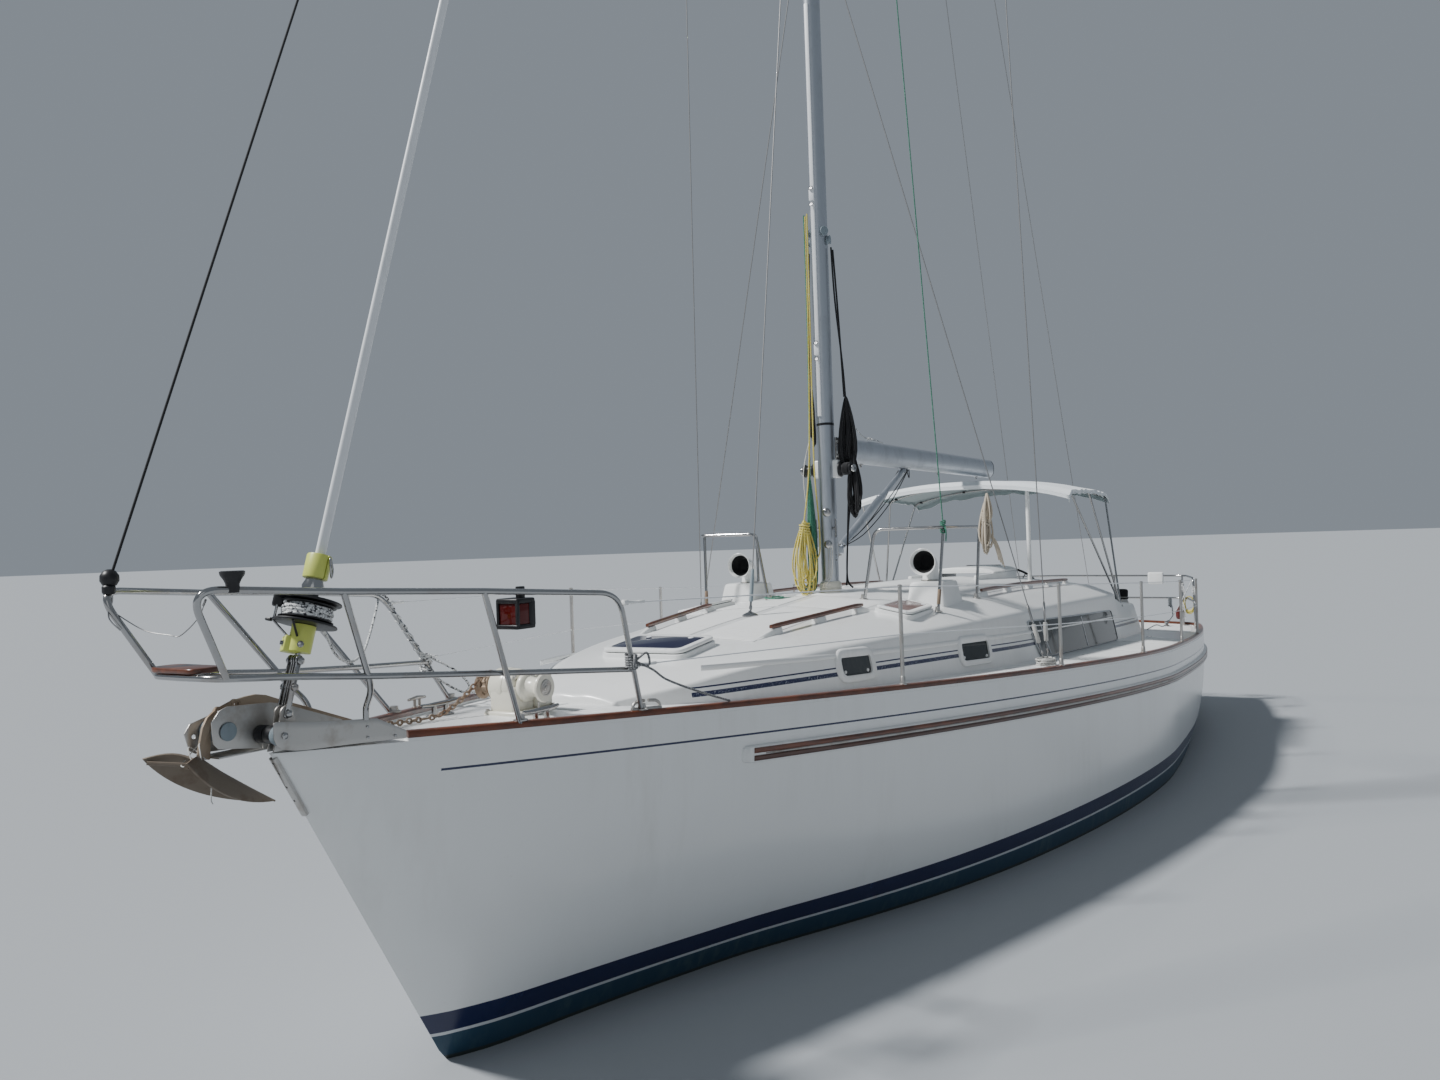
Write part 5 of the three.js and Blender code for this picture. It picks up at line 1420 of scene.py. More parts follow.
def portlight_knobs(outline):
    """Two small round knobs at the portlight's lower corners."""
    knobs = []
    low = sorted(outline, key=lambda p: p[1])[:2]
    middle = sum(p[0] for p in low) / 2
    for x, z in low:
        x += 0.035 * (1 if x < middle else -1)
        y = wall_y(x, z + 0.018)
        knobs.append(turned([(0.006, -0.012), (0.011, -0.004), (0.011, 0.002), (0.007, 0.006)],
                            (x, y - 0.004, z + 0.018), TO_PORT, 16))
    return merged(knobs)


# Wooden rails


class BuildRails(bpy.types.Operator):
    """Varnished toe rail round the deck and the rub rails on the topsides."""
    bl_idname = "yacht.rails"
    bl_label = "Wooden rails"

    def execute(self, context):
        fit(toe_rail(RAIL_WOOD), "toe_rail_wood", "teak", replaces=["toe_rail"])
        fit(toe_rail(RAIL_FOOT), "toe_rail_foot", "gelcoat")
        fit_pair(rub_batten(0.021, 0.029), "rub_batten_top", "teak", ["rub_rail"])
        fit_pair(rub_batten(-0.021, 0.029), "rub_batten_low", "wood_dark")
        fit_pair(rub_strip(), "rub_strip", "brushed")
        fit_pair(rub_base(), "rub_base", "gelcoat")
        return {"FINISHED"}


RAIL_START = 6.2
QUARTER_R = 0.16
RUB = {"fore": 4.42, "aft": -6.38, "drop": 0.29, "height": 0.084, "proud": 0.038}


def edge_route():
    """Plan route of the toe rail's middle, from the bow to the middle of the stern, port side."""
    inset = sizes().rail_width / 2 + 0.001
    made = []
    steps = 90
    for i in range(steps + 1):
        x = RAIL_START + (STERN_X + inset + QUARTER_R - RAIL_START) * i / steps
        made.append((x, half_breadth(x) - inset))
    b = half_breadth(STERN_X) - inset
    for deg in range(10, 91, 10):
        a = math.radians(deg)
        made.append((STERN_X + inset + QUARTER_R * (1 - math.sin(a)), b - QUARTER_R * (1 - math.cos(a))))
    return made + [(STERN_X + inset, b * t) for t in (0.66, 0.33)]


# Section of the rail's wood and of the white foot under it: share of the width, and height above the deck
RAIL_WOOD = ((0.5, 0.014), (0.5, 0.032), (0.46, 0.04), (0.34, 0.044), (0.12, 0.045), (-0.12, 0.045),
             (-0.34, 0.044), (-0.46, 0.04), (-0.5, 0.032), (-0.5, 0.014))
RAIL_FOOT = ((0.47, -0.003), (0.47, 0.0135), (-0.47, 0.0135), (-0.47, -0.003))


def toe_rail(shape):
    half = edge_route()
    middle = (half[-1][0], 0)
    route = half + [middle] + [(x, -y) for x, y in reversed(half)]
    width = sizes().rail_width
    rings = []
    for i, (x, y) in enumerate(route):
        (ax, ay), (bx, by) = route[max(i - 1, 0)], route[min(i + 1, len(route) - 1)]
        along = Vector((bx - ax, by - ay, 0)).normalized()
        side = Vector((-along.y, along.x, 0))
        foot = Vector((x, y, deck_z(x, abs(y))))
        rings.append([foot + side * width * a + Vector((0, 0, b)) for a, b in shape])
    return smooth(loft(rings), 50)


def rub_ring(x, offsets):
    """Points round the rub rail's section at x, as height from its middle and distance from the hull."""
    z = sheer(x) - RUB["drop"]
    return [(x, side_at(x, z + up) + out, z + up) for up, out in offsets]


def rub_xs(fore=RUB["fore"], aft=RUB["aft"], steps=80):
    return [fore + (aft - fore) * i / steps for i in range(steps + 1)]


def rub_batten(middle, height):
    """One of the two wooden battens, with rounded edges."""
    half = height / 2
    out = RUB["proud"]
    shape = [(middle - half, 0.004), (middle - half, out - 0.007), (middle - half + 0.005, out - 0.001),
             (middle + half - 0.005, out - 0.001), (middle + half, out - 0.007), (middle + half, 0.004)]
    return smooth(loft([rub_ring(x, shape) for x in rub_xs(RUB["fore"] - 0.02)]), 50)


def rub_strip():
    """Half-round steel strip between the battens, tapered at its front end."""
    rings = []
    out = RUB["proud"]
    for i, x in enumerate(rub_xs(RUB["fore"] - 0.1, RUB["aft"] + 0.03)):
        k = min(1, 0.35 + i * 0.22)
        shape = [(0.011 * k * math.sin(a), out - 0.0115 + 0.011 * k * math.cos(a))
                 for a in [math.radians(d) for d in range(0, 360, 36)]]
        rings.append(rub_ring(x, shape))
    return smooth(loft(rings), 60)


def rub_base():
    """White moulding behind the battens, tapering into the topsides at its front end."""
    rings = []
    xs = [RUB["fore"] + 0.035, RUB["fore"] + 0.03, RUB["fore"] + 0.015,
          RUB["fore"] - 0.005] + rub_xs(RUB["fore"] - 0.03)
    for i, x in enumerate(xs):
        out = (0.002, 0.014, 0.024, 0.028)[min(i, 3)]
        half = (0.022, 0.034, 0.042, 0.045)[min(i, 3)]
        rings.append(rub_ring(x, [(-half, -0.004), (-half, out * 0.6), (-half * 0.9, out), (half * 0.9, out),
                                  (half, out * 0.6), (half, -0.004)]))
    return smooth(loft(rings), 50)


# Stemhead, anchor, chain and windlass


class BuildStemhead(bpy.types.Operator):
    """Steel bow fitting with its cheeks and rollers."""
    bl_idname = "yacht.stemhead"
    bl_label = "Stemhead"

    def execute(self, context):
        fit(bow_fitting(), "bow_fitting", "brushed", replaces=["stemhead"])
        fit(bow_rollers(), "bow_rollers", "grey_rubber")
        fit(bow_axle_black_tubes(), "bow_axle_black_tubes", "black")
        fit(bow_pins(), "bow_pins", "steel")
        return {"FINISHED"}


# The bow fitting: y and thickness of its three cheeks, its two rollers, and the height of its base
CHEEKS = {"port": 0.066, "mid": -0.08, "stbd": -0.2, "thick": 0.006}
PORT_ROLLER = {"x": 6.714, "z": 1.667, "r": 0.042}
ANCHOR_ROLLER = {"x": 6.862, "z": 1.7, "r": 0.043}
BASE_Z = 1.597


def port_cheek():
    """The port cheek: bolted along the hull's side, bent to run straight ahead, cut to a point aft."""
    aft = [((6.222, 0.226), 1.584, 1.618), ((6.34, 0.179), 1.588, 1.685), ((6.48, 0.123), 1.591, 1.694),
           ((6.607, 0.072), 1.592, 1.705)]
    front = [((6.66, CHEEKS["port"]), 1.598, 1.714), ((6.72, CHEEKS["port"]), 1.612, 1.723),
             ((6.748, CHEEKS["port"]), 1.63, 1.727), ((6.762, CHEEKS["port"]), 1.66, 1.722)]
    rows = aft + front
    obj = skin([[(x, y, low + (high - low) * k / 4) for (x, y), low, high in rows] for k in range(5)])
    modify(obj, "SOLIDIFY", thickness=CHEEKS["thick"], offset=0)
    in_edit(obj, face_out)
    return bevel(obj, 0.0015, 2, 50)


def bow_fitting():
    t = CHEEKS["thick"]
    mid = plate(((6.26, 1.607), (6.3, 1.66), (6.6, 1.772), (6.66, 1.785), (6.86, 1.797), (6.895, 1.785),
                 (6.93, 1.745), (6.925, 1.66), (6.905, 1.637), (6.7, 1.607)), CHEEKS["mid"] - t / 2,
                CHEEKS["mid"] + t / 2)
    stbd = plate(((6.26, 1.607), (6.3, 1.65), (6.62, 1.74), (6.86, 1.755), (6.94, 1.735), (6.965, 1.7),
                  (6.945, 1.63), (6.92, 1.615), (6.7, 1.603)), CHEEKS["stbd"] - t / 2, CHEEKS["stbd"] + t / 2)
    floor = outline_face([(6.26, -0.2, BASE_Z), (6.9, -0.2, BASE_Z), (6.9, -0.082, BASE_Z),
                          (6.64, -0.078, BASE_Z), (6.62, 0.06, BASE_Z), (6.34, 0.17, BASE_Z),
                          (6.23, 0.21, BASE_Z)])
    bevel(drawn_out(floor, (0, 0, 0.008)), 0.002)
    tang = joined([tang_ear(-0.0215), tang_ear(0.0125)])
    eye = rod((6.66, -0.03, 1.742), (6.66, 0.03, 1.742), 0.011)
    web = plate(((6.56, 1.606), (6.72, 1.606), (6.72, 1.66), (6.68, 1.7), (6.56, 1.65)), -0.06, -0.054)
    holes = [turned([(0.009, -0.05), (0.009, 0.05)], (6.925, CHEEKS["stbd"], 1.683), TO_PORT, 16)]
    cut(stbd, *holes)
    return merged([port_cheek(), mid, stbd, floor, tang, eye, web])


def tang_ear(y):
    """One of the two rounded ears that the forestay's links are pinned between."""
    rim = [(6.6, 1.6), (6.73, 1.6), (6.692, 1.74)]
    rim += [(6.66 + 0.033 * math.cos(math.radians(a)), 1.745 + 0.033 * math.sin(math.radians(a)))
            for a in range(0, 181, 20)]
    return plate(rim + [(6.628, 1.74)], y, y + 0.009, 0.002)


def bow_rollers():
    """The port roller's grooved end and the waisted anchor roller."""
    r, x, z = PORT_ROLLER["r"], PORT_ROLLER["x"], PORT_ROLLER["z"]
    port_end = turned([(r * 0.9, 0), (r, 0.004), (r, 0.024), (r * 0.92, 0.034), (r * 0.75, 0.038)],
                      (x, 0.058, z), (0, -1, 0), 32)
    r2, x2, z2 = ANCHOR_ROLLER["r"], ANCHOR_ROLLER["x"], ANCHOR_ROLLER["z"]
    waist = turned([(r2, 0), (r2, 0.02), (r2 * 0.62, 0.045), (r2 * 0.62, 0.062), (r2, 0.088), (r2, 0.106)],
                   (x2, CHEEKS["mid"] - 0.007, z2), (0, -1, 0), 32)
    disc = turned([(0.01, 0), (0.034, 0.001), (0.037, 0.004), (0.034, 0.008), (0.012, 0.01)],
                  (x2, CHEEKS["mid"] + 0.0062, z2), TO_PORT, 32)
    return merged([port_end, waist, disc])


def bow_axle_black_tubes():
    """Two black tubes round the port axle, with the gap between them."""
    r, x, z = PORT_ROLLER["r"] * 0.86, PORT_ROLLER["x"], PORT_ROLLER["z"]
    a = turned([(r, 0), (r, 0.042), (r * 0.93, 0.045)], (x, 0.019, z), (0, -1, 0), 32)
    b = turned([(r * 0.93, 0), (r, 0.003), (r, 0.043)], (x, -0.031, z), (0, -1, 0), 32)
    return merged([a, b])


def bow_pins():
    """The rollers' bolts with their heads, and the cheek's fixings."""
    head = [(0.014, 0), (0.014, 0.006), (0.011, 0.009), (0.004, 0.01)]
    pins = [turned(head, (PORT_ROLLER["x"], CHEEKS["port"] + 0.003, PORT_ROLLER["z"]), TO_PORT, 20),
            rod((PORT_ROLLER["x"], CHEEKS["port"] - 0.006, PORT_ROLLER["z"]),
                (PORT_ROLLER["x"], CHEEKS["mid"], PORT_ROLLER["z"]), 0.012),
            rod((ANCHOR_ROLLER["x"], CHEEKS["mid"] + 0.01, ANCHOR_ROLLER["z"]),
                (ANCHOR_ROLLER["x"], CHEEKS["stbd"] - 0.01, ANCHOR_ROLLER["z"]), 0.01)]
    for x, y, z in ((6.27, 0.213, 1.602), (6.38, 0.17, 1.61), (6.38, 0.17, 1.655)):
        pins.append(turned([(0.0055, 0), (0.0055, 0.002), (0.003, 0.0035)], (x, y, z), (0.37, 0.93, 0), 12))
    return merged(pins)


class BuildAnchor(bpy.types.Operator):
    """Plough anchor in its roller, with its lashing, and the chain to the windlass."""
    bl_idname = "yacht.anchor"
    bl_label = "Anchor and chain"

    def execute(self, context):
        fit(anchor(), "plough_anchor", "anchor_grey", replaces=["anchor"])
        fit(smooth(fluke_blades(), 40), "anchor_fluke", "fluke")
        lashing = tubes([curved(route) for route in LASHING], 0.0025, 1)
        fit(lashing, "anchor_lashing", "rope_white")
        fit(chain(), "chain", "rusty", replaces=["anchor_chain"])
        return {"FINISHED"}


ANCHOR_Y = -0.14
# Side view of the shank: its upper line from the aft end, then its lower line back, as x and z
SHANK = ((6.19, 1.64), (6.352, 1.702), (6.47, 1.747), (6.565, 1.782), (6.637, 1.811), (6.684, 1.82),
         (6.731, 1.818), (6.8, 1.808), (6.868, 1.786), (6.908, 1.758), (6.93, 1.72), (6.942, 1.67),
         (6.955, 1.605), (6.9, 1.592), (6.895, 1.65), (6.893, 1.7), (6.882, 1.735), (6.855, 1.752),
         (6.825, 1.758), (6.756, 1.766), (6.7, 1.768), (6.62, 1.752), (6.517, 1.722), (6.35, 1.668),
         (6.19, 1.612))
FLUKE = {"neck": (6.955, 1.598), "tip": (6.606, 1.367), "corner": (7.09, 1.622), "half": 0.135}
LASHING = (
    ((6.99, -0.06, 1.612), (6.97, -0.1, 1.66), (6.93, -0.16, 1.655), (6.95, -0.2, 1.61), (7.0, -0.17, 1.585),
     (7.01, -0.1, 1.592), (6.99, -0.06, 1.612)),
    ((6.99, -0.08, 1.612), (6.98, -0.06, 1.57), (6.96, -0.05, 1.52), (6.965, -0.045, 1.46),
     (6.955, -0.05, 1.44)),
    ((7.0, -0.1, 1.6), (6.99, -0.14, 1.65), (6.94, -0.18, 1.64), (6.93, -0.12, 1.6)),
)


def anchor():
    t = 0.014
    shank = plate(SHANK, ANCHOR_Y - t / 2, ANCHOR_Y + t / 2, 0.004)
    slots = []
    for x, z in ((6.851, 1.775), (6.776, 1.795)):
        slots += [turned([(0.009, -0.03), (0.009, 0.03)], (x + k * 0.009, ANCHOR_Y, z - k * 0.002), TO_PORT,
                         16)
                  for k in (-1, 1)]
    cut(shank, *slots)
    eyes = ((6.856, 1.774), (6.78, 1.794))
    rims = joined([turned([(0.016, -0.011), (0.02, -0.008), (0.02, 0.008), (0.016, 0.011)],
                          (x, ANCHOR_Y, z), TO_PORT, 20)
                   for x, z in eyes])
    cut(rims, *[turned([(0.011, -0.03), (0.011, 0.03)], (x, ANCHOR_Y, z), TO_PORT, 16) for x, z in eyes])
    return merged([shank, rims])


def fluke_blades():
    """Two hollow blades that meet on a ridge, with a rolled rear edge on each."""
    neck, tip, corner = [Vector((x, 0, z)) for x, z in (FLUKE["neck"], FLUKE["tip"], FLUKE["corner"])]
    rows = []
    steps = 18
    for i in range(steps + 1):
        s = i / steps
        ridge = neck.lerp(tip, s)
        edge = corner * (1 - s) ** 2 + Vector((6.93, 0, 1.415)) * 2 * s * (1 - s) + tip * s * s
        width = FLUKE["half"] * (1 - s ** 1.7)
        row = []
        for k in range(-8, 9):
            u = abs(k) / 8
            p = ridge.lerp(edge, u ** 1.25)
            dip = 0.022 * math.sin(math.pi * u) * (1 - s)
            row.append((p.x - dip * 0.3, ANCHOR_Y + width * math.copysign(u ** 0.85, k), p.z + dip))
        rows.append(row)
    blades = skin(rows)
    modify(blades, "SOLIDIFY", thickness=0.008, offset=0)
    in_edit(blades, weld, face_out)
    bevel(blades, 0.0025, 2, 50)
    rolled = []
    for sign in (1, -1):
        route = [(FLUKE["neck"][0] + 0.012 + (FLUKE["corner"][0] - FLUKE["neck"][0] - 0.02) * u,
                  ANCHOR_Y + sign * (0.02 + (FLUKE["half"] - 0.035) * u), 1.583 + 0.022 * u)
                 for u in (0, 0.25, 0.5, 0.75, 1)]
        rolled.append(tubes([curved(route)], 0.008, 2))
    return joined([blades, *rolled])


CHAIN_ROUTE = ((6.2, -0.14, 1.632), (6.12, -0.14, 1.604), (6.0, -0.14, 1.586), (5.85, -0.142, 1.578),
               (5.7, -0.144, 1.572), (5.6, -0.147, 1.585), (5.5, -0.15, 1.622), (5.41, -0.155, 1.668),
               (5.34, -0.158, 1.714), (5.295, -0.16, 1.737), (5.25, -0.16, 1.738), (5.205, -0.16, 1.714),
               (5.19, -0.16, 1.67))
LINK = {"pitch": 0.03, "bar": 0.0048, "length": 0.043, "width": 0.032}


def chain():
    """Round-bar links along the chain's route, each turned a quarter from the last."""
    route = curved([Vector(p) for p in CHAIN_ROUTE], 10)
    spots = []
    left = 0.0
    for a, b in zip(route, route[1:]):
        span = (b - a).length
        while left <= span:
            spots.append((a.lerp(b, left / span), (b - a).normalized()))
            left += LINK["pitch"]
        left -= span
    pattern = chain_link()
    links = []
    for i, (place, along) in enumerate(spots):
        copy = pattern.copy()
        copy.data = pattern.data.copy()
        bpy.context.collection.objects.link(copy)
        turn = Vector((1, 0, 0)).rotation_difference(along).to_matrix().to_4x4()
        roll = Matrix.Rotation(math.radians(45 + 90 * (i % 2)), 4, "X")
        copy.data.transform(Matrix.Translation(place) @ turn @ roll)
        links.append(copy)
    bpy.data.objects.remove(pattern)
    return merged(links, 60)


def chain_link():
    """One link: a torus drawn out along X."""
    clear()
    half = LINK["width"] / 2 - LINK["bar"]
    bpy.ops.mesh.primitive_torus_add(major_radius=half, minor_radius=LINK["bar"], major_segments=12,
                                     minor_segments=6)
    link = added()
    reach = LINK["length"] / 2 - LINK["width"] / 2
    for v in link.data.vertices:
        v.co.x += math.copysign(reach, v.co.x) if abs(v.co.x) > 0.001 else 0
    return link


class BuildWindlass(bpy.types.Operator):
    """Anchor windlass: cream housing, chain wheel and rope drum."""
    bl_idname = "yacht.windlass"
    bl_label = "Windlass"

    def execute(self, context):
        fit(windlass_case(), "windlass_case", "cream", replaces=["windlass"])
        fit(windlass_drums(), "windlass_drums", "cream")
        fit(windlass_metal(), "windlass_metal", "brushed")
        fit(chain_wheel(), "chain_wheel", "rusty")
        return {"FINISHED"}


WINDLASS = {"x": 5.262, "z": 1.672, "deck": 1.533}


def windlass_case():
    """Rounded housing with a box behind it and a foot on a base."""
    x, z, deck = WINDLASS["x"], WINDLASS["z"], WINDLASS["deck"]
    drum_case = turned([(0.05, -0.105), (0.082, -0.1), (0.092, -0.085), (0.092, 0.035), (0.086, 0.05),
                        (0.07, 0.058)],
                       (x, 0, z), TO_PORT, 44)
    ring = turned([(0.06, -0.04), (0.094, -0.036), (0.0955, -0.028), (0.0955, -0.012), (0.094, -0.004),
                   (0.06, 0)],
                  (x, 0, z), TO_PORT, 44)
    box = block((5.065, -0.085, deck + 0.02), (5.2, 0.1, 1.735), 0.02, 4)
    foot = block((5.19, -0.088, deck + 0.01), (5.352, 0.078, 1.68), 0.022, 4)
    base = block((5.055, -0.105, deck - 0.004), (5.378, 0.115, deck + 0.024), 0.01, 3)
    return merged([drum_case, ring, box, foot, base], 35)


def windlass_drums():
    """The rope drum on the port side: inner flange, waist and outer disc."""
    x, z = WINDLASS["x"], WINDLASS["z"]
    drum = turned([(0.05, 0.05), (0.052, 0.07), (0.072, 0.076), (0.0755, 0.084), (0.0755, 0.096),
                   (0.071, 0.104), (0.056, 0.112), (0.05, 0.13), (0.049, 0.158), (0.055, 0.176),
                   (0.069, 0.19), (0.0735, 0.196), (0.0735, 0.204), (0.07, 0.209), (0.045, 0.21)],
                  (x, 0, z), TO_PORT, 52)
    return smooth(drum, 35)


def windlass_metal():
    """Chrome hub with its nut, bolts and the pin under the drum."""
    x, z, deck = WINDLASS["x"], WINDLASS["z"], WINDLASS["deck"]
    hub = turned([(0.042, 0.208), (0.042, 0.2135), (0.036, 0.2145), (0.033, 0.2115), (0.026, 0.212),
                  (0.024, 0.2145), (0.015, 0.215), (0.013, 0.2195), (0.004, 0.22)], (x, 0, z), TO_PORT, 40)
    parts = [hub]
    for dx, dz in ((0.052, -0.05), (0.052, 0.05), (-0.04, 0.058)):
        parts.append(turned([(0.013, 0.052), (0.013, 0.062), (0.008, 0.064)], (x + dx, 0, z + dz), TO_PORT,
                            6))
    parts.append(rod((x - 0.005, 0.155, deck + 0.03), (x - 0.005, 0.155, 1.6), 0.006, sides=12))
    parts.append(turned([(0.022, 0), (0.022, 0.008), (0.014, 0.02), (0.009, 0.024)],
                        (x - 0.005, 0.155, deck + 0.008),
                        sides=20))
    parts += [turned([(0.011, 0), (0.011, 0.008), (0.006, 0.01)], (bx, by, deck + 0.023), sides=6)
              for bx in (5.075, 5.362) for by in (-0.09, 0.1)]
    return merged(parts, 35)


def chain_wheel():
    """Wheel with pockets for the chain on the starboard side."""
    x, z = WINDLASS["x"], WINDLASS["z"]
    wheel = turned([(0.03, -0.105), (0.06, -0.108), (0.072, -0.118), (0.052, -0.145), (0.052, -0.172),
                    (0.072, -0.2), (0.06, -0.214), (0.03, -0.224)], (x, 0, z), TO_PORT, 40)
    pockets = []
    for k in range(6):
        a = math.radians(60 * k + 10)
        place = (x + 0.066 * math.cos(a), -0.159, z + 0.066 * math.sin(a))
        pocket = turned([(0.02, -0.018), (0.02, 0.018)], place, TO_PORT, 16)
        pockets.append(pocket)
    return smooth(cut(wheel, *pockets), 35)


# Pulpit


class BuildPulpit(bpy.types.Operator):
    """Steel pulpit with its wooden seat, navigation light and small fittings."""
    bl_idname = "yacht.pulpit"
    bl_label = "Pulpit"

    def execute(self, context):
        fit(pulpit_rails(), "pulpit_rails", "steel", replaces=["pulpit"])
        fit(seat(), "bow_seat", "teak", replaces=["pulpit_seat"])
        fit(pulpit_bases(), "pulpit_bases", "brushed")
        fit(rail_caps(), "rail_caps", "black")
        fit(light_case(), "light_case", "black")
        fit(light_lens(), "light_lens", "red_lens")
        fit(gate_wire(), "gate_wire", "wire")
        return {"FINISHED"}


PULPIT = {
    "top": ((7.062, 0.204, 1.941), (7.25, 0.272, 2.275), (6.692, 0.408, 2.235), (6.122, 0.6, 2.203),
            (5.4, 0.775, 2.152), (5.045, 0.64, 1.53)),
    "low": ((5.172, 0.688, 1.768), (5.823, 0.466, 1.822), (6.466, 0.28, 1.879), (6.8, 0.222, 1.917),
            (7.095, 0.205, 1.943), (7.105, 0, 1.943)),
    "fore": ((6.692, 0.408, 2.235), (6.432, 0.258, 1.825), (6.39, 0.172, 1.735)),
    "aft": ((6.122, 0.6, 2.203), (5.69, 0.405, 1.56)),
}
# The fore legs stand on the port cheek's edge and on the bow fitting's base
FORE_FEET = {"port": (6.385, 0.166, 1.686), "stbd": (6.382, 0.172, 1.605)}


def across(points):
    """A port route carried on over the centreline to starboard."""
    points = [Vector(p) for p in points]
    return points + [Vector((p.x, -p.y, p.z)) for p in reversed(points[:-1])]


def mirrored(points):
    return [Vector((p[0], -p[1], p[2])) for p in points]


def pulpit_rails():
    routes = [bent(across(PULPIT["low"]), 0.09, 10)]
    for name, sign in SIDES:
        turn = (lambda p: [Vector(v) for v in p]) if sign > 0 else mirrored
        routes.append(bent(turn(PULPIT["top"]), 0.12, 12))
        routes.append(bent(turn(PULPIT["fore"] + (FORE_FEET[name],)), 0.07, 8))
        routes.append(turn(PULPIT["aft"]))
    return tubes(routes, sizes().tube, 4)


def seat():
    """Varnished seat with rounded ends, laid on the front of the low rail."""
    rim = round_corners(((6.985, -0.19), (7.12, -0.19), (7.12, 0.1), (6.985, 0.1)), 0.062, 8)
    board = outline_face([(p.x, p.y, 1.957) for p in rim])
    return smooth(bevel(drawn_out(board, (0, 0, 0.021)), 0.007, 3), 40)


def pulpit_bases():
    """Round bases under the pulpit's feet."""
    bases = []
    for x, y in ((5.69, 0.405), (5.045, 0.64)):
        for sign in (1, -1):
            z = deck_z(x, y)
            z += 0.045 if y > half_breadth(x) - 0.06 else 0
            bases.append(turned([(0.034, 0), (0.034, 0.006), (0.022, 0.01), (0.019, 0.03)], (x, sign * y, z)))
    return merged(bases)


def rail_caps():
    """Black cup on the port rail and black ball on the starboard one."""
    cup = turned([(0.022, -0.045), (0.024, -0.03), (0.024, -0.014), (0.03, 0.0), (0.042, 0.018),
                  (0.044, 0.03), (0.038, 0.033)], (7.1, 0.308, 2.3))
    ball = turned([(0.008, -0.034), (0.024, -0.028), (0.034, -0.01), (0.033, 0.01), (0.022, 0.026),
                   (0.008, 0.033)],
                  (7.189, -0.284, 2.318))
    collar = turned([(0.02, -0.02), (0.024, -0.012), (0.024, 0.008), (0.018, 0.014)],
                    (7.198, -0.276, 2.278), sides=20)
    return merged([cup, ball, collar])


LIGHT = {"x": 5.84, "y": 0.53, "z": 2.09}


def light_case():
    x, y, z = LIGHT["x"], LIGHT["y"], LIGHT["z"]
    case = block((x - 0.062, y - 0.062, z - 0.06), (x - 0.02, y + 0.062, z + 0.06), 0.01, 4)
    arm = block((x - 0.05, y - 0.012, z + 0.05), (x - 0.01, y + 0.012, z + 0.118), 0.004)
    parts = [case, arm]
    for low, high in ((0.044, 0.068), (-0.068, -0.046)):
        parts.append(block((x - 0.058, y - 0.062, z + low), (x + 0.066, y + 0.062, z + high), 0.008, 3))
    for corner in (-0.062, 0.047):
        parts.append(block((x + 0.049, y + corner, z - 0.06), (x + 0.064, y + corner + 0.015, z + 0.06),
                           0.003))
    return merged(parts)


def light_lens():
    x, y, z = LIGHT["x"], LIGHT["y"], LIGHT["z"]
    return smooth(block((x - 0.035, y - 0.055, z - 0.055), (x + 0.058, y + 0.055, z + 0.05), 0.012, 4), 40)


def gate_wire():
    """Thin wire across the front of the pulpit, with the swage at its port end."""
    sag = [Vector((7.19, -0.262, 2.19)), Vector((7.14, -0.16, 2.12)), Vector((7.11, -0.05, 2.1)),
           Vector((7.1, 0.0, 2.098)),
           Vector((7.13, 0.15, 2.165)), Vector((7.175, 0.262, 2.235))]
    wire = tubes([curved(sag)], 0.0022, 1)
    back = sag[-2] - sag[-1]
    swage = rod(sag[-1] + back * 0.02, sag[-1] + back * 0.3, 0.0045, sides=10)
    return merged([wire, swage], 50)


# Furler and forestay


class BuildFurler(bpy.types.Operator):
    """Headsail furler: foil on the stay, drum with its line, collars, bracket and link plates."""
    bl_idname = "yacht.furler"
    bl_label = "Furler"

    def execute(self, context):
        fit(foil(), "stay_foil", "foil", "furler", ["furler"])
        fit(furler_collars(), "furler_collars", "lime", "furler")
        fit(furler_drum(), "furler_drum", "black", "furler")
        fit(furler_line(), "furler_line", "rope_fleck", "furler")
        fit(furler_cage(), "furler_bracket", "black", replaces=["furler_cage"])
        fit(furler_foot(), "furler_foot", "lime")
        fit(line_guard(), "line_guard", "gelcoat")
        fit(furler_links(), "furler_links", "steel")
        fit(furler_rings(), "furler_rings", "steel", "furler")
        return {"FINISHED"}


STAY_FOOT = Vector((6.64, 0, 1.79))
STAY_HEAD = Vector((1.425, 0, 18.12))
STAY_LINE = (STAY_HEAD - STAY_FOOT).normalized()


def on_stay(distance):
    return STAY_FOOT + STAY_LINE * distance


def stay_turned(profile, sides=32):
    """A turned piece round the forestay: radius and distance up the stay."""
    return turned(profile, STAY_FOOT, STAY_LINE, sides)


def foil():
    """Two-grooved foil on the stay."""
    shape = []
    for k in range(20):
        a = 2 * math.pi * k / 20
        groove = 0.82 if k in (9, 11) else 1
        shape.append((0.024 * math.cos(a) * groove, 0.0165 * math.sin(a) * groove))
    along = STAY_LINE
    side = Vector((0, 1, 0))
    fore = side.cross(along)
    rings = []
    for i in range(25):
        middle = on_stay(0.6 + (16.7 - 0.6) * i / 24)
        rings.append([middle + fore * a + side * b for a, b in shape])
    return smooth(loft(rings), 40)


def furler_collars():
    """Lime collar above the drum, with its slit."""
    collar = stay_turned([(0.044, 0.512), (0.05, 0.514), (0.0515, 0.52), (0.0515, 0.608), (0.049, 0.614),
                          (0.03, 0.615)], 40)
    slit = block((-0.006, 0.03, 0.505), (0.0, 0.08, 0.625), 0)
    return smooth(cut(collar, aim(slit, STAY_FOOT, STAY_LINE)), 40)


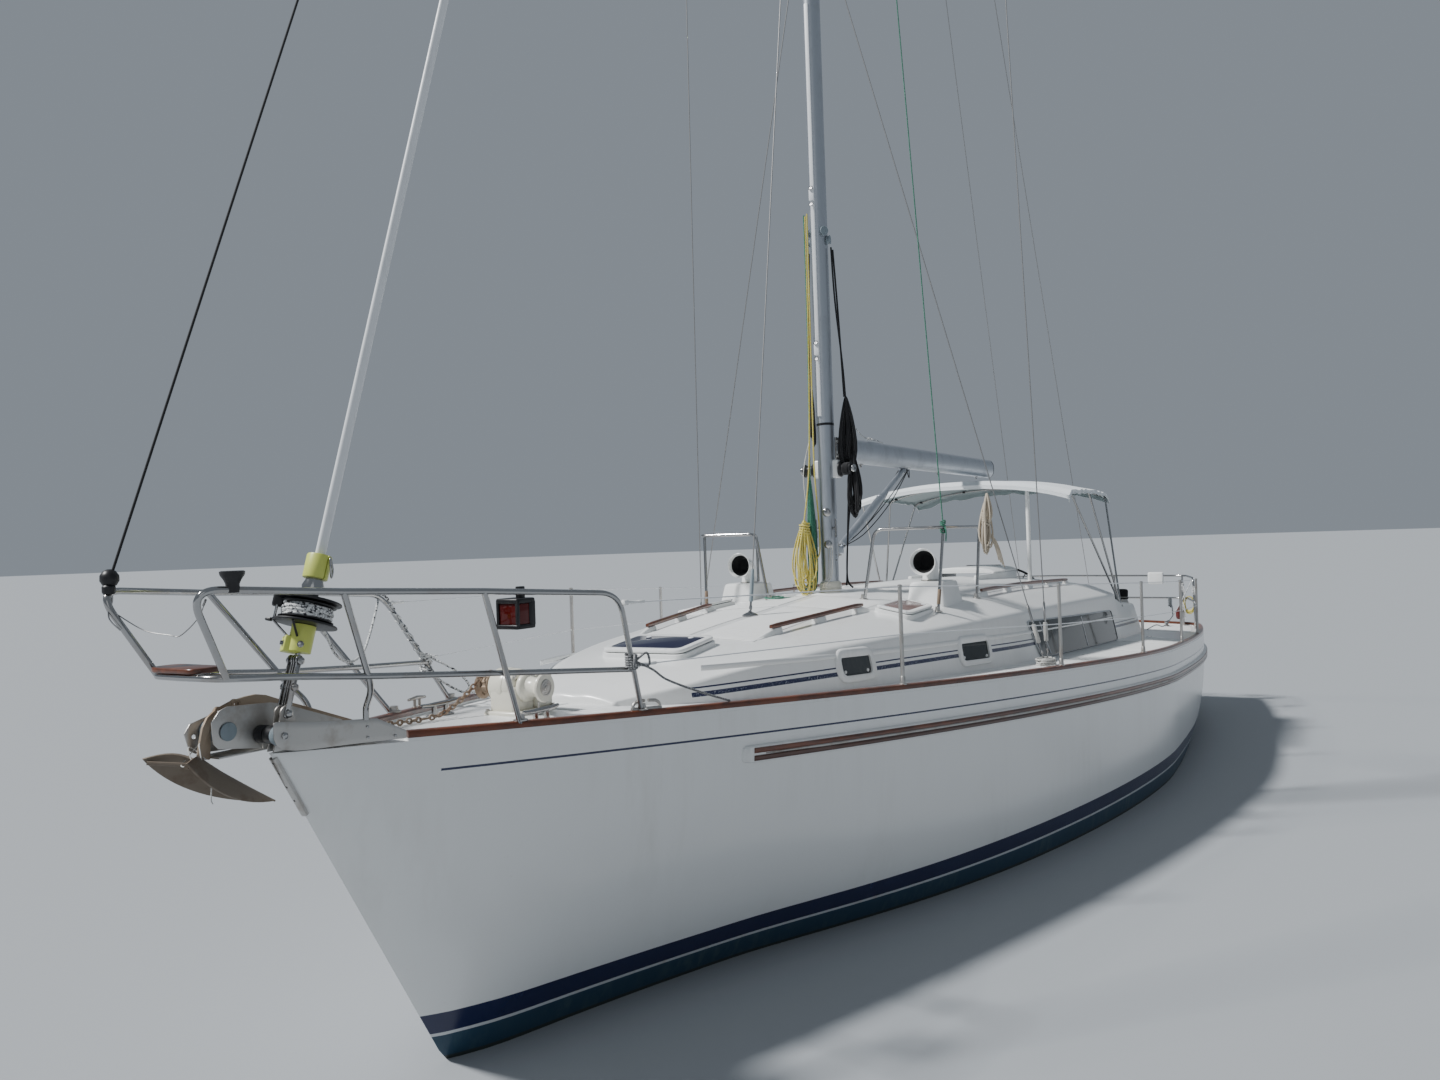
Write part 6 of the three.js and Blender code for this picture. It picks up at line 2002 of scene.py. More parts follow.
def furler_drum():
    """Black flanges of the drum and the spindle above it."""
    low = stay_turned([(0.02, 0.333), (0.1, 0.3335), (0.111, 0.336), (0.111, 0.34), (0.104, 0.342),
                       (0.05, 0.343)], 48)
    high = stay_turned([(0.05, 0.397), (0.104, 0.398), (0.111, 0.4), (0.111, 0.404), (0.1, 0.4055),
                        (0.045, 0.41), (0.03, 0.43), (0.028, 0.46)], 48)
    return merged([low, high])


def furler_line():
    """Line wound on the drum in uneven layers."""
    rng = random.Random(4)
    route = []
    turns = 15
    layers = 5
    for i in range(turns * 22):
        t = i / 22
        layer = t % layers
        up = layer if int(t / layers) % 2 == 0 else layers - layer
        height = 0.347 + 0.0092 * up + rng.uniform(-0.0012, 0.0012) + 0.003 * math.sin(t * 3.1)
        radius = 0.08 + 0.0092 * int(t / layers) + 0.0035 * math.sin(t * 2.1)
        a = 2 * math.pi * t
        route.append(Vector((radius * math.cos(a), radius * math.sin(a), height)))
    line = tubes([route], 0.0062, 2)
    core = turned([(0.062, 0.338), (0.078, 0.345), (0.078, 0.395), (0.062, 0.402)], sides=36)
    return smooth(aim(joined([line, core]), STAY_FOOT, STAY_LINE), 50)


def furler_cage():
    """Black rings of the bracket round the drum, the block at its front and the hook beside it."""
    low = stay_turned([(0.045, 0.3165), (0.12, 0.3155), (0.13, 0.3175), (0.131, 0.3215), (0.128, 0.326),
                       (0.11, 0.3265)], 56)
    top = cut(stay_turned([(0.1, 0.4115), (0.128, 0.412), (0.131, 0.416), (0.128, 0.422), (0.1, 0.4225)], 56),
              stay_turned([(0.042, 0.39), (0.042, 0.45)], 40))
    pieces = [low, top]
    guard = block((0.098, -0.024, 0.372), (0.142, 0.024, 0.442), 0.01, 3)
    guard.data.transform(Matrix.Rotation(math.radians(-38), 4, "Z"))
    pieces.append(aim(guard, STAY_FOOT, STAY_LINE))
    tips = [ring_point(0.132, a, 0.318) for a in (-52, -44, -36)]
    pieces.append(tubes([curved([tips[0], ring_point(0.15, -44, 0.316), tips[2]])], 0.006, 2))
    pieces.append(rod(ring_point(0.048, 28, 0.262), ring_point(0.122, 28, 0.316), 0.005, sides=10))
    return merged(pieces)


def ring_point(radius, degrees, height):
    """Point round the forestay: radius, angle from forward towards port, and distance up the stay."""
    side = Vector((0, 1, 0))
    fore = side.cross(STAY_LINE)
    a = math.radians(degrees)
    return on_stay(height) + (fore * math.cos(a) + side * math.sin(a)) * radius


def furler_foot():
    """Lime collar under the drum with the square clamp on its lower part."""
    upper = stay_turned([(0.03, 0.2), (0.0475, 0.202), (0.0485, 0.206), (0.0485, 0.3135), (0.04, 0.315)], 40)
    clamp = block((0.0, -0.056, 0.196), (0.066, 0.02, 0.262), 0.006, 3)
    clamp.data.transform(Matrix.Rotation(math.radians(-30), 4, "Z"))
    return merged([upper, aim(clamp, STAY_FOOT, STAY_LINE)])


def link_plate(y, front):
    """Link plate with round ends between the bow fitting's ears and the lower collar."""
    low, high = Vector((6.66 + front, 0, 1.744)), Vector((6.592 + front, 0, 1.955))
    rim = []
    for centre, start in ((low, 150), (high, -30)):
        for k in range(7):
            a = math.radians(start + k * 30)
            rim.append((centre.x + 0.019 * math.cos(a), centre.z + 0.019 * math.sin(a)))
    return plate(rim, y, y + 0.006, 0.002)


def furler_links():
    """Toggle, link plates and clevis pins between the bow fitting and the furler, and the clamp's bolts."""
    pieces = [link_plate(y, front)
              for y, front in ((0.0035, 0), (-0.0095, 0), (0.0225, 0.004), (-0.0285, 0.004))]
    for x, z, reach in ((6.66, 1.744, 0.034), (6.628, 1.846, 0.036), (6.595, 1.95, 0.036)):
        pieces.append(rod((x, -reach, z), (x, reach, z), 0.0085, sides=16))
        for sign in (1, -1):
            pieces.append(turned([(0.0155, -0.004), (0.0155, 0.003), (0.011, 0.006), (0.005, 0.007)],
                                 (x, sign * reach, z), (0, sign, 0), 20))
    pieces.append(rod(on_stay(0.035), on_stay(0.2), 0.012))
    for degrees, height in ((-30, 0.228), (52, 0.23)):
        out = (ring_point(1, degrees, height) - on_stay(height)).normalized()
        start = on_stay(height) + out * (0.064 if degrees < 0 else 0.046)
        pieces.append(turned([(0.014, 0), (0.014, 0.005), (0.009, 0.007), (0.009, 0.014), (0.004, 0.015)],
                             start, out, 8))
    for a in (-48, -30):
        pieces.append(rod(ring_point(0.122, a, 0.322), ring_point(0.122, a, 0.385), 0.0055, sides=12))
    pieces.append(rod(ring_point(0.05, -35, 0.255), ring_point(0.124, -40, 0.316), 0.005, sides=10))
    return merged(pieces)


def line_guard():
    """White plate with three slots on the aft side of the drum, and its tie."""
    guard = block((-0.148, -0.028, 0.318), (-0.141, 0.028, 0.428), 0.002)
    slots = [block((-0.16, y - 0.006, z - 0.008), (-0.13, y + 0.006, z + 0.008), 0)
             for y, z in ((0.0, 0.4), (-0.012, 0.35), (0.012, 0.35))]
    cut(guard, *slots)
    tie = block((-0.142, -0.02, 0.412), (-0.12, 0.02, 0.42), 0.001)
    both = joined([guard, tie])
    both.data.transform(Matrix.Rotation(math.radians(35), 4, "Z"))
    return smooth(aim(both, STAY_FOOT, STAY_LINE), 40)


def furler_rings():
    """Pale sleeve between the spindle and the upper collar, and the snap shackle on the collar."""
    ring = stay_turned([(0.028, 0.455), (0.043, 0.462), (0.046, 0.48), (0.036, 0.505), (0.036, 0.514)], 32)
    start = on_stay(0.57) + Vector((-0.02, 0.054, 0))
    loop = [start + Vector((0.0, 0.002, 0.03)), start + Vector((0.012, 0.013, 0.02)),
            start + Vector((0.012, 0.014, -0.03)),
            start + Vector((0.0, 0.004, -0.052)), start + Vector((-0.008, 0.004, -0.02)),
            start + Vector((0, 0.002, 0.03))]
    shackle = tubes([curved(loop)], 0.0042, 2)
    return merged([ring, shackle], 50)


# Mast and boom


class BuildMast(bpy.types.Operator):
    """Aluminium mast with its spreaders, track, fittings, winches and masthead."""
    bl_idname = "yacht.mast"
    bl_label = "Mast"

    def execute(self, context):
        fit(mast_tube(), "mast_tube", "alloy", replaces=["mast"])
        fit(mast_collar(), "mast_collar", "cream")
        fit(mast_track(), "mast_track", "foil")
        fit(mast_fittings(), "mast_fittings", "steel")
        fit(mast_blocks(), "mast_blocks", "grey_rubber")
        fit(mast_band(), "mast_band", "black")
        fit(winch_pads(), "winch_pads", "gelcoat")
        fit(mast_winches(), "mast_winches", "black")
        fit(winch_hubs(), "winch_hubs", "steel")
        return {"FINISHED"}


MAST = {"x": 1.33, "length": 0.192, "width": 0.13, "foot": 1.91, "top": 18.25, "taper": 0.9}
SPREADERS = ({"z": 7.65, "reach": 1.425, "sweep": 0.43}, {"z": 12.9, "reach": 1.13, "sweep": 0.34})
WINCH = {"x": 1.305, "z": 2.93}


def oval(z, grow=1.0, sides=40, groove=True):
    """Ring of the mast's section, with the sail groove in its aft side."""
    ring = []
    for k in range(sides):
        a = 2 * math.pi * k / sides
        x, y = math.cos(a) * MAST["length"] / 2 * grow, math.sin(a) * MAST["width"] / 2 * grow
        if groove and k == sides // 2:
            x += 0.014
        ring.append((MAST["x"] + x, y, z))
    return ring


def mast_tube():
    foot, top, taper = MAST["foot"], MAST["top"], MAST["taper"]
    heights = [foot + 0.1] + [foot + 0.1 + (top - taper - foot - 0.1) * k / 24 for k in range(1, 25)]
    rings = [oval(z) for z in heights]
    rings += [oval(top - taper + taper * k / 6, 1 - 0.2 * k / 6) for k in range(1, 7)]
    pieces = [loft(rings)]
    pieces.append(block((MAST["x"] - 0.185, -0.036, top - 0.06), (MAST["x"] + 0.148, 0.036, top + 0.036),
                        0.01, 3))
    for spreader in SPREADERS:
        for _, sign in SIDES:
            pieces.append(spreader_blade(spreader, sign))
        pieces.append(block((MAST["x"] - 0.07, -0.078, spreader["z"] - 0.03),
                            (MAST["x"] + 0.05, 0.078, spreader["z"] + 0.03), 0.01, 3))
    return merged(pieces, 35)


def spreader_blade(spreader, sign):
    """Flattened spreader, swept aft and raised at its tip."""
    rings = []
    root = Vector((MAST["x"] - 0.01, 0.045, spreader["z"]))
    tip = Vector((MAST["x"] - 0.01 - spreader["sweep"], spreader["reach"], spreader["z"] + 0.06))
    for k in range(9):
        t = k / 8
        middle = root.lerp(tip, t)
        chord, thick = 0.062 + (0.034 - 0.062) * t, 0.024 + (0.014 - 0.024) * t
        ring = []
        for j in range(14):
            a = 2 * math.pi * j / 14
            ring.append((middle.x + chord * math.cos(a), sign * middle.y, middle.z + thick * math.sin(a)))
        rings.append(ring)
    return loft(rings)


def mast_collar():
    """Cream boot where the mast meets the roof, with its lashings."""
    levels = ((1.915, 1.3), (1.935, 1.31), (1.95, 1.24), (1.962, 1.235), (1.975, 1.26), (2.0, 1.25),
              (2.015, 1.12), (2.02, 1.03))
    collar = loft([oval(z, grow, 48, False) for z, grow in levels])
    bands = tubes([[Vector(p) for p in oval(z, 1.25, 40, False)] for z in (1.957, 1.97)], 0.004, 1, True)
    return merged([collar, bands], 35)


def mast_track():
    """White track up the mast's front with its sliders."""
    x = MAST["x"] + MAST["length"] / 2
    track = block((x - 0.004, -0.016, 3.36), (x + 0.012, 0.016, 6.7), 0.003)
    sliders = [block((x + 0.01, -0.022, z - 0.05), (x + 0.03, 0.022, z + 0.05), 0.006) for z in (3.9, 5.15)]
    return merged([track, *sliders])


def on_mast(angle, z, out=0.0):
    """Point on the mast's skin: angle from forward towards port in degrees, and height."""
    a = math.radians(angle)
    x, y = math.cos(a) * MAST["length"] / 2, math.sin(a) * MAST["width"] / 2
    grow = 1 + out / max(0.04, math.hypot(x, y))
    return Vector((MAST["x"] + x * grow, y * grow, z))


def mast_fittings():
    """Rings, cleats, pad eyes and plates on the mast, with the babystay's and shrouds' tangs."""
    pieces = []
    for z in (3.82, 3.95, 5.07, 5.2):
        ring = turned([(0.016, -0.004), (0.02, 0), (0.016, 0.004), (0.012, 0)], on_mast(0, z, 0.035),
                      (1, 0, 0.4), 20)
        pieces.append(ring)
        pieces.append(rod(on_mast(0, z, 0.008), on_mast(0, z, 0.034), 0.006, sides=10))
    for angle, z in ((28, 2.32), (24, 2.58)):
        out = (on_mast(angle, z, 0.1) - on_mast(angle, z)).normalized()
        pieces.append(turned([(0.032, -0.004), (0.034, 0.004), (0.026, 0.012), (0.012, 0.016)],
                             on_mast(angle, z), out, 28))
    for angle, z in ((80, 2.23), (80, 2.19)):
        pieces.append(rod(on_mast(angle, z, -0.002), on_mast(angle, z, 0.008), 0.007, sides=12))
    pieces.append(plate(((1.408, 9.075), (1.455, 9.1), (1.46, 9.13), (1.41, 9.165)), -0.006, 0.006))
    for _, sign in SIDES:
        for z in (7.54, 12.78, 18.06):
            pieces.append(block((MAST["x"] - 0.04, min(0.05 * sign, 0.074 * sign), z - 0.05),
                                (MAST["x"] + 0.02, max(0.05 * sign, 0.074 * sign), z + 0.05), 0.004))
        cleat_foot = on_mast(65 * sign, 2.45, 0.006)
        pieces.append(rod(cleat_foot + Vector((0, 0, -0.075)) + Vector((0.01, 0.022 * sign, 0)),
                          cleat_foot + Vector((0, 0, 0.075)) + Vector((0.01, 0.022 * sign, 0)), 0.009, 0.006))
        pieces.append(rod(cleat_foot, cleat_foot + Vector((0.01, 0.022 * sign, 0)), 0.012))
    for x in (-0.15, 0.11):
        pieces.append(rod((MAST["x"] + x, -0.045, 18.25), (MAST["x"] + x, 0.045, 18.25), 0.03, sides=24))
    pieces.append(rod((MAST["x"] - 0.06, 0.02, 18.28), (MAST["x"] - 0.06, 0.02, 18.29), 0.006, sides=12))
    return merged(pieces)


def mast_blocks():
    """Grey cheek blocks on both sides of the mast."""
    pieces = []
    for _, sign in SIDES:
        for angle, z in ((62, 4.86), (98, 4.8)):
            start = on_mast(angle * sign, z, -0.004)
            out = (on_mast(angle * sign, z, 0.1) - start).normalized()
            pieces.append(turned([(0.032, 0), (0.036, 0.004), (0.036, 0.01), (0.03, 0.014), (0.03, 0.022),
                                  (0.036, 0.026), (0.034, 0.032), (0.012, 0.034)], start, out, 28))
    return merged(pieces)


def mast_band():
    """Band of black tape round the mast."""
    rings = [oval(3.285, 1.004, 40, False), oval(3.285, 1.012, 40, False), oval(3.305, 1.012, 40, False),
             oval(3.305, 1.004, 40, False)]
    band = loft(rings, False)
    in_edit(band, face_out)
    tilt = Matrix.Translation((MAST["x"], 0, 3.295)) @ Matrix.Rotation(math.radians(4), 4, "X")
    band.data.transform(tilt @ Matrix.Translation((-MAST["x"], 0, -3.295)))
    return smooth(band, 40)


def winch_pads():
    """White pads that the mast's winches are bolted to."""
    pieces = []
    for _, sign in SIDES:
        y = sorted((0.04 * sign, 0.104 * sign))
        pieces.append(block((1.258, y[0], 2.86), (1.352, y[1], 3.008), 0.012, 3))
    return merged(pieces)


def mast_winches():
    """Black drums with their ribs."""
    profile = [(0.044, 0), (0.062, 0.003), (0.064, 0.012), (0.058, 0.02), (0.045, 0.03), (0.0405, 0.05),
               (0.0405, 0.072), (0.048, 0.088), (0.054, 0.096), (0.052, 0.106), (0.03, 0.112)]
    pieces = [turned(profile, (WINCH["x"], 0.105 * sign, WINCH["z"]), (0, sign, 0), 40) for _, sign in SIDES]
    return merged(pieces, 30)


def winch_hubs():
    """Chrome tops with the socket for the handle."""
    pieces = []
    for _, sign in SIDES:
        hub = turned([(0.03, 0.108), (0.036, 0.114), (0.036, 0.124), (0.03, 0.133), (0.014, 0.134)],
                     (WINCH["x"], 0.105 * sign, WINCH["z"]), (0, sign, 0), 36)
        socket = turned([(0.01, 0.12), (0.01, 0.16)], (WINCH["x"], 0.105 * sign, WINCH["z"]), (0, sign, 0), 8)
        pieces.append(cut(hub, socket))
    return merged(pieces, 30)


class BuildBoom(bpy.types.Operator):
    """Boom with its gooseneck, outhaul and the rigid vang under it."""
    bl_idname = "yacht.boom"
    bl_label = "Boom"

    def execute(self, context):
        fit(boom_tube(), "boom_tube", "alloy", "boom", ["boom"])
        fit(boom_fittings(), "boom_fittings", "steel", "boom")
        fit(boom_end_cap(), "boom_end_caps", "black", "boom")
        fit(vang(), "vang", "alloy", "boom")
        fit(gooseneck_plates(), "gooseneck_plates", "brushed")
        fit(reefing_line(), "reefing_line", "rope_fleck", "boom")
        fit(vang_lines(), "vang_lines", "rope_black", "boom")
        return {"FINISHED"}


BOOM = {"goose": 1.16, "z": 3.11, "fore": 1.1, "aft": -3.2, "half": 0.068, "tall": 0.105}
VANG_FOOT = Vector((1.16, 0, 2.27))
VANG_HEAD = Vector((-0.47, 0, 3.02))


def boom_ring(x, grow=1.0):
    """Ring of the boom's section: rounded sides, flatter top with its groove."""
    ring = []
    for k in range(36):
        a = 2 * math.pi * k / 36
        y = math.cos(a) * BOOM["half"] * grow
        z = math.copysign(abs(math.sin(a)) ** 0.86, math.sin(a)) * BOOM["tall"] * grow
        if k == 9:
            z -= 0.012
        ring.append((x, y, BOOM["z"] + z))
    return ring


def boom_tube():
    span = BOOM["fore"] - BOOM["aft"]
    rings = [boom_ring(BOOM["fore"] - 0.02 - (span - 0.05) * k / 20) for k in range(21)]
    return smooth(loft(rings), 40)


def boom_end_cap():
    """Dark caps on both ends of the boom with the sheaves' slots."""
    pieces = []
    for x, way in ((BOOM["fore"], 1), (BOOM["aft"], -1)):
        cap = loft([boom_ring(x - 0.022 * way, 1.0), boom_ring(x - 0.006 * way, 1.0), boom_ring(x, 0.95)])
        slots = [block((x - 0.012, y - 0.008, BOOM["z"] - 0.05), (x + 0.012, y + 0.008, BOOM["z"] + 0.05), 0)
                 for y in (-0.024, 0.024)]
        pieces.append(cut(cap, *slots))
    return merged(pieces)


def boom_fittings():
    """Knuckle at the gooseneck, vang lug and eyes along the boom."""
    goose, z = BOOM["goose"], BOOM["z"]
    pieces = [block((goose - 0.062, -0.024, z - 0.045), (goose + 0.01, 0.024, z + 0.045), 0.008, 3),
              plate(((-0.53, 2.962), (-0.41, 2.962), (-0.415, 3.03), (-0.525, 3.03)), -0.008, 0.008, 0.003)]
    pieces.append(block((-0.54, -0.03, 3.008), (-0.4, 0.03, 3.02), 0.003))
    for x in (0.62, -1.4, -2.7):
        pieces.append(block((x - 0.035, -0.014, z - 0.112), (x + 0.035, 0.014, z - 0.1), 0.003))
        pieces.append(turned([(0.014, -0.005), (0.019, 0), (0.014, 0.005), (0.009, 0)], (x, 0, z - 0.121),
                             TO_PORT, 20))
    for x in (0.98, 0.9):
        pieces.append(rod((x, BOOM["half"] - 0.002, z), (x, BOOM["half"] + 0.004, z), 0.008, sides=12))
    return merged(pieces)


def vang():
    """Sleeve and inner tube of the rigid vang, with its end fittings."""
    line = VANG_HEAD - VANG_FOOT
    sleeve = turned([(0.02, line.length * 0.045), (0.034, line.length * 0.05), (0.034, line.length * 0.61),
                     (0.03, line.length * 0.62)], VANG_FOOT, line, 32)
    ring = turned([(0.03, line.length * 0.585), (0.0365, line.length * 0.588), (0.0365, line.length * 0.612),
                   (0.03, line.length * 0.616)], VANG_FOOT, line, 32)
    inner = turned([(0.024, line.length * 0.6), (0.024, line.length * 0.965), (0.02, line.length * 0.975)],
                   VANG_FOOT, line, 28)
    low = block((1.07, -0.014, 2.238), (1.172, 0.014, 2.302), 0.006, 3)
    fork = [block((-0.505, y - 0.004, 2.96), (-0.425, y + 0.004, 3.018), 0.003) for y in (-0.014, 0.014)]
    pin = rod((-0.468, -0.024, 2.99), (-0.468, 0.024, 2.99), 0.008, sides=14)
    return merged([sleeve, ring, inner, low, *fork, pin])


def gooseneck_plates():
    """Plates on the mast's aft side that hold the boom and the vang, with their pins."""
    pieces = []
    for low, high in ((3.041, 3.063), (3.157, 3.179)):
        pieces.append(block((1.138, -0.03, low), (1.268, 0.03, high), 0.004))
    for low, high in ((2.221, 2.235), (2.305, 2.319)):
        pieces.append(block((1.138, -0.022, low), (1.268, 0.022, high), 0.003))
    pieces.append(rod((BOOM["goose"], 0, 3.035), (BOOM["goose"], 0, 3.19), 0.009))
    pieces.append(rod((VANG_FOOT.x, 0, 2.21), (VANG_FOOT.x, 0, 2.33), 0.007))
    pieces.append(block((1.224, -0.045, 3.02), (1.24, 0.045, 3.2), 0.004))
    pieces.append(block((1.224, -0.035, 2.2), (1.24, 0.035, 2.34), 0.004))
    return merged(pieces)


def reefing_line():
    """Flecked line that hangs in a shallow curve over the boom's fore end."""
    route = [Vector((0.93, 0.012, 3.52)), Vector((0.8, 0.014, 3.36)), Vector((0.62, 0.012, 3.262)),
             Vector((0.42, 0.01, 3.232)),
             Vector((0.28, 0.006, 3.236)), Vector((0.1, 0.0, 3.222))]
    knot = [Vector((0.42 + 0.024 * math.cos(a), 0.01 + 0.02 * math.sin(a), 3.236 + 0.008 * math.cos(2 * a)))
            for a in [2 * math.pi * k / 14 for k in range(15)]]
    return smooth(tubes([curved(route), knot], 0.0052, 2), 50)


def vang_lines():
    """Black tackle on both sides of the vang."""
    routes = []
    for y, drop in ((0.046, 0.05), (-0.046, 0.05), (0.05, 0.1), (-0.05, 0.11)):
        a, b = VANG_FOOT + Vector((-0.06, y * 0.6, 0.03)), VANG_HEAD + Vector((0.06, y, -0.03))
        sag = Vector((0, 0, -drop))
        routes.append(curved([a, a.lerp(b, 0.3) + sag, a.lerp(b, 0.7) + sag, b]))
    routes.append(curved([VANG_HEAD + Vector((0.05, 0.03, -0.02)), VANG_HEAD + Vector((0.0, 0.035, -0.1)),
                          VANG_HEAD + Vector((-0.02, 0.03, -0.02))]))
    return smooth(tubes(routes, 0.0045, 2), 50)


# Standing rigging


class BuildRigging(bpy.types.Operator):
    """Shrouds, babystay and backstays with their turnbuckles, and the halyards made fast forward."""
    bl_idname = "yacht.rigging"
    bl_label = "Rigging"

    def execute(self, context):
        for name, sign in SIDES:
            fit(shroud_wires(sign), "shroud_wires_" + name, "wire",
                replaces=["shrouds_" + name])
            fit(shroud_screws(sign), "shroud_screws_" + name, "steel")
            fit(shroud_boots(sign), "shroud_boots_" + name, "rope_white")
        fit(stay_wires([(BABY_FOOT, BABY_HEAD)]), "babystay_wire", "wire",
            replaces=["babystay"])
        fit(baby_screw(), "babystay_screw", "steel")
        fit(baby_boot(), "babystay_boot", "grey_rubber")
        fit(stay_wires(BACKSTAYS), "backstay_wires", "wire", replaces=["backstay"])
        fit(joined([screw(a, b, 0.38) for a, b in BACKSTAYS]), "backstay_screws", "steel")
        fit(bow_halyard(), "bow_halyard", "rope_black")
        fit(bow_halyard_shackle(), "bow_halyard_shackle", "steel")
        fit(green_halyard(), "green_halyard", "rope_green")
        return {"FINISHED"}


BABY_FOOT = Vector((2.715, 0, 1.84))
BABY_HEAD = Vector((1.442, 0, 9.116))
BACKSTAYS = [(Vector((-6.395, 0.48 * s, 1.12)), Vector((1.165, 0.016 * s, 18.13))) for s in (1, -1)]


def chainplates(sign):
    """Feet of the cap and lower shrouds on the side deck."""
    x, y = 0.76, 1.59
    z = deck_z(x, y) + 0.04
    return Vector((x, sign * y, z)), Vector((x + 0.095, sign * y, z))


def shroud_lines(sign):
    cap, lower = chainplates(sign)
    tips = [Vector((0.896, sign * 1.439, 7.71)), Vector((0.986, sign * 1.144, 12.96)),
            Vector((1.336, sign * 0.066, 18.09))]
    return [(cap, tips[0]), (tips[0], tips[1]), (tips[1], tips[2]),
            (lower, Vector((1.31, sign * 0.074, 7.52))), (tips[0], Vector((1.31, sign * 0.074, 12.74)))]


def stay_wires(lines):
    radius = sizes().wire
    return merged([rod(a, b, radius, sides=10) for a, b in lines])


def shroud_wires(sign):
    return stay_wires(shroud_lines(sign)[:4])


def screw(foot, head, length):
    """Turnbuckle at a stay's foot: toggle, open body between two threaded ends, and the swage above."""
    line = (head - foot).normalized()

    def up(distance):
        return foot + line * distance

    lowest = rod(up(-0.035), up(0.02), 0.011, sides=12)
    pin = rod(up(0.0) + Vector((0, -0.02, 0)), up(0.0) + Vector((0, 0.02, 0)), 0.0065, sides=12)
    thread = rod(up(0.01), up(length * 0.36), 0.0065, sides=12)
    body = turned([(0.007, length * 0.16), (0.0115, length * 0.18), (0.0115, length * 0.26),
                   (0.0085, length * 0.3), (0.0085, length * 0.58), (0.0115, length * 0.62),
                   (0.0115, length * 0.7), (0.007, length * 0.72)],
                  foot, line, 16)
    top = rod(up(length * 0.6), up(length * 0.86), 0.0065, sides=12)
    swage = turned([(0.006, length * 0.8), (0.0095, length * 0.84), (0.0095, length * 1.18),
                    (0.0055, length * 1.22)],
                   foot, line, 14)
    return joined([lowest, pin, thread, body, top, swage])


def shroud_screws(sign):
    cap, lower = shroud_lines(sign)[0], shroud_lines(sign)[3]
    pieces = [screw(*cap, 0.38), screw(*lower, 0.38)]
    x, y = chainplates(sign)[0].x, chainplates(sign)[0].y
    z = deck_z(x, abs(y))
    low, high = sorted((y - 0.03, y + 0.03))
    pieces.append(block((x - 0.05, low, z), (x + 0.145, high, z + 0.008), 0.003))
    for dx in (0, 0.095):
        pieces.append(block((x + dx - 0.016, y - 0.004, z), (x + dx + 0.016, y + 0.004, z + 0.05), 0.003))
    for a, _ in shroud_lines(sign)[1:3]:
        pieces.append(turned([(0.006, -0.05), (0.013, -0.03), (0.013, 0.03), (0.006, 0.05)], a, sides=14))
    return merged(pieces)


def shroud_boots(sign):
    """White boots on the turnbuckles and a coil of pale line round their feet."""
    rng = random.Random(9)
    pieces = []
    for foot, head in (shroud_lines(sign)[0], shroud_lines(sign)[3]):
        line = (head - foot).normalized()
        pieces.append(turned([(0.012, 0.15), (0.017, 0.155), (0.0175, 0.29), (0.014, 0.3)], foot, line, 16))
    cap, lower = chainplates(sign)
    middle = (cap + lower) / 2
    floor = deck_z(middle.x, abs(middle.y))
    route = []
    for k in range(150):
        a = 2 * math.pi * k / 24
        reach = 0.088 + 0.012 * math.sin(k * 0.37) + rng.uniform(-0.004, 0.004)
        route.append(Vector((middle.x + reach * 1.25 * math.cos(a), middle.y + reach * 0.72 * math.sin(a),
                             floor + 0.016 + 0.0075 * int(k / 24) + rng.uniform(-0.001, 0.001))))
    pieces.append(tubes([route], 0.007, 2))
    return merged(pieces, 50)


def baby_screw():
    """Babystay's foot: chrome dome on the deck and its turnbuckle."""
    x, z = BABY_FOOT.x, roof_z(BABY_FOOT.x, 0)
    dome = turned([(0.058, -0.004), (0.058, 0.006), (0.05, 0.014), (0.03, 0.024), (0.014, 0.03),
                   (0.01, 0.04)], (x, 0, z),
                  sides=36)
    return merged([dome, screw(BABY_FOOT, BABY_HEAD, 0.26)], 35)


def baby_boot():
    """Blue-grey sleeve on the babystay's turnbuckle."""
    line = (BABY_HEAD - BABY_FOOT).normalized()
    sleeve = turned([(0.009, 0.1), (0.0145, 0.105), (0.0145, 0.27), (0.012, 0.285), (0.012, 0.33),
                     (0.009, 0.335)],
                    BABY_FOOT, line, 20)
    return smooth(sleeve, 35)


HALYARD_END = Vector((7.198, -0.278, 2.262))


def bow_halyard():
    """Black halyard from the pulpit's starboard corner to the masthead."""
    line = rod(HALYARD_END + Vector((-0.01, 0, 0.06)), Vector((1.42, -0.03, 18.2)), 0.0055, sides=8)
    return smooth(line, 50)


def bow_halyard_shackle():
    """Snap shackle that holds the halyard to the pulpit."""
    loop = [HALYARD_END + Vector(p)
            for p in ((-0.004, 0, 0.03), (0.012, 0, 0.012), (0.014, 0, -0.03), (0.002, 0, -0.058),
                                              (-0.012, 0, -0.03), (-0.01, 0, 0.012), (-0.004, 0, 0.03))]
    swivel = turned([(0.005, 0.028), (0.009, 0.034), (0.009, 0.056), (0.005, 0.062)], HALYARD_END,
                    (-0.1, 0, 1), 16)
    tails = tubes([curved([HALYARD_END + Vector((0, 0.01, -0.02)), HALYARD_END + Vector((0.02, 0.03, -0.09)),
                           HALYARD_END + Vector((-0.01, 0.05, -0.14))])], 0.003, 1)
    return merged([tubes([curved(loop)], 0.0045, 2), swivel, tails], 50)


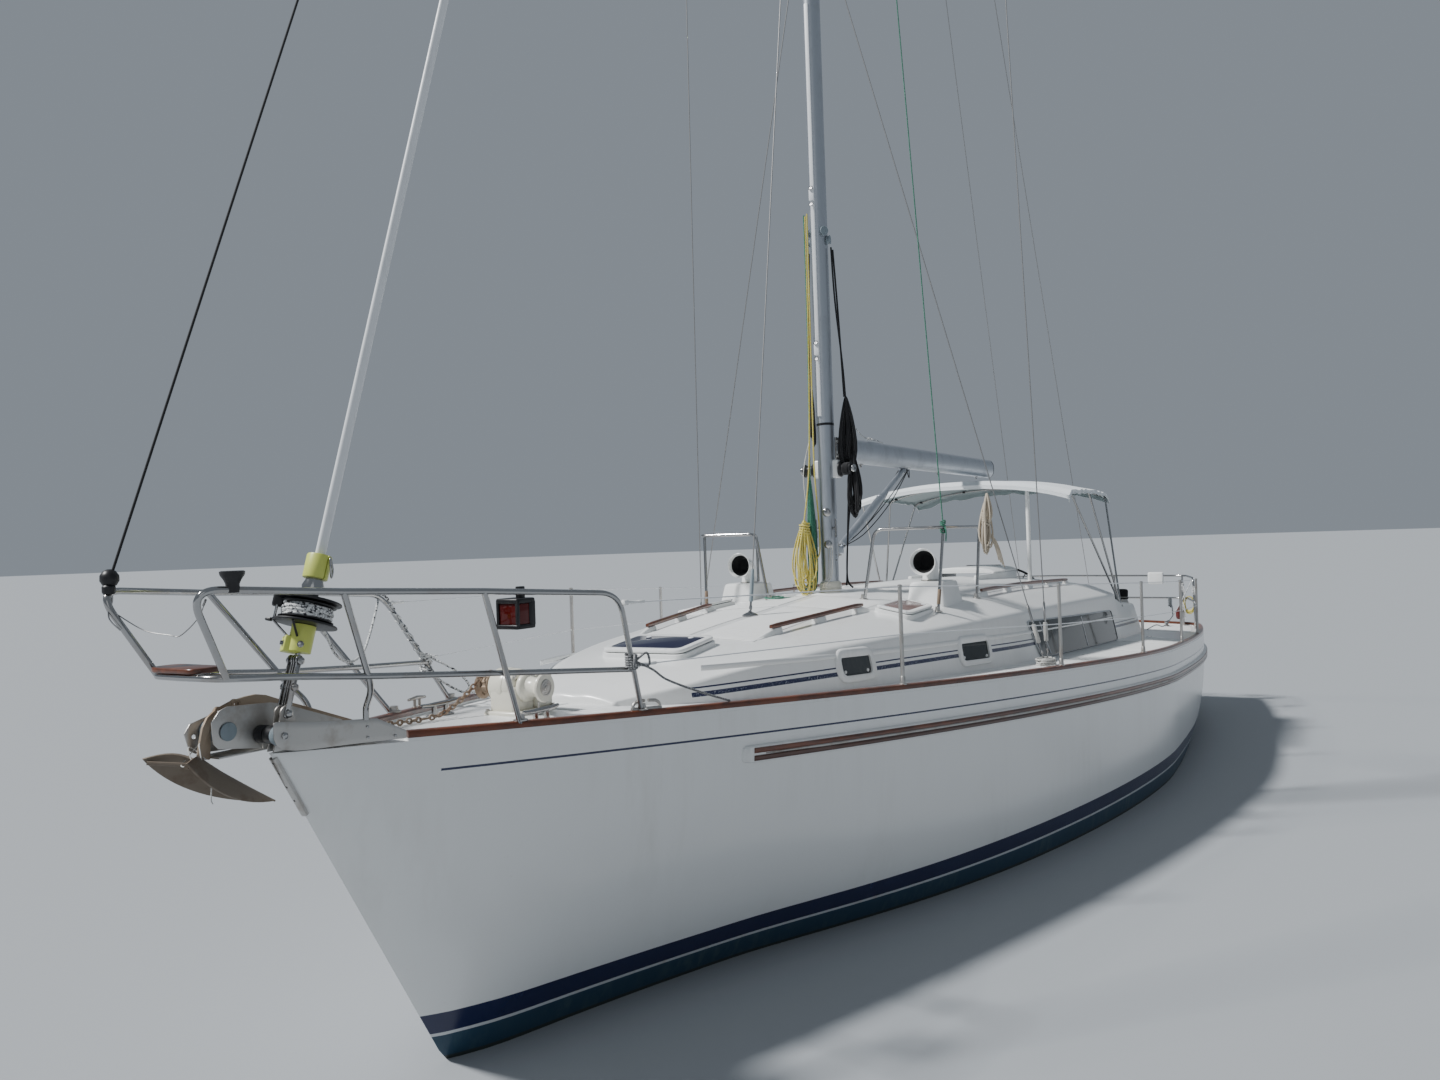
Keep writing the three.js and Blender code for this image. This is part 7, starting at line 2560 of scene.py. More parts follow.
def green_halyard():
    """Green halyard from high on the mast to the top of the port guard bar, with its knot."""
    foot = Vector((1.57, 1.047, 2.44))
    head = Vector((1.27, 0.074, 17.95))
    knot = []
    for k in range(60):
        a = 2 * math.pi * k / 11
        knot.append(foot + Vector((0.016 * math.cos(a), 0.02 * math.sin(a),
                                   0.035 - 0.0016 * k + 0.004 * math.sin(k))))
    tail = curved([foot + Vector((0.005, 0.014, 0)), foot + Vector((0.02, 0.03, -0.05)),
                   foot + Vector((0.008, 0.022, -0.12))])
    return merged([rod(foot + Vector((0, 0, 0.03)), head, 0.0048, sides=8), tubes([knot, tail], 0.0055, 1)],
                  50)


# Ropes at the mast


class BuildMastRopes(bpy.types.Operator):
    """Halyards and coiled lines that hang on the mast."""
    bl_idname = "yacht.mast_ropes"
    bl_label = "Ropes at the mast"

    def execute(self, context):
        fit(black_hanks(), "black_hanks", "rope_black")
        fit(yellow_hank(), "yellow_hank", "rope_yellow")
        fit(green_hank(), "green_hank", "rope_green")
        fit(pale_lines(), "pale_lines", "rope_white")
        return {"FINISHED"}


def hank(top, length, spread, loops, seed, radius, wraps=0.0):
    """Loops of line that hang from one point, bunched at the top, with wraps round their neck."""
    rng = random.Random(seed)
    routes = []
    for k in range(loops):
        share = (k + 0.5) / loops
        turn = rng.uniform(0, math.pi)
        wide = spread * (0.35 + 0.65 * rng.random())
        deep = length * (0.78 + 0.22 * share)
        out = Vector((math.cos(turn), math.sin(turn), 0))
        shift = Vector((rng.uniform(-0.5, 0.5) * spread * 0.5, rng.uniform(-0.5, 0.5) * spread * 0.5, 0))
        route = []
        for j in range(21):
            t = j / 20
            a = 2 * math.pi * t
            narrow = 0.28 + 0.72 * (0.5 - 0.5 * math.cos(a)) ** 0.8
            route.append(top + shift * (0.5 - 0.5 * math.cos(a)) + out * wide * math.sin(a) * narrow * 0.6
                         + Vector((0, 0, -deep * (0.5 - 0.5 * math.cos(a)))))
        routes.append(route)
    if wraps:
        middle = top + Vector((0, 0, -length * wraps))
        turns = []
        for j in range(90):
            a = 2 * math.pi * j / 15
            turns.append(middle + Vector((0.036 * math.cos(a), 0.03 * math.sin(a), 0.045 - 0.001 * j)))
        routes.append(turns)
    return tubes(routes, radius, 1)


def black_hanks():
    """Two hanks of black halyard to port and one to starboard, their falls and the turns on the winch."""
    upper = Vector((1.24, 0.15, 3.52))
    lower = Vector((1.25, 0.2, 3.05))
    pieces = [hank(upper, 0.58, 0.14, 15, 3, 0.0085, 0.62), hank(lower, 0.52, 0.13, 14, 5, 0.0085)]
    falls = [
        curved([(1.29, 0.1, 4.72), (1.27, 0.12, 4.2), (1.25, 0.14, 3.52)]),
        curved([(1.3, 0.09, 4.74), (1.29, 0.105, 4.3), (1.27, 0.15, 3.7), (1.28, 0.185, 3.02)]),
        curved([(1.27, 0.17, 2.9), (1.28, 0.15, 2.5), (1.285, 0.13, 2.1), (1.27, 0.115, 1.98)]),
        curved([(1.26, 0.18, 2.75), (1.265, 0.14, 2.4), (1.26, 0.12, 2.05), (1.2, 0.14, 1.96)]),
    ]
    pieces.append(tubes(falls, 0.0075, 1))
    pieces.append(hank(Vector((1.34, -0.11, 3.62)), 0.5, 0.06, 7, 8, 0.0075))
    pieces.append(tubes([curved([(1.36, -0.08, 4.7), (1.36, -0.1, 4.1), (1.345, -0.11, 3.6)])],
                        0.0075, 1))
    for k in range(5):
        ring = [Vector((WINCH["x"] + 0.047 * math.cos(t), 0.148 + 0.009 * k,
                        WINCH["z"] + 0.047 * math.sin(t)))
                for t in [2 * math.pi * j / 20 for j in range(20)]]
        pieces.append(tubes([ring], 0.005, 1, True))
    return merged(pieces, 60)


YELLOW_TOP = Vector((1.545, -0.115, 2.52))


def yellow_hank():
    """Yellow halyard down the mast's front and its hank with wraps, hung low with long loops."""
    pieces = [hank(YELLOW_TOP, 0.62, 0.24, 16, 12, 0.0065)]
    wraps = []
    for j in range(110):
        a = 2 * math.pi * j / 13
        wraps.append(YELLOW_TOP + Vector((0.036 * math.cos(a), 0.04 * math.sin(a), -0.02 - 0.0016 * j)))
    falls = [
        curved([(1.452, -0.045, 5.0), (1.448, -0.05, 4.2), (1.45, -0.055, 3.4), (1.46, -0.05, 2.9),
                (1.44, -0.035, 2.5), (1.46, -0.03, 2.25), (1.49, -0.08, 2.2)]),
        curved([(1.455, -0.06, 4.98), (1.452, -0.068, 4.0), (1.47, -0.09, 3.0), YELLOW_TOP]),
    ]
    pieces.append(tubes([wraps, *falls], 0.0065, 1))
    return merged(pieces, 60)


def green_hank():
    """Green halyard beside the yellow one, bunched behind it, with its end along the roof."""
    top = Vector((1.46, -0.095, 2.86))
    pieces = [hank(top, 0.92, 0.1, 12, 21, 0.0065)]
    roof = roof_z(1.7, -0.3)
    falls = [
        curved([(1.425, -0.085, 5.0), (1.42, -0.09, 4.0), top]),
        curved([(1.44, -0.12, 2.1), (1.52, -0.16, roof + 0.02), (1.68, -0.2, roof + 0.012),
                (1.78, -0.3, roof + 0.012), (1.7, -0.42, roof + 0.012), (1.55, -0.4, roof + 0.012),
                (1.6, -0.3, roof + 0.014), (1.74, -0.24, roof + 0.016)]),
    ]
    pieces.append(tubes(falls, 0.0065, 1))
    return merged(pieces, 60)


def pale_lines():
    """Thin pale lines by the mast's foot: tack line with its loops and lashing."""
    roof = roof_z(MAST["x"], 0.0)
    routes = []
    for k in range(3):
        y = 0.03 + 0.02 * k
        routes.append(curved([(1.42, y, 2.3), (1.445 + 0.01 * k, y + 0.01, 2.1),
                              (1.43, y - 0.03, roof + 0.09), (1.45, y - 0.05, roof + 0.04)]))
    routes.append(curved([(1.46, -0.09, 3.15), (1.5, -0.13, 2.9), (1.47, -0.12, 2.62),
                          (1.44, -0.1, 2.8), (1.452, -0.09, 3.1)]))
    return smooth(tubes(routes, 0.0042, 1), 60)


# Hatches, cowls and handrails


def flat(outline, low, high, edge=0.0015):
    """A level plate: its outline as x and y, from low to high."""
    obj = plate([(x, -y) for x, y in outline], low, high, edge)
    obj.data.transform(Matrix.Rotation(math.pi / 2, 4, "X"))
    return obj


def oblong(half_l, half_w, radius):
    corners = [(half_l, half_w), (-half_l, half_w), (-half_l, -half_w), (half_l, -half_w)]
    return [tuple(p) for p in round_corners(corners, radius, 6)]


class BuildHatches(bpy.types.Operator):
    """Fore hatch, side hatches, sliding companion hatch and its washboard."""
    bl_idname = "yacht.hatches"
    bl_label = "Hatches"

    def execute(self, context):
        for name, spec, tint in (("fore_hatch", FORE_HATCH, "blue_lens"),
                                 ("side_hatch", SIDE_HATCH, "brown_lens")):
            place = hatch_place(spec["x"], spec["y"])
            for piece, slot, look in ((lid_frame(spec), "gelcoat", "gelcoat"), (lid_lens(spec), tint, tint),
                                      (lid_seal(spec), "black_plastic", "black"),
                                      (lid_handles(spec), "alloy", "foil")):
                piece.data.transform(place)
                label = name + "_lens" if look == tint else name + "_" + look
                shown = [name] if look == "gelcoat" else []
                if name == "fore_hatch":
                    fit(piece, label, look, "fore_hatch", shown)
                else:
                    other = opposite(piece)
                    fit(piece, label + "_port", look, "side_hatch_port", [n + "_port" for n in shown])
                    fit(other, label + "_stbd", look, "side_hatch_stbd", [n + "_stbd" for n in shown])
        for name, spec in (("fore_hatch_seat", FORE_HATCH), ("side_hatch_seat", SIDE_HATCH)):
            seat_ring = hatch_seat(spec)
            seat_ring.data.transform(hatch_place(spec["x"], spec["y"]))
            if spec["y"]:
                fit_pair(seat_ring, name, "gelcoat")
            else:
                fit(seat_ring, name, "gelcoat")
        fit(companion_lid(), "companion_lid", "gelcoat", "companion_hatch", ["companion_hatch"])
        fit(companion_grab(), "companion_grab", "teak", "companion_hatch")
        fit(washboard(), "companion_board", "wood_dark", replaces=["washboard"])
        fit(companion_trim(), "companion_trim", "teak")
        return {"FINISHED"}


def lid_levels(spec):
    low = spec["frame"] + 0.0012
    return low, low + spec["lid"]


def hatch_seat(spec):
    """Moulded white frame on the roof, on which the lid rests."""
    half_l, half_w = spec["length"] / 2 + 0.004, spec["width"] / 2 + 0.004
    seat_ring = flat(oblong(half_l, half_w, 0.075), -0.058, spec["frame"] - 0.0005, 0.006)
    hole = flat(oblong(half_l - 0.049, half_w - 0.049, 0.045), -0.08, spec["frame"] + 0.02, 0)
    return smooth(cut(seat_ring, hole), 40)


def lid_frame(spec):
    """Rounded white frame of a hatch's lid."""
    low, high = lid_levels(spec)
    half_l, half_w = spec["length"] / 2 - 0.005, spec["width"] / 2 - 0.005
    frame = flat(oblong(half_l, half_w, 0.07), low + 0.002, high - 0.001, 0.011)
    hole = flat(oblong(half_l - 0.042, half_w - 0.042, 0.045), low - 0.02, high + 0.02, 0)
    return smooth(bevel(cut(frame, hole), 0.003, 2, 50), 40)


def lid_lens(spec):
    """Tinted pane, slightly domed, set in the lid's frame."""
    low, high = lid_levels(spec)
    half_l, half_w = spec["length"] / 2 - 0.046, spec["width"] / 2 - 0.046
    return smooth(flat(oblong(half_l, half_w, 0.042), low + 0.01, high - 0.0045, 0.003), 40)


def lid_seal(spec):
    """Dark seal under the lid."""
    low, _ = lid_levels(spec)
    half_l, half_w = spec["length"] / 2 - 0.016, spec["width"] / 2 - 0.016
    seal = flat(oblong(half_l, half_w, 0.06), low, low + 0.005, 0)
    hole = flat(oblong(half_l - 0.03, half_w - 0.03, 0.04), low - 0.02, low + 0.03, 0)
    return smooth(cut(seal, hole), 40)


def lid_handles(spec):
    """Two latches' round bosses on the pane and the hinge blocks on the lid's fore edge."""
    _, high = lid_levels(spec)
    half_l, half_w = spec["length"] / 2, spec["width"] / 2
    pieces = []
    for sign in (1, -1):
        pieces.append(turned([(0.016, 0), (0.018, 0.003), (0.014, 0.006), (0.006, 0.0065)],
                             (-half_l + 0.085, sign * half_w * 0.52, high - 0.006)))
        pieces.append(block((half_l - 0.034, sign * half_w * 0.52 - 0.03, high - 0.016),
                            (half_l - 0.008, sign * half_w * 0.52 + 0.03, high), 0.005, 3))
    return merged(pieces)


# Height of the sliding lid's underside above the roof beside it
LID_RISE = 0.0608
# Sections of the sliding lid from its aft end: x, height of its crown, how far its outline is drawn in
LID_RINGS = ((-2.918, 0.052, 0.01), (-2.912, 0.058, 0.003), (-2.9, 0.06, 0), (-2.5, 0.062, 0),
             (-2.07, 0.0625, 0), (-2.058, 0.0605, 0.003), (-2.052, 0.054, 0.01))


def companion_lid():
    """Crowned sliding lid with turned-down sides."""
    c = COMPANION
    z = cad_roof_z(c["fore"], c["half"]) + LID_RISE
    edge = c["half"] + 0.038
    rings = []
    for x, lift, inset in LID_RINGS:
        ring = [(x, -edge + inset, z + inset * 0.2)]
        for k in range(17):
            t = -1 + k / 8
            rise = 0.026 + (lift - 0.026) * (1 - abs(t) ** 2.6) - 0.012 * abs(t) ** 14
            ring.append((x, (edge - inset) * t, z + rise - inset * 0.3))
        ring.append((x, edge - inset, z + inset * 0.2))
        rings.append(ring)
    return smooth(loft(rings), 40)


def companion_grab():
    """Teak grab rail across the lid's aft end."""
    z = cad_roof_z(COMPANION["fore"], COMPANION["half"]) + LID_RISE + 0.056
    return smooth(block((-2.9, -0.2, z), (-2.872, 0.2, z + 0.0065), 0.003), 40)


def washboard():
    """Dropboard with its grooves and louvres, closing the companionway."""
    c = COMPANION
    top = cad_roof_z(c["aft"] + 0.03, c["half"]) - 0.03
    board = block((-2.8955, -0.3295, 1.2305), (-2.8645, 0.3295, top), 0.004)
    grooves = []
    for z in (1.42, 1.62):
        grooves.append(block((-2.899, -0.34, z), (-2.8915, 0.34, z + 0.006), 0))
    for k in range(5):
        z = 1.47 + 0.025 * k
        grooves.append(block((-2.899, -0.12, z), (-2.889, 0.12, z + 0.01), 0))
    return smooth(cut(board, *grooves), 40)


def companion_trim():
    """Teak strips on both sides of the companionway."""
    c = COMPANION
    top = cad_roof_z(c["aft"] + 0.03, c["half"]) - 0.03
    pieces = []
    for sign in (1, -1):
        y = sorted((sign * (c["half"] + 0.002), sign * (c["half"] + 0.05)))
        pieces.append(block((-2.912, y[0], 1.24), (-2.9, y[1], top), 0.004))
    return merged(pieces)


class BuildCowls(bpy.types.Operator):
    """Dorade boxes with their cowl vents, one beside each side of the mast."""
    bl_idname = "yacht.cowls"
    bl_label = "Dorades"

    def execute(self, context):
        fit_pair(dorade_box(), "dorade_box", "gelcoat", ["dorade"])
        fit_pair(cowl(), "cowl", "gelcoat")
        # The near-black mouth is painted shade inside each cowl.
        fit_pair(cowl_mouth(), "cowl_mouth", "dark")
        fit_pair(cowl_ring(), "cowl_ring", "brushed")
        return {"FINISHED"}


COWL = Vector((1.22, 0.815, 2.01))
# The box from its foot up: height, ends along X, sides along Y
DORADE_LEVELS = (
    (1.74, 0.965, 1.44, 0.68, 1.0), (1.86, 0.98, 1.432, 0.684, 0.994), (1.985, 1.016, 1.402, 0.694, 0.974),
    (2.003, 1.024, 1.394, 0.702, 0.966), (2.01, 1.04, 1.378, 0.718, 0.95),
)


def dorade_box():
    """Moulded box with sloped sides, its aft face leaning forward."""
    rings = []
    for z, x0, x1, y0, y1 in DORADE_LEVELS:
        ring = round_corners([(x1, y1), (x0, y1), (x0, y0), (x1, y0)], 0.045, 5)
        rings.append([(p.x, p.y, max(z, smooth_roof_z(p.x, p.y) - 0.004) if z < 1.9 else z) for p in ring])
    return smooth(loft(rings), 35)


def horn(stations, sides=44):
    """Body through rings given as centre, direction and radius."""
    rings = []
    for centre, direction, radius in stations:
        turn = Vector((0, 1, 0)).cross(Vector(direction)).normalized()
        rings.append([tuple(Vector(centre) + Vector((0, 1, 0)) * radius * math.cos(a) + turn * radius
                            * math.sin(a))
                      for a in [2 * math.pi * k / sides for k in range(sides)]])
    return loft(rings)


def cowl_path():
    """Centres, directions and radii from the box up through the bend to the mouth."""
    x, y, z = COWL
    stations = [((x, y, z - 0.004), (0, 0, 1), 0.068), ((x, y, z + 0.03), (0, 0, 1), 0.064),
                ((x, y, z + 0.05), (0, 0, 1), 0.0625)]
    for k in range(7):
        a = math.pi / 2 * k / 6
        centre = (x + 0.075 * (1 - math.cos(a)), y, z + 0.068 + 0.084 * math.sin(a))
        stations.append((centre, (math.sin(a), 0, math.cos(a)), 0.0625 + 0.005 * k / 6))
    for along, radius in ((0.02, 0.07), (0.045, 0.077), (0.07, 0.086), (0.09, 0.0955), (0.1, 0.102)):
        stations.append(((x + 0.075 + along, y, z + 0.152), (1, 0, 0), radius))
    return stations


def cowl():
    stations = cowl_path()
    x, y, z = stations[-1][0]
    stations += [((x + 0.005, y, z), (1, 0, 0), 0.1048), ((x + 0.006, y, z), (1, 0, 0), 0.103),
                 ((x + 0.003, y, z), (1, 0, 0), 0.0985), ((x - 0.02, y, z), (1, 0, 0), 0.09),
                 ((x - 0.07, y, z), (1, 0, 0), 0.07), ((x - 0.11, y, z), (1, 0, 0), 0.062)]
    return smooth(horn(stations), 50)


def cowl_mouth():
    """Near-black sheet inside the cowl's mouth, closed by a disc at its throat: painted shade of the dark
    duct.
    """
    x, y, z = cowl_path()[-1][0]
    outer = [((x - 0.108, y, z), (1, 0, 0), 0.061), ((x - 0.07, y, z), (1, 0, 0), 0.0695),
             ((x - 0.026, y, z), (1, 0, 0), 0.0872)]
    inner = [(a, d, r - 0.002) for a, d, r in reversed(outer)]
    return smooth(horn([*outer, *inner[1:-1], ((x - 0.104, y, z), (1, 0, 0), 0.05)]), 50)


def cowl_ring():
    """Steel deck ring under the cowl."""
    return smooth(turned([(0.068, 0), (0.078, 0.001), (0.078, 0.006), (0.068, 0.01)], COWL, sides=40), 40)


class BuildHandrails(bpy.types.Operator):
    """Teak handrails on the coachroof with their moulded white feet."""
    bl_idname = "yacht.handrails"
    bl_label = "Handrails"

    def execute(self, context):
        for label, start, end, feet in HANDRAILS:
            fit_pair(handrail_bar(start, end), "handrail_" + label + "_bar", "teak",
                     ["handrail_" + label])
            fit_pair(handrail_feet(start, end, feet), "handrail_" + label + "_feet", "gelcoat")
        return {"FINISHED"}


# Handrails: name, x and y of both ends, number of feet; then the bar's height above the roof
HANDRAILS = (("fore", (3.29, 0.48), (2.22, 0.63), 3), ("aft", (0.48, 1.0), (-2.35, 1.04), 5))
RAIL_RISE = 0.052


def handrail_bar(start, end):
    """Rounded teak bar that follows the roof."""
    along = (Vector(end) - Vector(start)).normalized()
    rings = []
    for k in range(25):
        t = k / 24
        place = Vector(start).lerp(Vector(end), t) + along * (-0.03 if k == 0 else 0.03 if k == 24 else 0)
        z = cad_roof_z(*Vector(start).lerp(Vector(end), t)) + RAIL_RISE
        shrink = 0.72 if k in (0, 24) else 1
        side = Vector((-along.y, along.x, 0))
        ring = []
        for j in range(16):
            a = 2 * math.pi * j / 16
            wide = math.copysign(abs(math.cos(a)) ** 0.7, math.cos(a)) * 0.0155 * shrink
            tall = math.copysign(abs(math.sin(a)) ** 0.7, math.sin(a)) * 0.0165 * shrink
            ring.append(tuple(Vector((place.x, place.y, z + tall)) + side * wide))
        rings.append(ring)
    return smooth(loft(rings), 50)


def handrail_feet(start, end, feet):
    """White blocks under the bar; the end ones run out in long points."""
    start, end = Vector(start), Vector(end)
    along = (end - start).normalized()
    side = Vector((-along.y, along.x))
    pieces = []
    for i in range(feet):
        middle = start.lerp(end, i / (feet - 1))
        reach = {0: (-0.2, 0.075), feet - 1: (-0.075, 0.16)}.get(i, (-0.06, 0.06))
        rings = []
        for k in range(9):
            t = k / 8
            distance = reach[0] + (reach[1] - reach[0]) * t
            place = middle + along * distance
            if i == 0:
                rise = min(1, 0.1 + max(0, (distance - reach[0]) / 0.2))
            elif i == feet - 1:
                rise = min(1, 0.1 + max(0, (reach[1] - distance) / 0.16))
            else:
                rise = 1
            foot = cad_roof_z(place.x, place.y) - 0.01
            top = cad_roof_z(place.x, place.y) + (RAIL_RISE - 0.014) * rise
            low, high = 0.024, 0.017 * (0.35 + 0.65 * rise)
            ring = [(-low, foot), (-low, foot + 0.014), (-high, top - 0.004), (-high * 0.7, top),
                    (high * 0.7, top), (high, top - 0.004), (low, foot + 0.014), (low, foot)]
            rings.append([(place.x + side.x * a, place.y + side.y * a, z) for a, z in ring])
        pieces.append(loft(rings))
    return smooth(bevel(joined(pieces), 0.003, 2, 50), 40)


# Deck fittings and guard wires


class BuildDeckGear(bpy.types.Operator):
    """Cleats, chocks, guard bars, filler caps and the furling line along the deck."""
    bl_idname = "yacht.deck_gear"
    bl_label = "Deck gear"

    def execute(self, context):
        fit_pair(horn_cleat(5.45, 0.33), "horn_cleat_bow", "steel", ["bow_cleat"])
        fit_pair(horn_cleat(-5.9, 1.5), "horn_cleat_stern", "steel", ["stern_cleat"])
        fit(rail_cleat(), "rail_cleat", "brushed")
        fit(bow_chock(), "bow_chock", "brushed")
        fit_pair(guard_bar(), "mast_guard", "steel", ["guard_bar"])
        fit_pair(guard_feet(), "mast_guard_feet", "brushed")
        fit_pair(guard_rust(), "mast_guard_rust", "rusty")
        fit(deck_caps(), "deck_caps", "steel")
        fit(furling_line(), "furling_line", "rope_fleck")
        fit(dark_knot(), "dark_knot", "rope_grey")
        fit(shroud_hanks(), "shroud_hanks", "rope_cream")
        return {"FINISHED"}


# Aft half of a horn cleat's bar: share of its half-length, radius and lift
HORN_HALF = ((-1, 0.006, 0.006), (-0.985, 0.0095, 0.005), (-0.7, 0.0115, 0.001), (-0.35, 0.013, 0))


def horn_cleat(x, y):
    """Cleat with two legs, a long base and swept horns."""
    z = deck_z(x, y)
    rings = []
    for t, radius, lift in (*HORN_HALF, *[(-t, radius, lift) for t, radius, lift in reversed(HORN_HALF)]):
        rings.append(((x + 0.13 * t, y, z + 0.061 + lift), (1, 0, 0), radius))
    pieces = [horn(rings, 16)]
    for s in (-1, 1):
        pieces.append(rod((x + s * 0.042, y, z), (x + s * 0.042, y, z + 0.058), 0.0145, 0.0125))
    pieces.append(block((x - 0.08, y - 0.024, z), (x + 0.08, y + 0.024, z + 0.0095), 0.004))
    return merged(pieces)


RAIL_MIDDLE = 0.027


def rail_place(x):
    """Place on top of the toe rail at x."""
    return Vector((x, half_breadth(x) - RAIL_MIDDLE, sheer(x)))


def rail_cleat():
    """Small horn cleat that stands on the starboard toe rail."""
    p, next_p = mirrored([rail_place(5.45), rail_place(5.65)])
    ahead = (next_p - p).normalized()
    pieces = [rod(p + Vector((0, 0, 0.045)) - ahead * 0.1, p + Vector((0, 0, 0.05)), 0.007, 0.0105),
              rod(p + Vector((0, 0, 0.05)), p + Vector((0, 0, 0.045)) + ahead * 0.1, 0.0105, 0.007)]
    for s in (-1, 1):
        pieces.append(rod(p + ahead * 0.028 * s - Vector((0, 0, 0.002)),
                          p + ahead * 0.028 * s + Vector((0, 0, 0.045)), 0.0085))
        pieces.append(turned([(0.016, -0.002), (0.016, 0.004), (0.009, 0.007)], p + ahead * 0.028 * s,
                             sides=16))
    return merged(pieces)


def bow_chock():
    """Open chock with two curled horns on the toe rail."""
    p = rail_place(5.02)
    ahead = (rail_place(5.22) - p).normalized()
    up = Vector((0, 0, 1))
    pieces = [rod(p - ahead * 0.09 + up * 0.004, p + ahead * 0.09 + up * 0.004, 0.011)]
    for s in (-1, 1):
        route = [p + ahead * 0.085 * s + up * 0.004, p + ahead * 0.078 * s + up * 0.028,
                 p + ahead * 0.055 * s + up * 0.043,
                 p + ahead * 0.012 * s + up * 0.046]
        pieces.append(tubes([curved(route)], 0.0085, 3))
    return merged(pieces, 50)


GUARD_BAR = [(1.63, 0.41, 1.83), (1.63, 0.52, 2.425), (1.63, 1.05, 2.425), (0.64, 1.04, 2.425),
             (0.69, 1.01, 1.76)]
GUARD_LEG = [(1.56, 1.047, 2.425), (1.63, 1.005, 1.76)]


def on_roof(point, rise=0.0):
    return Vector((point[0], point[1], smooth_roof_z(point[0], point[1]) + rise))


def guard_bar():
    """Bent tube beside the mast: it stands on the roof at three feet."""
    route = [Vector(p) for p in GUARD_BAR]
    route[0] = route[0].lerp(route[1], 0.02)
    tube = sizes().tube * 0.95
    return merged([tubes([bent(route, 0.07, 8)], tube, 3),
                   tubes([[Vector(p) for p in GUARD_LEG]], tube * 0.96, 3)], 50)


def guard_feet():
    """Round bases under the guard bar's legs."""
    pieces = []
    for point in (GUARD_BAR[0], GUARD_BAR[-1], GUARD_LEG[1]):
        place = on_roof(point, -0.003)
        pieces.append(turned([(0.035, 0), (0.036, 0.006), (0.02, 0.012), (0.0165, 0.04), (0.0135, 0.042)],
                             place, sides=28))
    return merged(pieces)


def guard_rust():
    """Rusty sleeve at the foot of the guard bar's fore leg."""
    low, high = Vector(GUARD_LEG[1]), Vector(GUARD_LEG[0])
    line = (high - low).normalized()
    return smooth(turned([(0.0134, 0.09), (0.0142, 0.092), (0.0142, 0.2), (0.0134, 0.202)], low, line, 20),
                  40)


# Round fittings in the deck: x, y and radius
DECK_CAPS = ((6.05, -0.2, 0.04), (2.35, 1.42, 0.028), (-1.9, -1.66, 0.03), (-3.4, 1.68, 0.03),
             (5.0, -0.02, 0.036))


def deck_caps():
    """Round fittings let into the deck: fillers and the pipe for the chain."""
    pieces = []
    for x, y, radius in DECK_CAPS:
        place = Vector((x, y, deck_z(x, abs(y)) + 0.001))
        pieces.append(turned([(radius, 0), (radius * 1.04, 0.003), (radius * 0.9, 0.007),
                              (radius * 0.2, 0.008)], place,
                             sides=32))
    return merged(pieces, 35)


def furling_line():
    """Flecked line from the furler's drum, looped over the starboard rails and led aft along the deck."""
    loop = [Vector((6.5, -0.05, 2.13)), Vector((6.43, -0.07, 2.1)), Vector((6.356, -0.1, 2.041)),
            Vector((6.172, -0.25, 1.923)),
            Vector((5.961, -0.4, 1.864)), Vector((5.78, -0.52, 1.88)), Vector((5.665, -0.6, 1.938)),
            Vector((5.52, -0.7, 2.06)), Vector((5.4, -0.79, 2.17))]
    top, foot = Vector((5.4, -0.775, 2.152)), Vector((5.045, -0.64, 1.53))
    centre = top.lerp(foot, 0.62)
    knot = []
    for k in range(46):
        a = 2 * math.pi * k / 9
        knot.append(centre + Vector((0.03 * math.cos(a), 0.032 * math.sin(a), 0.045 * math.cos(a * 0.37))))
    tail = [centre + Vector((0.02, 0.02, -0.03)), Vector((5.12, -0.64, 1.66)), Vector((5.0, -0.6, 1.585)),
            Vector((4.914, -0.6, 1.573))]
    for x in (4.6, 4.1, 3.6, 2.9, 2.2):
        y = half_breadth(x) - 0.12
        tail.append(Vector((x, -y, deck_z(x, y) + 0.008)))
    second = [centre + Vector((-0.03, 0.02, 0.02)), Vector((5.08, -0.58, 1.72)), Vector((5.0, -0.55, 1.63)),
              Vector((4.95, -0.62, 1.575))]
    spiral = []
    for k in range(64):
        t = k / 63
        a = 2 * math.pi * t * 7
        spiral.append(top.lerp(foot, t * 0.6)
                      + Vector((0.019 * math.cos(a), 0.021 * math.sin(a), 0.01 * math.cos(a))))
    return smooth(tubes([curved(loop), knot, curved(tail), curved(second), spiral], 0.0065, 2), 60)


TAIL_X = 4.5


def dark_knot():
    """Dark line made fast round the pulpit's port aft leg, with its end on the toe rail."""
    centre = Vector((5.21, 0.7, 1.81))
    wraps = []
    for k in range(60):
        a = 2 * math.pi * k / 10
        wraps.append(centre + Vector((0.026 * math.cos(a), 0.028 * math.sin(a), -0.035 + 0.0012 * k)))
    end = rail_place(TAIL_X) + Vector((0, 0, 0.006))
    tail = [centre + Vector((0, 0.03, 0)), Vector((5.1, 0.75, 1.76)),
            centre.lerp(end, 0.35) - Vector((0, 0, 0.02)),
            centre.lerp(end, 0.7) - Vector((0, 0, 0.015)), end]
    loops = []
    for turn in (0.4, 2.4):
        loops.append(curved([centre + Vector(p) for p in ((0, 0.02, 0), (0.06 * math.cos(turn), 0.06, 0.04),
                                                          (0.075 * math.cos(turn), 0.065, -0.02),
                                                          (0, 0.028, -0.012))]))
    return smooth(tubes([wraps, curved(tail), *loops], 0.0062, 2), 60)


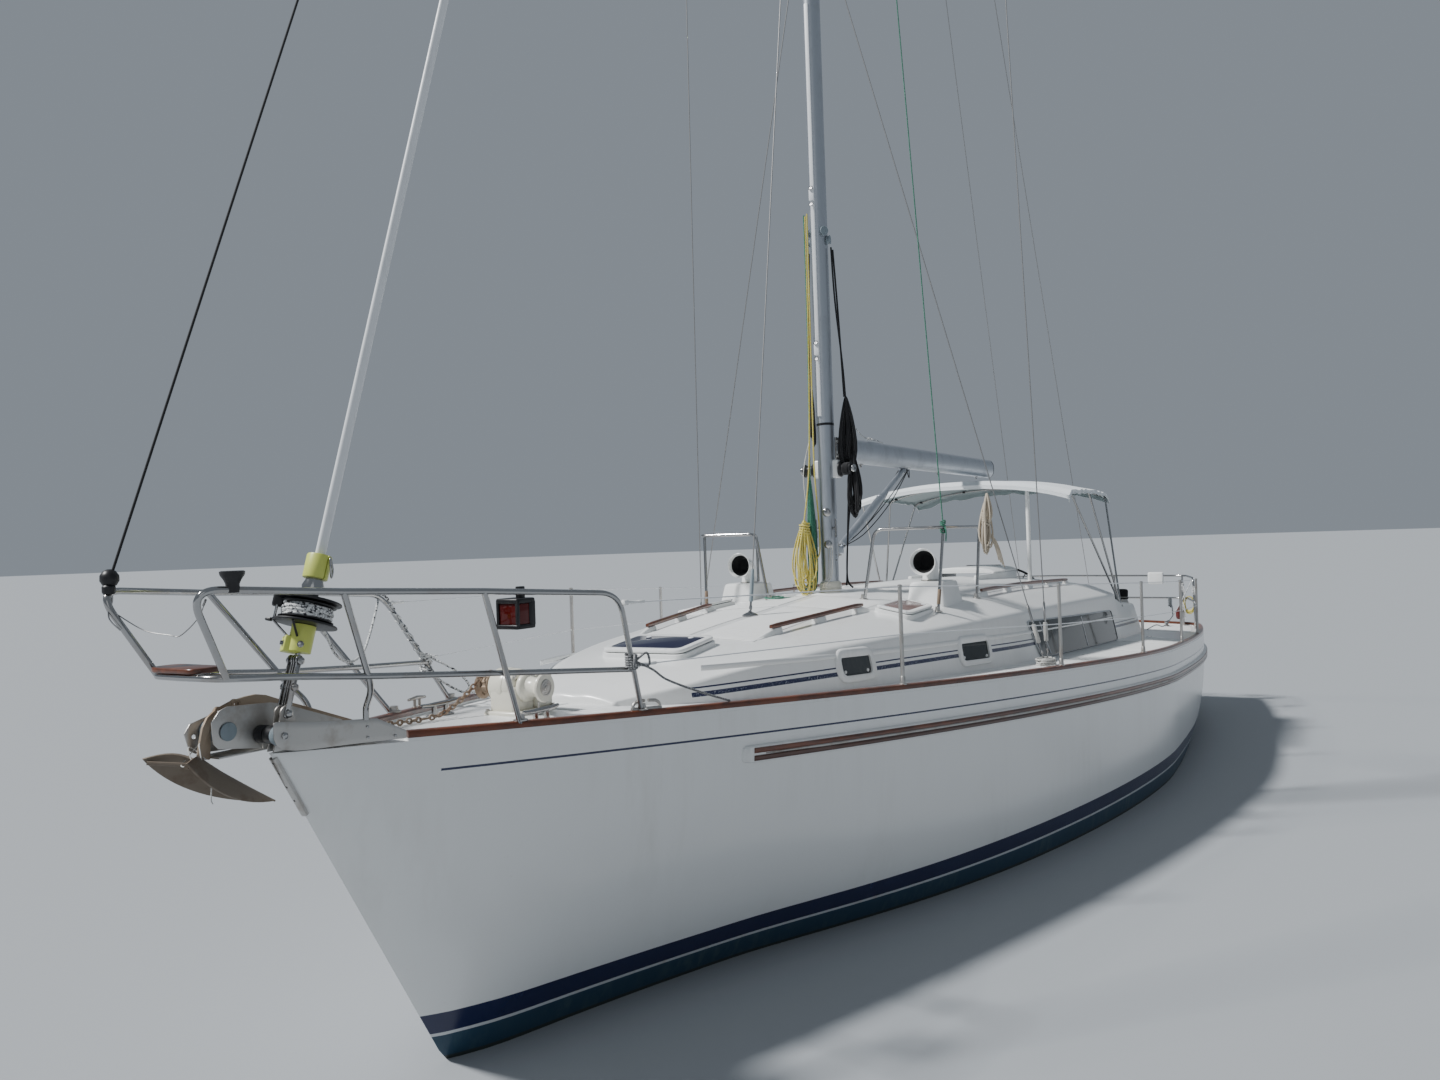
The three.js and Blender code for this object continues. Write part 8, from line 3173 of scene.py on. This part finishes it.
def shroud_hanks():
    """Cream ropes hung in hanks from the port lower shroud, with loose strands to the guard rail."""
    top = Vector((0.98, 1.2, 2.62))
    pieces = [hank(top, 0.42, 0.1, 12, 33, 0.0075, 0.3),
              hank(top + Vector((0.02, 0.02, 0.06)), 0.26, 0.08, 8, 34, 0.0075)]
    strands = []
    for k in range(4):
        strands.append(curved([top + Vector((0.01 * k, 0, -0.2)),
                               top + Vector((-0.07 - 0.03 * k, 0.04, -0.34)),
                               top + Vector((-0.15 - 0.05 * k, 0.05, -0.47 - 0.02 * k))]))
    pieces.append(tubes(strands, 0.005, 1))
    return merged(pieces, 60)


class BuildGuardWires(bpy.types.Operator):
    """Stanchions with their bases and the guard wires on both sides."""
    bl_idname = "yacht.guard_wires"
    bl_label = "Guard wires"

    def execute(self, context):
        fit_pair(stanchions(), "stanchion_posts", "brushed", ["lifelines"])
        fit_pair(stanchion_bases(), "stanchion_bases", "brushed")
        fit_pair(guard_wires(), "guard_wires", "foil")
        fit_pair(wire_ends(), "guard_wire_ends", "gelcoat")
        return {"FINISHED"}


STANCHIONS = (3.11, 1.14, -0.6, -2.35, -4.0)
# Height of each guard wire above the toe rail, and the place of its fore end on the pulpit
WIRES = ((0.31, (5.176, 0.701, 1.79)), (0.606, (5.355, 0.768, 2.105)))


def stanchions():
    pieces = []
    for x in STANCHIONS:
        foot = rail_place(x) - Vector((0, 0, 0.01))
        pieces.append(turned([(0.0128, 0), (0.0128, 0.614), (0.0148, 0.616), (0.0148, 0.626),
                              (0.008, 0.63)], foot, sides=20))
    return merged(pieces, 35)


def stanchion_bases():
    pieces = []
    for x in STANCHIONS:
        foot = rail_place(x) - Vector((0, 0, 0.002))
        pieces.append(turned([(0.024, 0), (0.025, 0.005), (0.018, 0.01), (0.0155, 0.05), (0.0135, 0.053)],
                             foot, sides=22))
    return merged(pieces, 35)


def guard_wires():
    routes = []
    for height, fore in WIRES:
        route = [Vector(fore)] + [rail_place(x) + Vector((0, 0, height)) for x in STANCHIONS]
        route.append(Vector((-5.637, 1.874, sheer(-5.637) + height)))
        routes.append(route)
    return smooth(tubes(routes, 0.0034, 2), 60)


def wire_ends():
    """White fittings and screws at the guard wires' fore ends."""
    pieces = []
    for height, fore in reversed(WIRES):
        fore = Vector(fore)
        aft = rail_place(STANCHIONS[0]) + Vector((0, 0, height))
        line = (aft - fore).normalized()
        pieces.append(turned([(0.006, -0.006), (0.014, -0.004), (0.015, 0.02), (0.009, 0.028),
                              (0.0065, 0.09), (0.0085, 0.094), (0.0085, 0.13), (0.005, 0.135)], fore, line,
                             18))
    return merged(pieces)


# Stern and cockpit


class BuildPushpit(bpy.types.Operator):
    """Stern rail with what hangs on it: a white pad, a red float and coils of line."""
    bl_idname = "yacht.pushpit"
    bl_label = "Pushpit"

    def execute(self, context):
        fit(pushpit_rails(), "pushpit_rails", "steel", replaces=["pushpit"])
        fit(pushpit_bases(), "pushpit_bases", "brushed")
        fit(stern_pad(), "stern_pad", "gelcoat")
        fit(stern_float(), "stern_float", "red_lens")
        fit(yellow_coil(), "yellow_coil", "rope_yellow")
        fit(stern_lines(), "stern_lines", "rope_fleck")
        return {"FINISHED"}


PUSHPIT = {
    "top": [(-5.65, 1.88, 1.04), (-5.65, 1.87, 1.7), (-6.38, 1.69, 1.7), (-6.425, 1.55, 1.7),
            (-6.425, 0, 1.72)],
    "low": [(-5.65, 1.872, 1.4), (-6.38, 1.695, 1.4), (-6.425, 1.56, 1.4), (-6.425, 0, 1.415)],
    "legs": [[(-6.385, 1.64, 1.7), (-6.385, 1.64, 0.98)], [(-6.425, 0.76, 1.71), (-6.425, 0.76, 1.0)]],
}


def pushpit_rails():
    tube = sizes().tube
    routes = [bent(across(PUSHPIT[key]), 0.11, 8) for key in ("top", "low")]
    routes += [[Vector((x, s * y, z)) for x, y, z in leg] for leg in PUSHPIT["legs"] for s in (1, -1)]
    return smooth(tubes(routes, tube, 3), 50)


def pushpit_bases():
    pieces = []
    for x, y, z in ((-5.65, 1.88, sheer(-5.65) - 0.002), (-6.385, 1.64, sheer(-6.385) - 0.04),
                    (-6.425, 0.76, sheer(-6.425) - 0.04)):
        for s in (1, -1):
            pieces.append(turned([(0.03, 0), (0.031, 0.006), (0.018, 0.012), (0.0165, 0.05),
                                  (0.0138, 0.052)], (x, s * y, z)))
    return merged(pieces)


def stern_pad():
    """White padded block on the port side of the stern rail."""
    return smooth(block((-6.452, 1.2, 1.59), (-6.398, 1.4, 1.752), 0.02, 4), 40)


def stern_float():
    """Red oval float on the rail."""
    centre = Vector((-6.4, 1.585, 1.19))
    profile = [(0.01, -0.075), (0.03, -0.068), (0.04, -0.035), (0.042, 0), (0.04, 0.035), (0.03, 0.068),
               (0.012, 0.075), (0.011, 0.1)]
    return smooth(turned(profile, centre, (0.05, 0.06, 1), 28), 60)


def yellow_coil():
    """Coil of yellow line hung on the stern rail's corner."""
    rng = random.Random(44)
    top = Vector((-6.38, 1.72, 1.41))
    routes = []
    for k in range(9):
        wide = 0.05 + 0.03 * rng.random()
        tall = 0.19 + 0.04 * rng.random()
        lean = rng.uniform(-0.02, 0.02)
        routes.append([top + Vector((lean + 0.012 * math.cos(a + k), wide * math.sin(a),
                                     -tall * (0.5 - 0.5 * math.cos(a)) + 0.012)) for a in
                       [2 * math.pi * j / 22 for j in range(23)]])
    return smooth(tubes(routes, 0.0065, 1), 60)


def stern_lines():
    """Flecked line from the stern rail's fore post to the deck, and loops made fast on the posts."""
    rng = random.Random(50)
    head = Vector((-5.63, 1.86, 1.68))
    routes = [curved([head, (-5.0, 1.76, 1.36), (-4.4, 1.7, 1.2), (-3.9, 1.68, 1.245),
                      (-3.4, 1.66, 1.235)])]
    for place in ((-5.65, 1.87, 1.55), (-6.385, 1.64, 1.3), (-6.385, 1.64, 1.55), (-4.0, 1.823, 1.5)):
        place = Vector(place)
        route = []
        for k in range(48):
            a = 2 * math.pi * k / 8
            route.append(place + Vector((0.0185 * math.cos(a), 0.0185 * math.sin(a), -0.055 + 0.0024 * k)))
        routes.append(route)
        for _ in range(2):
            sag = 0.1 + 0.12 * rng.random()
            routes.append(curved([place + Vector((0.015, 0.01, 0.03)),
                                  place + Vector((0.05, 0.03, -sag * 0.5)),
                                  place + Vector((0.02, 0.028, -sag)),
                                  place + Vector((-0.03, 0.015, -sag * 0.5)),
                                  place + Vector((-0.015, 0.01, 0.02))]))
    return smooth(tubes(routes, 0.006, 2), 60)


class BuildCockpit(bpy.types.Operator):
    """Coaming, seats' slats, steering pedestal, wheel and sheet winches."""
    bl_idname = "yacht.cockpit"
    bl_label = "Cockpit"

    def execute(self, context):
        fit(coaming(), "coaming_body", "cabin_white", replaces=["coaming"])
        fit_pair(seat_slats(), "seat_slats", "teak")
        fit(sole_grating(), "sole_grating", "teak")
        fit(pedestal_column(), "pedestal_column", "gelcoat", replaces=["pedestal"])
        fit(pedestal_guard(), "pedestal_guard", "steel")
        fit(compass(), "compass", "smoked")
        fit(levers(), "levers", "steel")
        fit(wheel_rim(), "wheel_rim", "black", "steering_wheel", ["steering_wheel"])
        fit(wheel_spokes(), "wheel_spokes", "steel", "steering_wheel")
        fit_pair(winch_base(), "sheet_winch_base", "brushed", ["winch"])
        fit_pair(winch_cover(), "sheet_winch_cover", "dark")
        fit_pair(winch_lashing(), "sheet_winch_lashing", "rope_white")
        return {"FINISHED"}


COAMING = [(-2.9035, 1.49, 1.4, 1.64), (-3.3, 1.492, 1.395, 1.56), (-3.9, 1.482, 1.385, 1.505),
           (-4.35, 1.45, 1.35, 1.47), (-4.6, 1.33, 1.23, 1.42), (-4.69, 1.1, 1.0, 1.34)]
WELL = {"aft": -4.43, "fore": -2.8, "seat": 1.23, "well": 0.43, "sole": 0.62, "bench": 1.0}


def coaming():
    """Coaming round the cockpit with rounded top edges, cut out at the seats."""
    rings = []
    stations = []
    for a, b in zip(COAMING, COAMING[1:]):
        steps = 5 if a[0] > -4.4 else 3
        stations += [tuple(p + (q - p) * k / steps for p, q in zip(a, b)) for k in range(steps)]
    stations.append(COAMING[-1])
    for x, base, top, z in stations:
        foot = deck_z(x, base) - 0.02
        half = []
        for px, pz in ((base, foot), (base - 0.004, foot + 0.03), (top + 0.02, z - 0.045),
                       (top + 0.008, z - 0.02), (top - 0.006, z - 0.006), (top - 0.026, z),
                       (top - 0.12, z + 0.002)):
            half.append((px, pz))
        rings.append([(x, y, h) for y, h in half] + [(x, -y, h) for y, h in reversed(half)])
    body = loft(rings)
    hole = block((WELL["aft"], -WELL["seat"], 0.9), (-2.7, WELL["seat"], 2.5), 0.05, 4)
    return smooth(cut(body, hole), 35)


def seat_slats():
    """Teak slats along the port seat."""
    pieces = []
    for k in range(9):
        y = 0.47 + 0.082 * k
        pieces.append(block((-4.38, y, WELL["bench"] - 0.002), (-3.0, y + 0.07, WELL["bench"] + 0.0085),
                            0.0025))
    return merged(pieces)


def sole_grating():
    """Grating on the footwell's sole, round the pedestal."""
    pieces = []
    z = WELL["sole"]
    for k in range(9):
        y = -0.38 + 0.088 * k
        pieces.append(block((-4.38, y, z - 0.002), (-3.83, y + 0.05, z + 0.012), 0.002))
        pieces.append(block((-3.57, y, z - 0.002), (-2.98, y + 0.05, z + 0.012), 0.002))
    for x in (-4.36, -4.1, -3.87, -3.53, -3.27, -3.02):
        pieces.append(block((x - 0.02, -0.385, z - 0.002), (x + 0.02, 0.375, z + 0.0105), 0.002))
    return merged(pieces)


HELM = Vector((-3.85, 0, 1.49))
WHEEL_X = HELM.x - 0.02
SOLE_TOP = 0.622


def pedestal_column():
    """Tapered column with its head and the wheel's boss."""
    x = HELM.x + 0.15
    column = turned([(0.11, 0), (0.11, 0.012), (0.088, 0.03), (0.074, 0.4), (0.062, 0.8)], (x, 0, SOLE_TOP),
                    sides=40)
    head = loft([
        [(x - 0.07, -0.088, 1.425), (x - 0.07, 0.088, 1.425), (x + 0.07, 0.088, 1.425),
         (x + 0.07, -0.088, 1.425)],
        [(x - 0.075, -0.094, 1.45), (x - 0.075, 0.094, 1.45), (x + 0.075, 0.094, 1.45),
         (x + 0.075, -0.094, 1.45)],
        [(x - 0.075, -0.09, 1.575), (x - 0.075, 0.09, 1.575), (x + 0.05, 0.082, 1.632),
         (x + 0.05, -0.082, 1.632)],
    ])
    bevel(head, 0.014, 3, 30)
    boss = rod((-3.8155, 0, HELM.z), (x, 0, HELM.z), 0.03, sides=28)
    return merged([column, head, boss])


def pedestal_guard():
    """Bent guard in front of the pedestal with its ties and feet."""
    x = HELM.x + 0.26
    route = bent([(x, -0.19, SOLE_TOP), (x, -0.19, 1.73), (x, 0.19, 1.73), (x, 0.19, SOLE_TOP)], 0.12, 8)
    pieces = [tubes([route], sizes().tube, 3)]
    for s in (1, -1):
        pieces.append(rod((HELM.x + 0.1, 0.19 * s, HELM.z - 0.03), (x, 0.19 * s, HELM.z - 0.03), 0.009))
        pieces.append(turned([(0.032, 0), (0.032, 0.006), (0.016, 0.012)], (x, 0.19 * s, SOLE_TOP)))
    pieces.append(rod((HELM.x + 0.12, -0.195, HELM.z - 0.03), (HELM.x + 0.12, 0.195, HELM.z - 0.03), 0.009))
    return merged(pieces, 45)


def compass():
    """Compass dome on the pedestal's head."""
    profile = [(0.062, 0), (0.064, 0.008), (0.06, 0.02), (0.05, 0.036), (0.034, 0.049), (0.014, 0.056)]
    return smooth(turned(profile, (HELM.x + 0.17, 0, 1.606), (-0.3, 0, 1), 36), 50)


def levers():
    """Gear and throttle levers on both sides of the pedestal's head."""
    pieces = []
    for s in (1, -1):
        pivot = Vector((HELM.x + 0.15, 0.09 * s, 1.52))
        pieces.append(turned([(0.02, -0.004), (0.021, 0.008), (0.014, 0.012)], pivot, (0, s, 0), 20))
        pieces.append(rod(pivot + Vector((0, 0.008 * s, 0)), pivot + Vector((0.06 * s, 0.03 * s, 0.11)),
                          0.005))
        pieces.append(turned([(0.008, -0.014), (0.013, -0.004), (0.013, 0.006), (0.006, 0.014)],
                             pivot + Vector((0.06 * s, 0.03 * s, 0.115)), sides=16))
    return merged(pieces, 45)


def wheel_rim():
    """Dark grip of the wheel."""
    clear()
    bpy.ops.mesh.primitive_torus_add(major_segments=96, minor_segments=14, major_radius=0.43,
                                     minor_radius=0.0138,
                                     location=(WHEEL_X, 0, HELM.z), rotation=(0, math.pi / 2, 0))
    rim = added()
    bpy.ops.object.transform_apply(location=True, rotation=True, scale=True)
    return smooth(rim, 60)


def wheel_spokes():
    """Six spokes and the hub with its nut."""
    x, z = WHEEL_X, HELM.z
    pieces = []
    for k in range(6):
        a = math.pi * k / 3
        pieces.append(rod((x, 0.03 * math.cos(a), z + 0.03 * math.sin(a)),
                          (x, 0.422 * math.cos(a), z + 0.422 * math.sin(a)),
                          0.0085, 0.007, 14))
    pieces.append(turned([(0.03, -0.05), (0.044, -0.046), (0.0455, 0.02), (0.036, 0.033)], (HELM.x, 0, z),
                         (1, 0, 0), 36))
    pieces.append(turned([(0.014, -0.05), (0.02, -0.047), (0.02, -0.036)], (HELM.x, 0, z), (1, 0, 0), 6))
    return merged(pieces, 45)


SHEET_WINCH = Vector((-3.9, 1.31, 1.502))


def winch_base():
    """Stepped base of the port sheet winch."""
    profile = [(0.078, 0), (0.0785, 0.008), (0.07, 0.02), (0.066, 0.05), (0.062, 0.07)]
    return smooth(turned(profile, SHEET_WINCH, sides=44), 35)


# Rings of the winch's cover: radius, height above the base and depth of its wrinkles
COVER_RINGS = (
    (0.066, 0.05, 0.004), (0.071, 0.042, 0.006), (0.074, 0.05, 0.005), (0.07, 0.066, 0.002),
    (0.0715, 0.085, 0.0015), (0.0735, 0.11, 0.001), (0.074, 0.135, 0.0008), (0.068, 0.15, 0.001),
    (0.05, 0.157, 0.001), (0.02, 0.159, 0.0005),
)


def winch_cover():
    """Soft cover over the winch's drum, gathered by a cord and wrinkled."""
    sides = 56
    rings = []
    for radius, height, ripple in COVER_RINGS:
        ring = []
        for k in range(sides):
            a = 2 * math.pi * k / sides
            r = radius + ripple * math.sin(9 * a + height * 40) * 0.6 + ripple * 0.4 * math.sin(17 * a)
            ring.append((SHEET_WINCH.x + r * math.cos(a), SHEET_WINCH.y + r * math.sin(a),
                         SHEET_WINCH.z + height))
        rings.append(ring)
    return smooth(loft(rings), 50)


def winch_lashing():
    """Cord round the cover's hem."""
    ring = []
    for k in range(40):
        a = 2 * math.pi * k / 40
        ring.append(SHEET_WINCH
                    + Vector((0.0735 * math.cos(a), 0.0735 * math.sin(a), 0.066 + 0.001 * math.sin(5 * a))))
    return smooth(tubes([ring], 0.0028, 1, True), 60)


# Bimini


class BuildBimini(bpy.types.Operator):
    """Cloth canopy over the cockpit, a darker sheet under it that paints the shade of its underside, hem,
    frame and pole.
    """
    bl_idname = "yacht.bimini"
    bl_label = "Bimini"

    def execute(self, context):
        hem = fit(canopy_hem(), "canopy_hem", "canvas")
        cloth = fit(canopy(0.0), "canopy_cloth", "canvas", replaces=["bimini_canopy"])
        # A darker sheet just under the cloth: painted shade of the canopy's underside.
        lining = fit(canopy(0.0045), "canopy_lining", "lining")
        frame_piece = fit(bimini_frame(), "canopy_frame", "steel", replaces=["bimini_frame"])
        fit(bimini_clamps(), "canopy_clamps", "black")
        fit(bimini_pole(), "canopy_pole", "gelcoat")
        return {"FINISHED"}


BIMINI = {"fore": -2.0, "aft": -4.05, "half": 1.18, "edge": 2.79, "crown": 0.15, "cloth": 0.014, "bow": 0.011}
# Bows: x and how far each lies under the canopy's level; then the space between two bows
BOWS = ((-2.16, 0.012), (-3.025, -0.015), (-3.89, 0.012))
BOW_SPACE = 0.865
# The cloth: x and how far it lies under the canopy's level
CANOPY_ROWS = ((-2.0, 0.06), (-2.15, 0.01), (-3.025, -0.015), (-3.9, 0.01), (-4.05, 0.06))


def crown(t):
    """Rise of the canopy at a share of its half-width."""
    return BIMINI["crown"] * (1 - abs(t) ** 2.4)


def side_sway(x):
    return 0.004 * math.sin(x * 23)


def aft_sway(y):
    return 0.009 * math.sin(y * 15 + 1)


def canopy_drop(x):
    """How far the canopy's middle line lies under its level at x."""
    for (x0, d0), (x1, d1) in zip(CANOPY_ROWS, CANOPY_ROWS[1:]):
        if x1 <= x <= x0:
            t = (x0 - x) / (x0 - x1)
            if abs(x0 - x1) < 0.2:
                t = t * t * (3 - 2 * t)
            elif x0 > -2.5:
                t = math.sin(math.pi / 2 * t)
            else:
                t = 1 - math.cos(math.pi / 2 * t)
            return d0 + (d1 - d0) * t
    return CANOPY_ROWS[-1][1]


def canopy_height(x, t):
    """Height of the cloth: crowned across, slack between the bows, rippled along its edges."""
    z = BIMINI["edge"] - canopy_drop(x) + crown(t)
    between_bows = abs(math.sin(math.pi * (x - BOWS[1][0]) / BOW_SPACE)) if -3.9 < x < -2.15 else 0
    slack = 0.012 * between_bows * (1 - abs(t) ** 4)
    edge = max(0, (abs(t) - 0.82) / 0.18)
    end = max(0, (-3.86 - x) / 0.19)
    along = 0.007 * edge * math.sin(x * 19 + 2 * math.sin(x * 7))
    across_end = 0.008 * end * math.sin(t * 21 + 2.2 * math.sin(t * 9))
    return z - slack + (along + across_end)


def canopy(lower):
    """The cloth as a thin sheet with a turned-down edge, this far under its upper face."""
    rows = []
    along, wide = 66, 74
    for i in range(along + 1):
        x = BIMINI["fore"] - 0.004 + (BIMINI["aft"] + 0.008 - BIMINI["fore"]) * i / along
        row = []
        for j in range(wide + 1):
            t = -1 + 2 * j / wide
            row.append((x, BIMINI["half"] * t * 0.998, canopy_height(x, t) - lower - 0.001))
        t0, t1 = row[0], row[-1]
        fall = 0.036 - 0.6 * lower
        sway = side_sway(x)
        row.insert(0, (t0[0], t0[1] - 0.002 + lower, t0[2] - fall + sway))
        row.append((t1[0], t1[1] + 0.002 - lower, t1[2] - fall + sway))
        rows.append(row)
    first, last = rows[0], rows[-1]
    rows.insert(0, [(x + 0.002 - lower, y, z - 0.034 + 0.6 * lower + 0.003 * math.sin(y * 17))
                    for x, y, z in first])
    rows.append([(x - 0.002 + lower, y, z - 0.05 + 0.6 * lower + aft_sway(y)) for x, y, z in last])
    sheet = skin(rows)
    modify(sheet, "SOLIDIFY", thickness=0.0016, offset=-1)
    in_edit(sheet, face_out)
    return smooth(sheet, 60)


def canopy_hem():
    """Rolled hem round the canopy's lower edge."""
    route = []
    for j in range(61):
        t = -1 + 2 * j / 60
        route.append(Vector((BIMINI["fore"] - 0.004, BIMINI["half"] * t,
                             canopy_height(BIMINI["fore"], t) - 0.036)))
    for i in range(1, 60):
        x = BIMINI["fore"] + (BIMINI["aft"] - BIMINI["fore"]) * i / 60
        route.append(Vector((x, BIMINI["half"], canopy_height(x, 1) - 0.038 + side_sway(x))))
    for j in range(61):
        t = 1 - 2 * j / 60
        y = BIMINI["half"] * t
        route.append(Vector((BIMINI["aft"] + 0.003, y,
                             canopy_height(BIMINI["aft"], t) - 0.051 + aft_sway(y))))
    for i in range(1, 60):
        x = BIMINI["aft"] + (BIMINI["fore"] - BIMINI["aft"]) * i / 60
        route.append(Vector((x, -BIMINI["half"], canopy_height(x, 1) - 0.038 + side_sway(x))))
    return smooth(tubes([route], 0.005, 2, True), 60)


BOW_FOOT = (-3.35, 1.4, 1.5)


def bow_place(x, drop, t):
    """Place on a bow at a share of its half-width."""
    return x, BIMINI["half"] * t * 0.985, BIMINI["edge"] - drop + crown(t) - BIMINI["cloth"] - 0.013


def bimini_frame():
    """Three bows from one foot on each coaming, with their hinges."""
    routes = []
    for x, drop in BOWS:
        arch = []
        for k in range(25):
            arch.append(Vector(bow_place(x, drop, -1 + k / 12)))
        foot = Vector(BOW_FOOT)
        route = [Vector((foot.x, -foot.y, foot.z)), *arch, foot]
        routes.append(bent(route, 0.08, 5))
    pieces = [tubes(routes, BIMINI["bow"], 3)]
    for s in (1, -1):
        x, y, z = BOW_FOOT
        low, high = sorted((s * y - 0.016, s * y + 0.016))
        pieces.append(block((x - 0.045, low, deck_foot(x, y)), (x + 0.045, high, z + 0.016), 0.006, 3))
        pieces.append(rod((x, s * y - 0.024, z), (x, s * y + 0.024, z), 0.008))
    return merged(pieces, 50)


def deck_foot(x, y):
    """Height from which a bow's hinge stands up at the coaming's edge."""
    i = next(k for k in range(1, len(COAMING)) if COAMING[k][0] <= x)
    t = (x - COAMING[i][0]) / (COAMING[i - 1][0] - COAMING[i][0])
    _, _, top, z = [a + (b - a) * t for a, b in zip(COAMING[i], COAMING[i - 1])]
    return z - 0.06 - 0.02 * (y > top)


def bimini_clamps():
    """Clamps and straps that hold the cloth to the bows."""
    pieces = []
    for x, drop in BOWS:
        for t in (-0.93, -0.45, 0.45, 0.93):
            _, y, z = bow_place(x, drop, t)
            pieces.append(rod((x, y - 0.016, z), (x, y + 0.016, z), 0.0145))
    return merged(pieces, 45)


def bimini_pole():
    """White pole from the coachroof to the canopy's fore bow, with its foot."""
    x, y = -2.13, 0.72
    foot = smooth_roof_z(x, y)
    top = BIMINI["edge"] - BOWS[0][1] + crown(y / BIMINI["half"]) - BIMINI["cloth"] - 0.02
    length = top - foot
    pole = turned([(0.034, 0), (0.034, 0.012), (0.022, 0.02), (0.0215, length - 0.006), (0.016, length)],
                  (x, y, foot - 0.002), sides=28)
    return smooth(pole, 40)


# Below the water


class FinishUnderwater(bpy.types.Operator):
    """Finishes of the pieces that keep their simple shapes: keel, rudder, propeller, strut and engine."""
    bl_idname = "yacht.underwater"
    bl_label = "Below the water"

    def execute(self, context):
        for node, kind in (("keel", "antifouling"), ("rudder", "antifouling"), ("propeller", "bronze"),
                           ("shaft_strut", "bronze"), ("engine", "engine_grey")):
            piece = frame["nodes"][node]
            for slot in piece.material_slots:
                slot.link = "OBJECT"
                slot.material = finish(kind)
        return {"FINISHED"}


# Floor, light and camera


class BuildStage(bpy.types.Operator):
    """Pale floor at the water's level, soft light and the camera at the photograph's angle."""
    bl_idname = "yacht.stage"
    bl_label = "Stage"

    def execute(self, context):
        floor = turned([(FLOOR_R, -0.02), (FLOOR_R, 0.0)], sides=64)
        floor.name = "floor"
        floor.data.materials.append(finish("floor"))
        for name, kind, place, aim_at, size, power in LIGHTS:
            lamp(name, kind, place, aim_at, size, power)
        world = bpy.data.worlds.new("sky")
        context.scene.world = world
        world.use_nodes = True
        back = world.node_tree.nodes["Background"]
        back.inputs["Color"].default_value = SKY
        back.inputs["Strength"].default_value = SKY_STRENGTH
        view_camera()
        return {"FINISHED"}


FLOOR_R = 260
SKY = (0.78, 0.88, 1.0, 1)
SKY_STRENGTH = 0.3
# Soft lights: name, kind, place, the point each looks at, size (an angle for the wide key) and power
LIGHTS = (
    ("key", "SUN", (12, -14, 22), (1, 0, 1), 0.1, 4.9),
    ("quarter", "AREA", (20, 14, 10), (3, 0, 1), 12, 160),
)
# The photograph's camera: place, yaw, pitch and roll in radians, and its lens and film in millimetres
CAMERA = {"place": (9.6566, 3.7966, 2.3813), "yaw": 3.6669, "pitch": 0.0005, "roll": 0.0338, "lens": 27.877,
          "film": 36}


def lamp(name, kind, place, aim_at, size, power):
    light = bpy.data.lights.new(name, kind)
    if kind == "SUN":
        light.angle = size
    else:
        light.shape = "DISK"
        light.size = size
    light.energy = power
    obj = bpy.data.objects.new(name, light)
    bpy.context.collection.objects.link(obj)
    obj.location = place
    obj.rotation_euler = (Vector(aim_at) - Vector(place)).to_track_quat("-Z", "Y").to_euler()
    obj.visible_camera = False


def view_camera():
    data = bpy.data.cameras.new("view")
    data.lens = CAMERA["lens"]
    data.sensor_width = CAMERA["film"]
    data.clip_end = 900
    camera = bpy.data.objects.new("view", data)
    bpy.context.collection.objects.link(camera)
    cy, sy = math.cos(CAMERA["yaw"]), math.sin(CAMERA["yaw"])
    cp, sp = math.cos(CAMERA["pitch"]), math.sin(CAMERA["pitch"])
    forward = Vector((cy * cp, sy * cp, sp))
    right = Vector((sy, -cy, 0))
    down = forward.cross(right)
    cr, sr = math.cos(CAMERA["roll"]), math.sin(CAMERA["roll"])
    across, below = cr * right + sr * down, -sr * right + cr * down
    turn = Matrix((across, -below, -forward)).transposed().to_4x4()
    camera.matrix_world = Matrix.Translation(CAMERA["place"]) @ turn
    bpy.context.scene.camera = camera


# Registration


PIECES = (
    BuildStage, BuildHull, BuildDeck, BuildCabin, BuildWindows, BuildRails, BuildStemhead, BuildAnchor,
    BuildWindlass,
    BuildPulpit, BuildFurler, BuildMast, BuildBoom, BuildRigging, BuildMastRopes, BuildHatches, BuildCowls,
    BuildHandrails, BuildDeckGear, BuildGuardWires, BuildPushpit, BuildCockpit, BuildBimini, FinishUnderwater,
)


class YachtPanel(bpy.types.Panel):
    """Lists the yacht's pieces."""
    bl_idname = "YACHT_PT_pieces"
    bl_label = "Yacht"
    bl_space_type = "VIEW_3D"
    bl_region_type = "UI"
    bl_category = "Yacht"

    def draw(self, context):
        for operator in PIECES:
            self.layout.operator(operator.bl_idname)
        for group in (context.scene.yacht_sizes, context.scene.yacht_colours):
            for key in group.bl_rna.properties.keys():
                if key not in ("rna_type", "name"):
                    self.layout.prop(group, key)


CLASSES = (YachtSizes, YachtColours, *PIECES, YachtPanel)


def register():
    for cls in CLASSES:
        bpy.utils.register_class(cls)
    bpy.types.Scene.yacht_sizes = PointerProperty(type=YachtSizes)
    bpy.types.Scene.yacht_colours = PointerProperty(type=YachtColours)


def unregister():
    del bpy.types.Scene.yacht_colours
    del bpy.types.Scene.yacht_sizes
    for cls in reversed(CLASSES):
        bpy.utils.unregister_class(cls)


def main():
    register()
    for operator in PIECES:
        group, name = operator.bl_idname.split(".")
        clear()
        getattr(getattr(bpy.ops, group), name)()


if __name__ == "__main__":
    main()
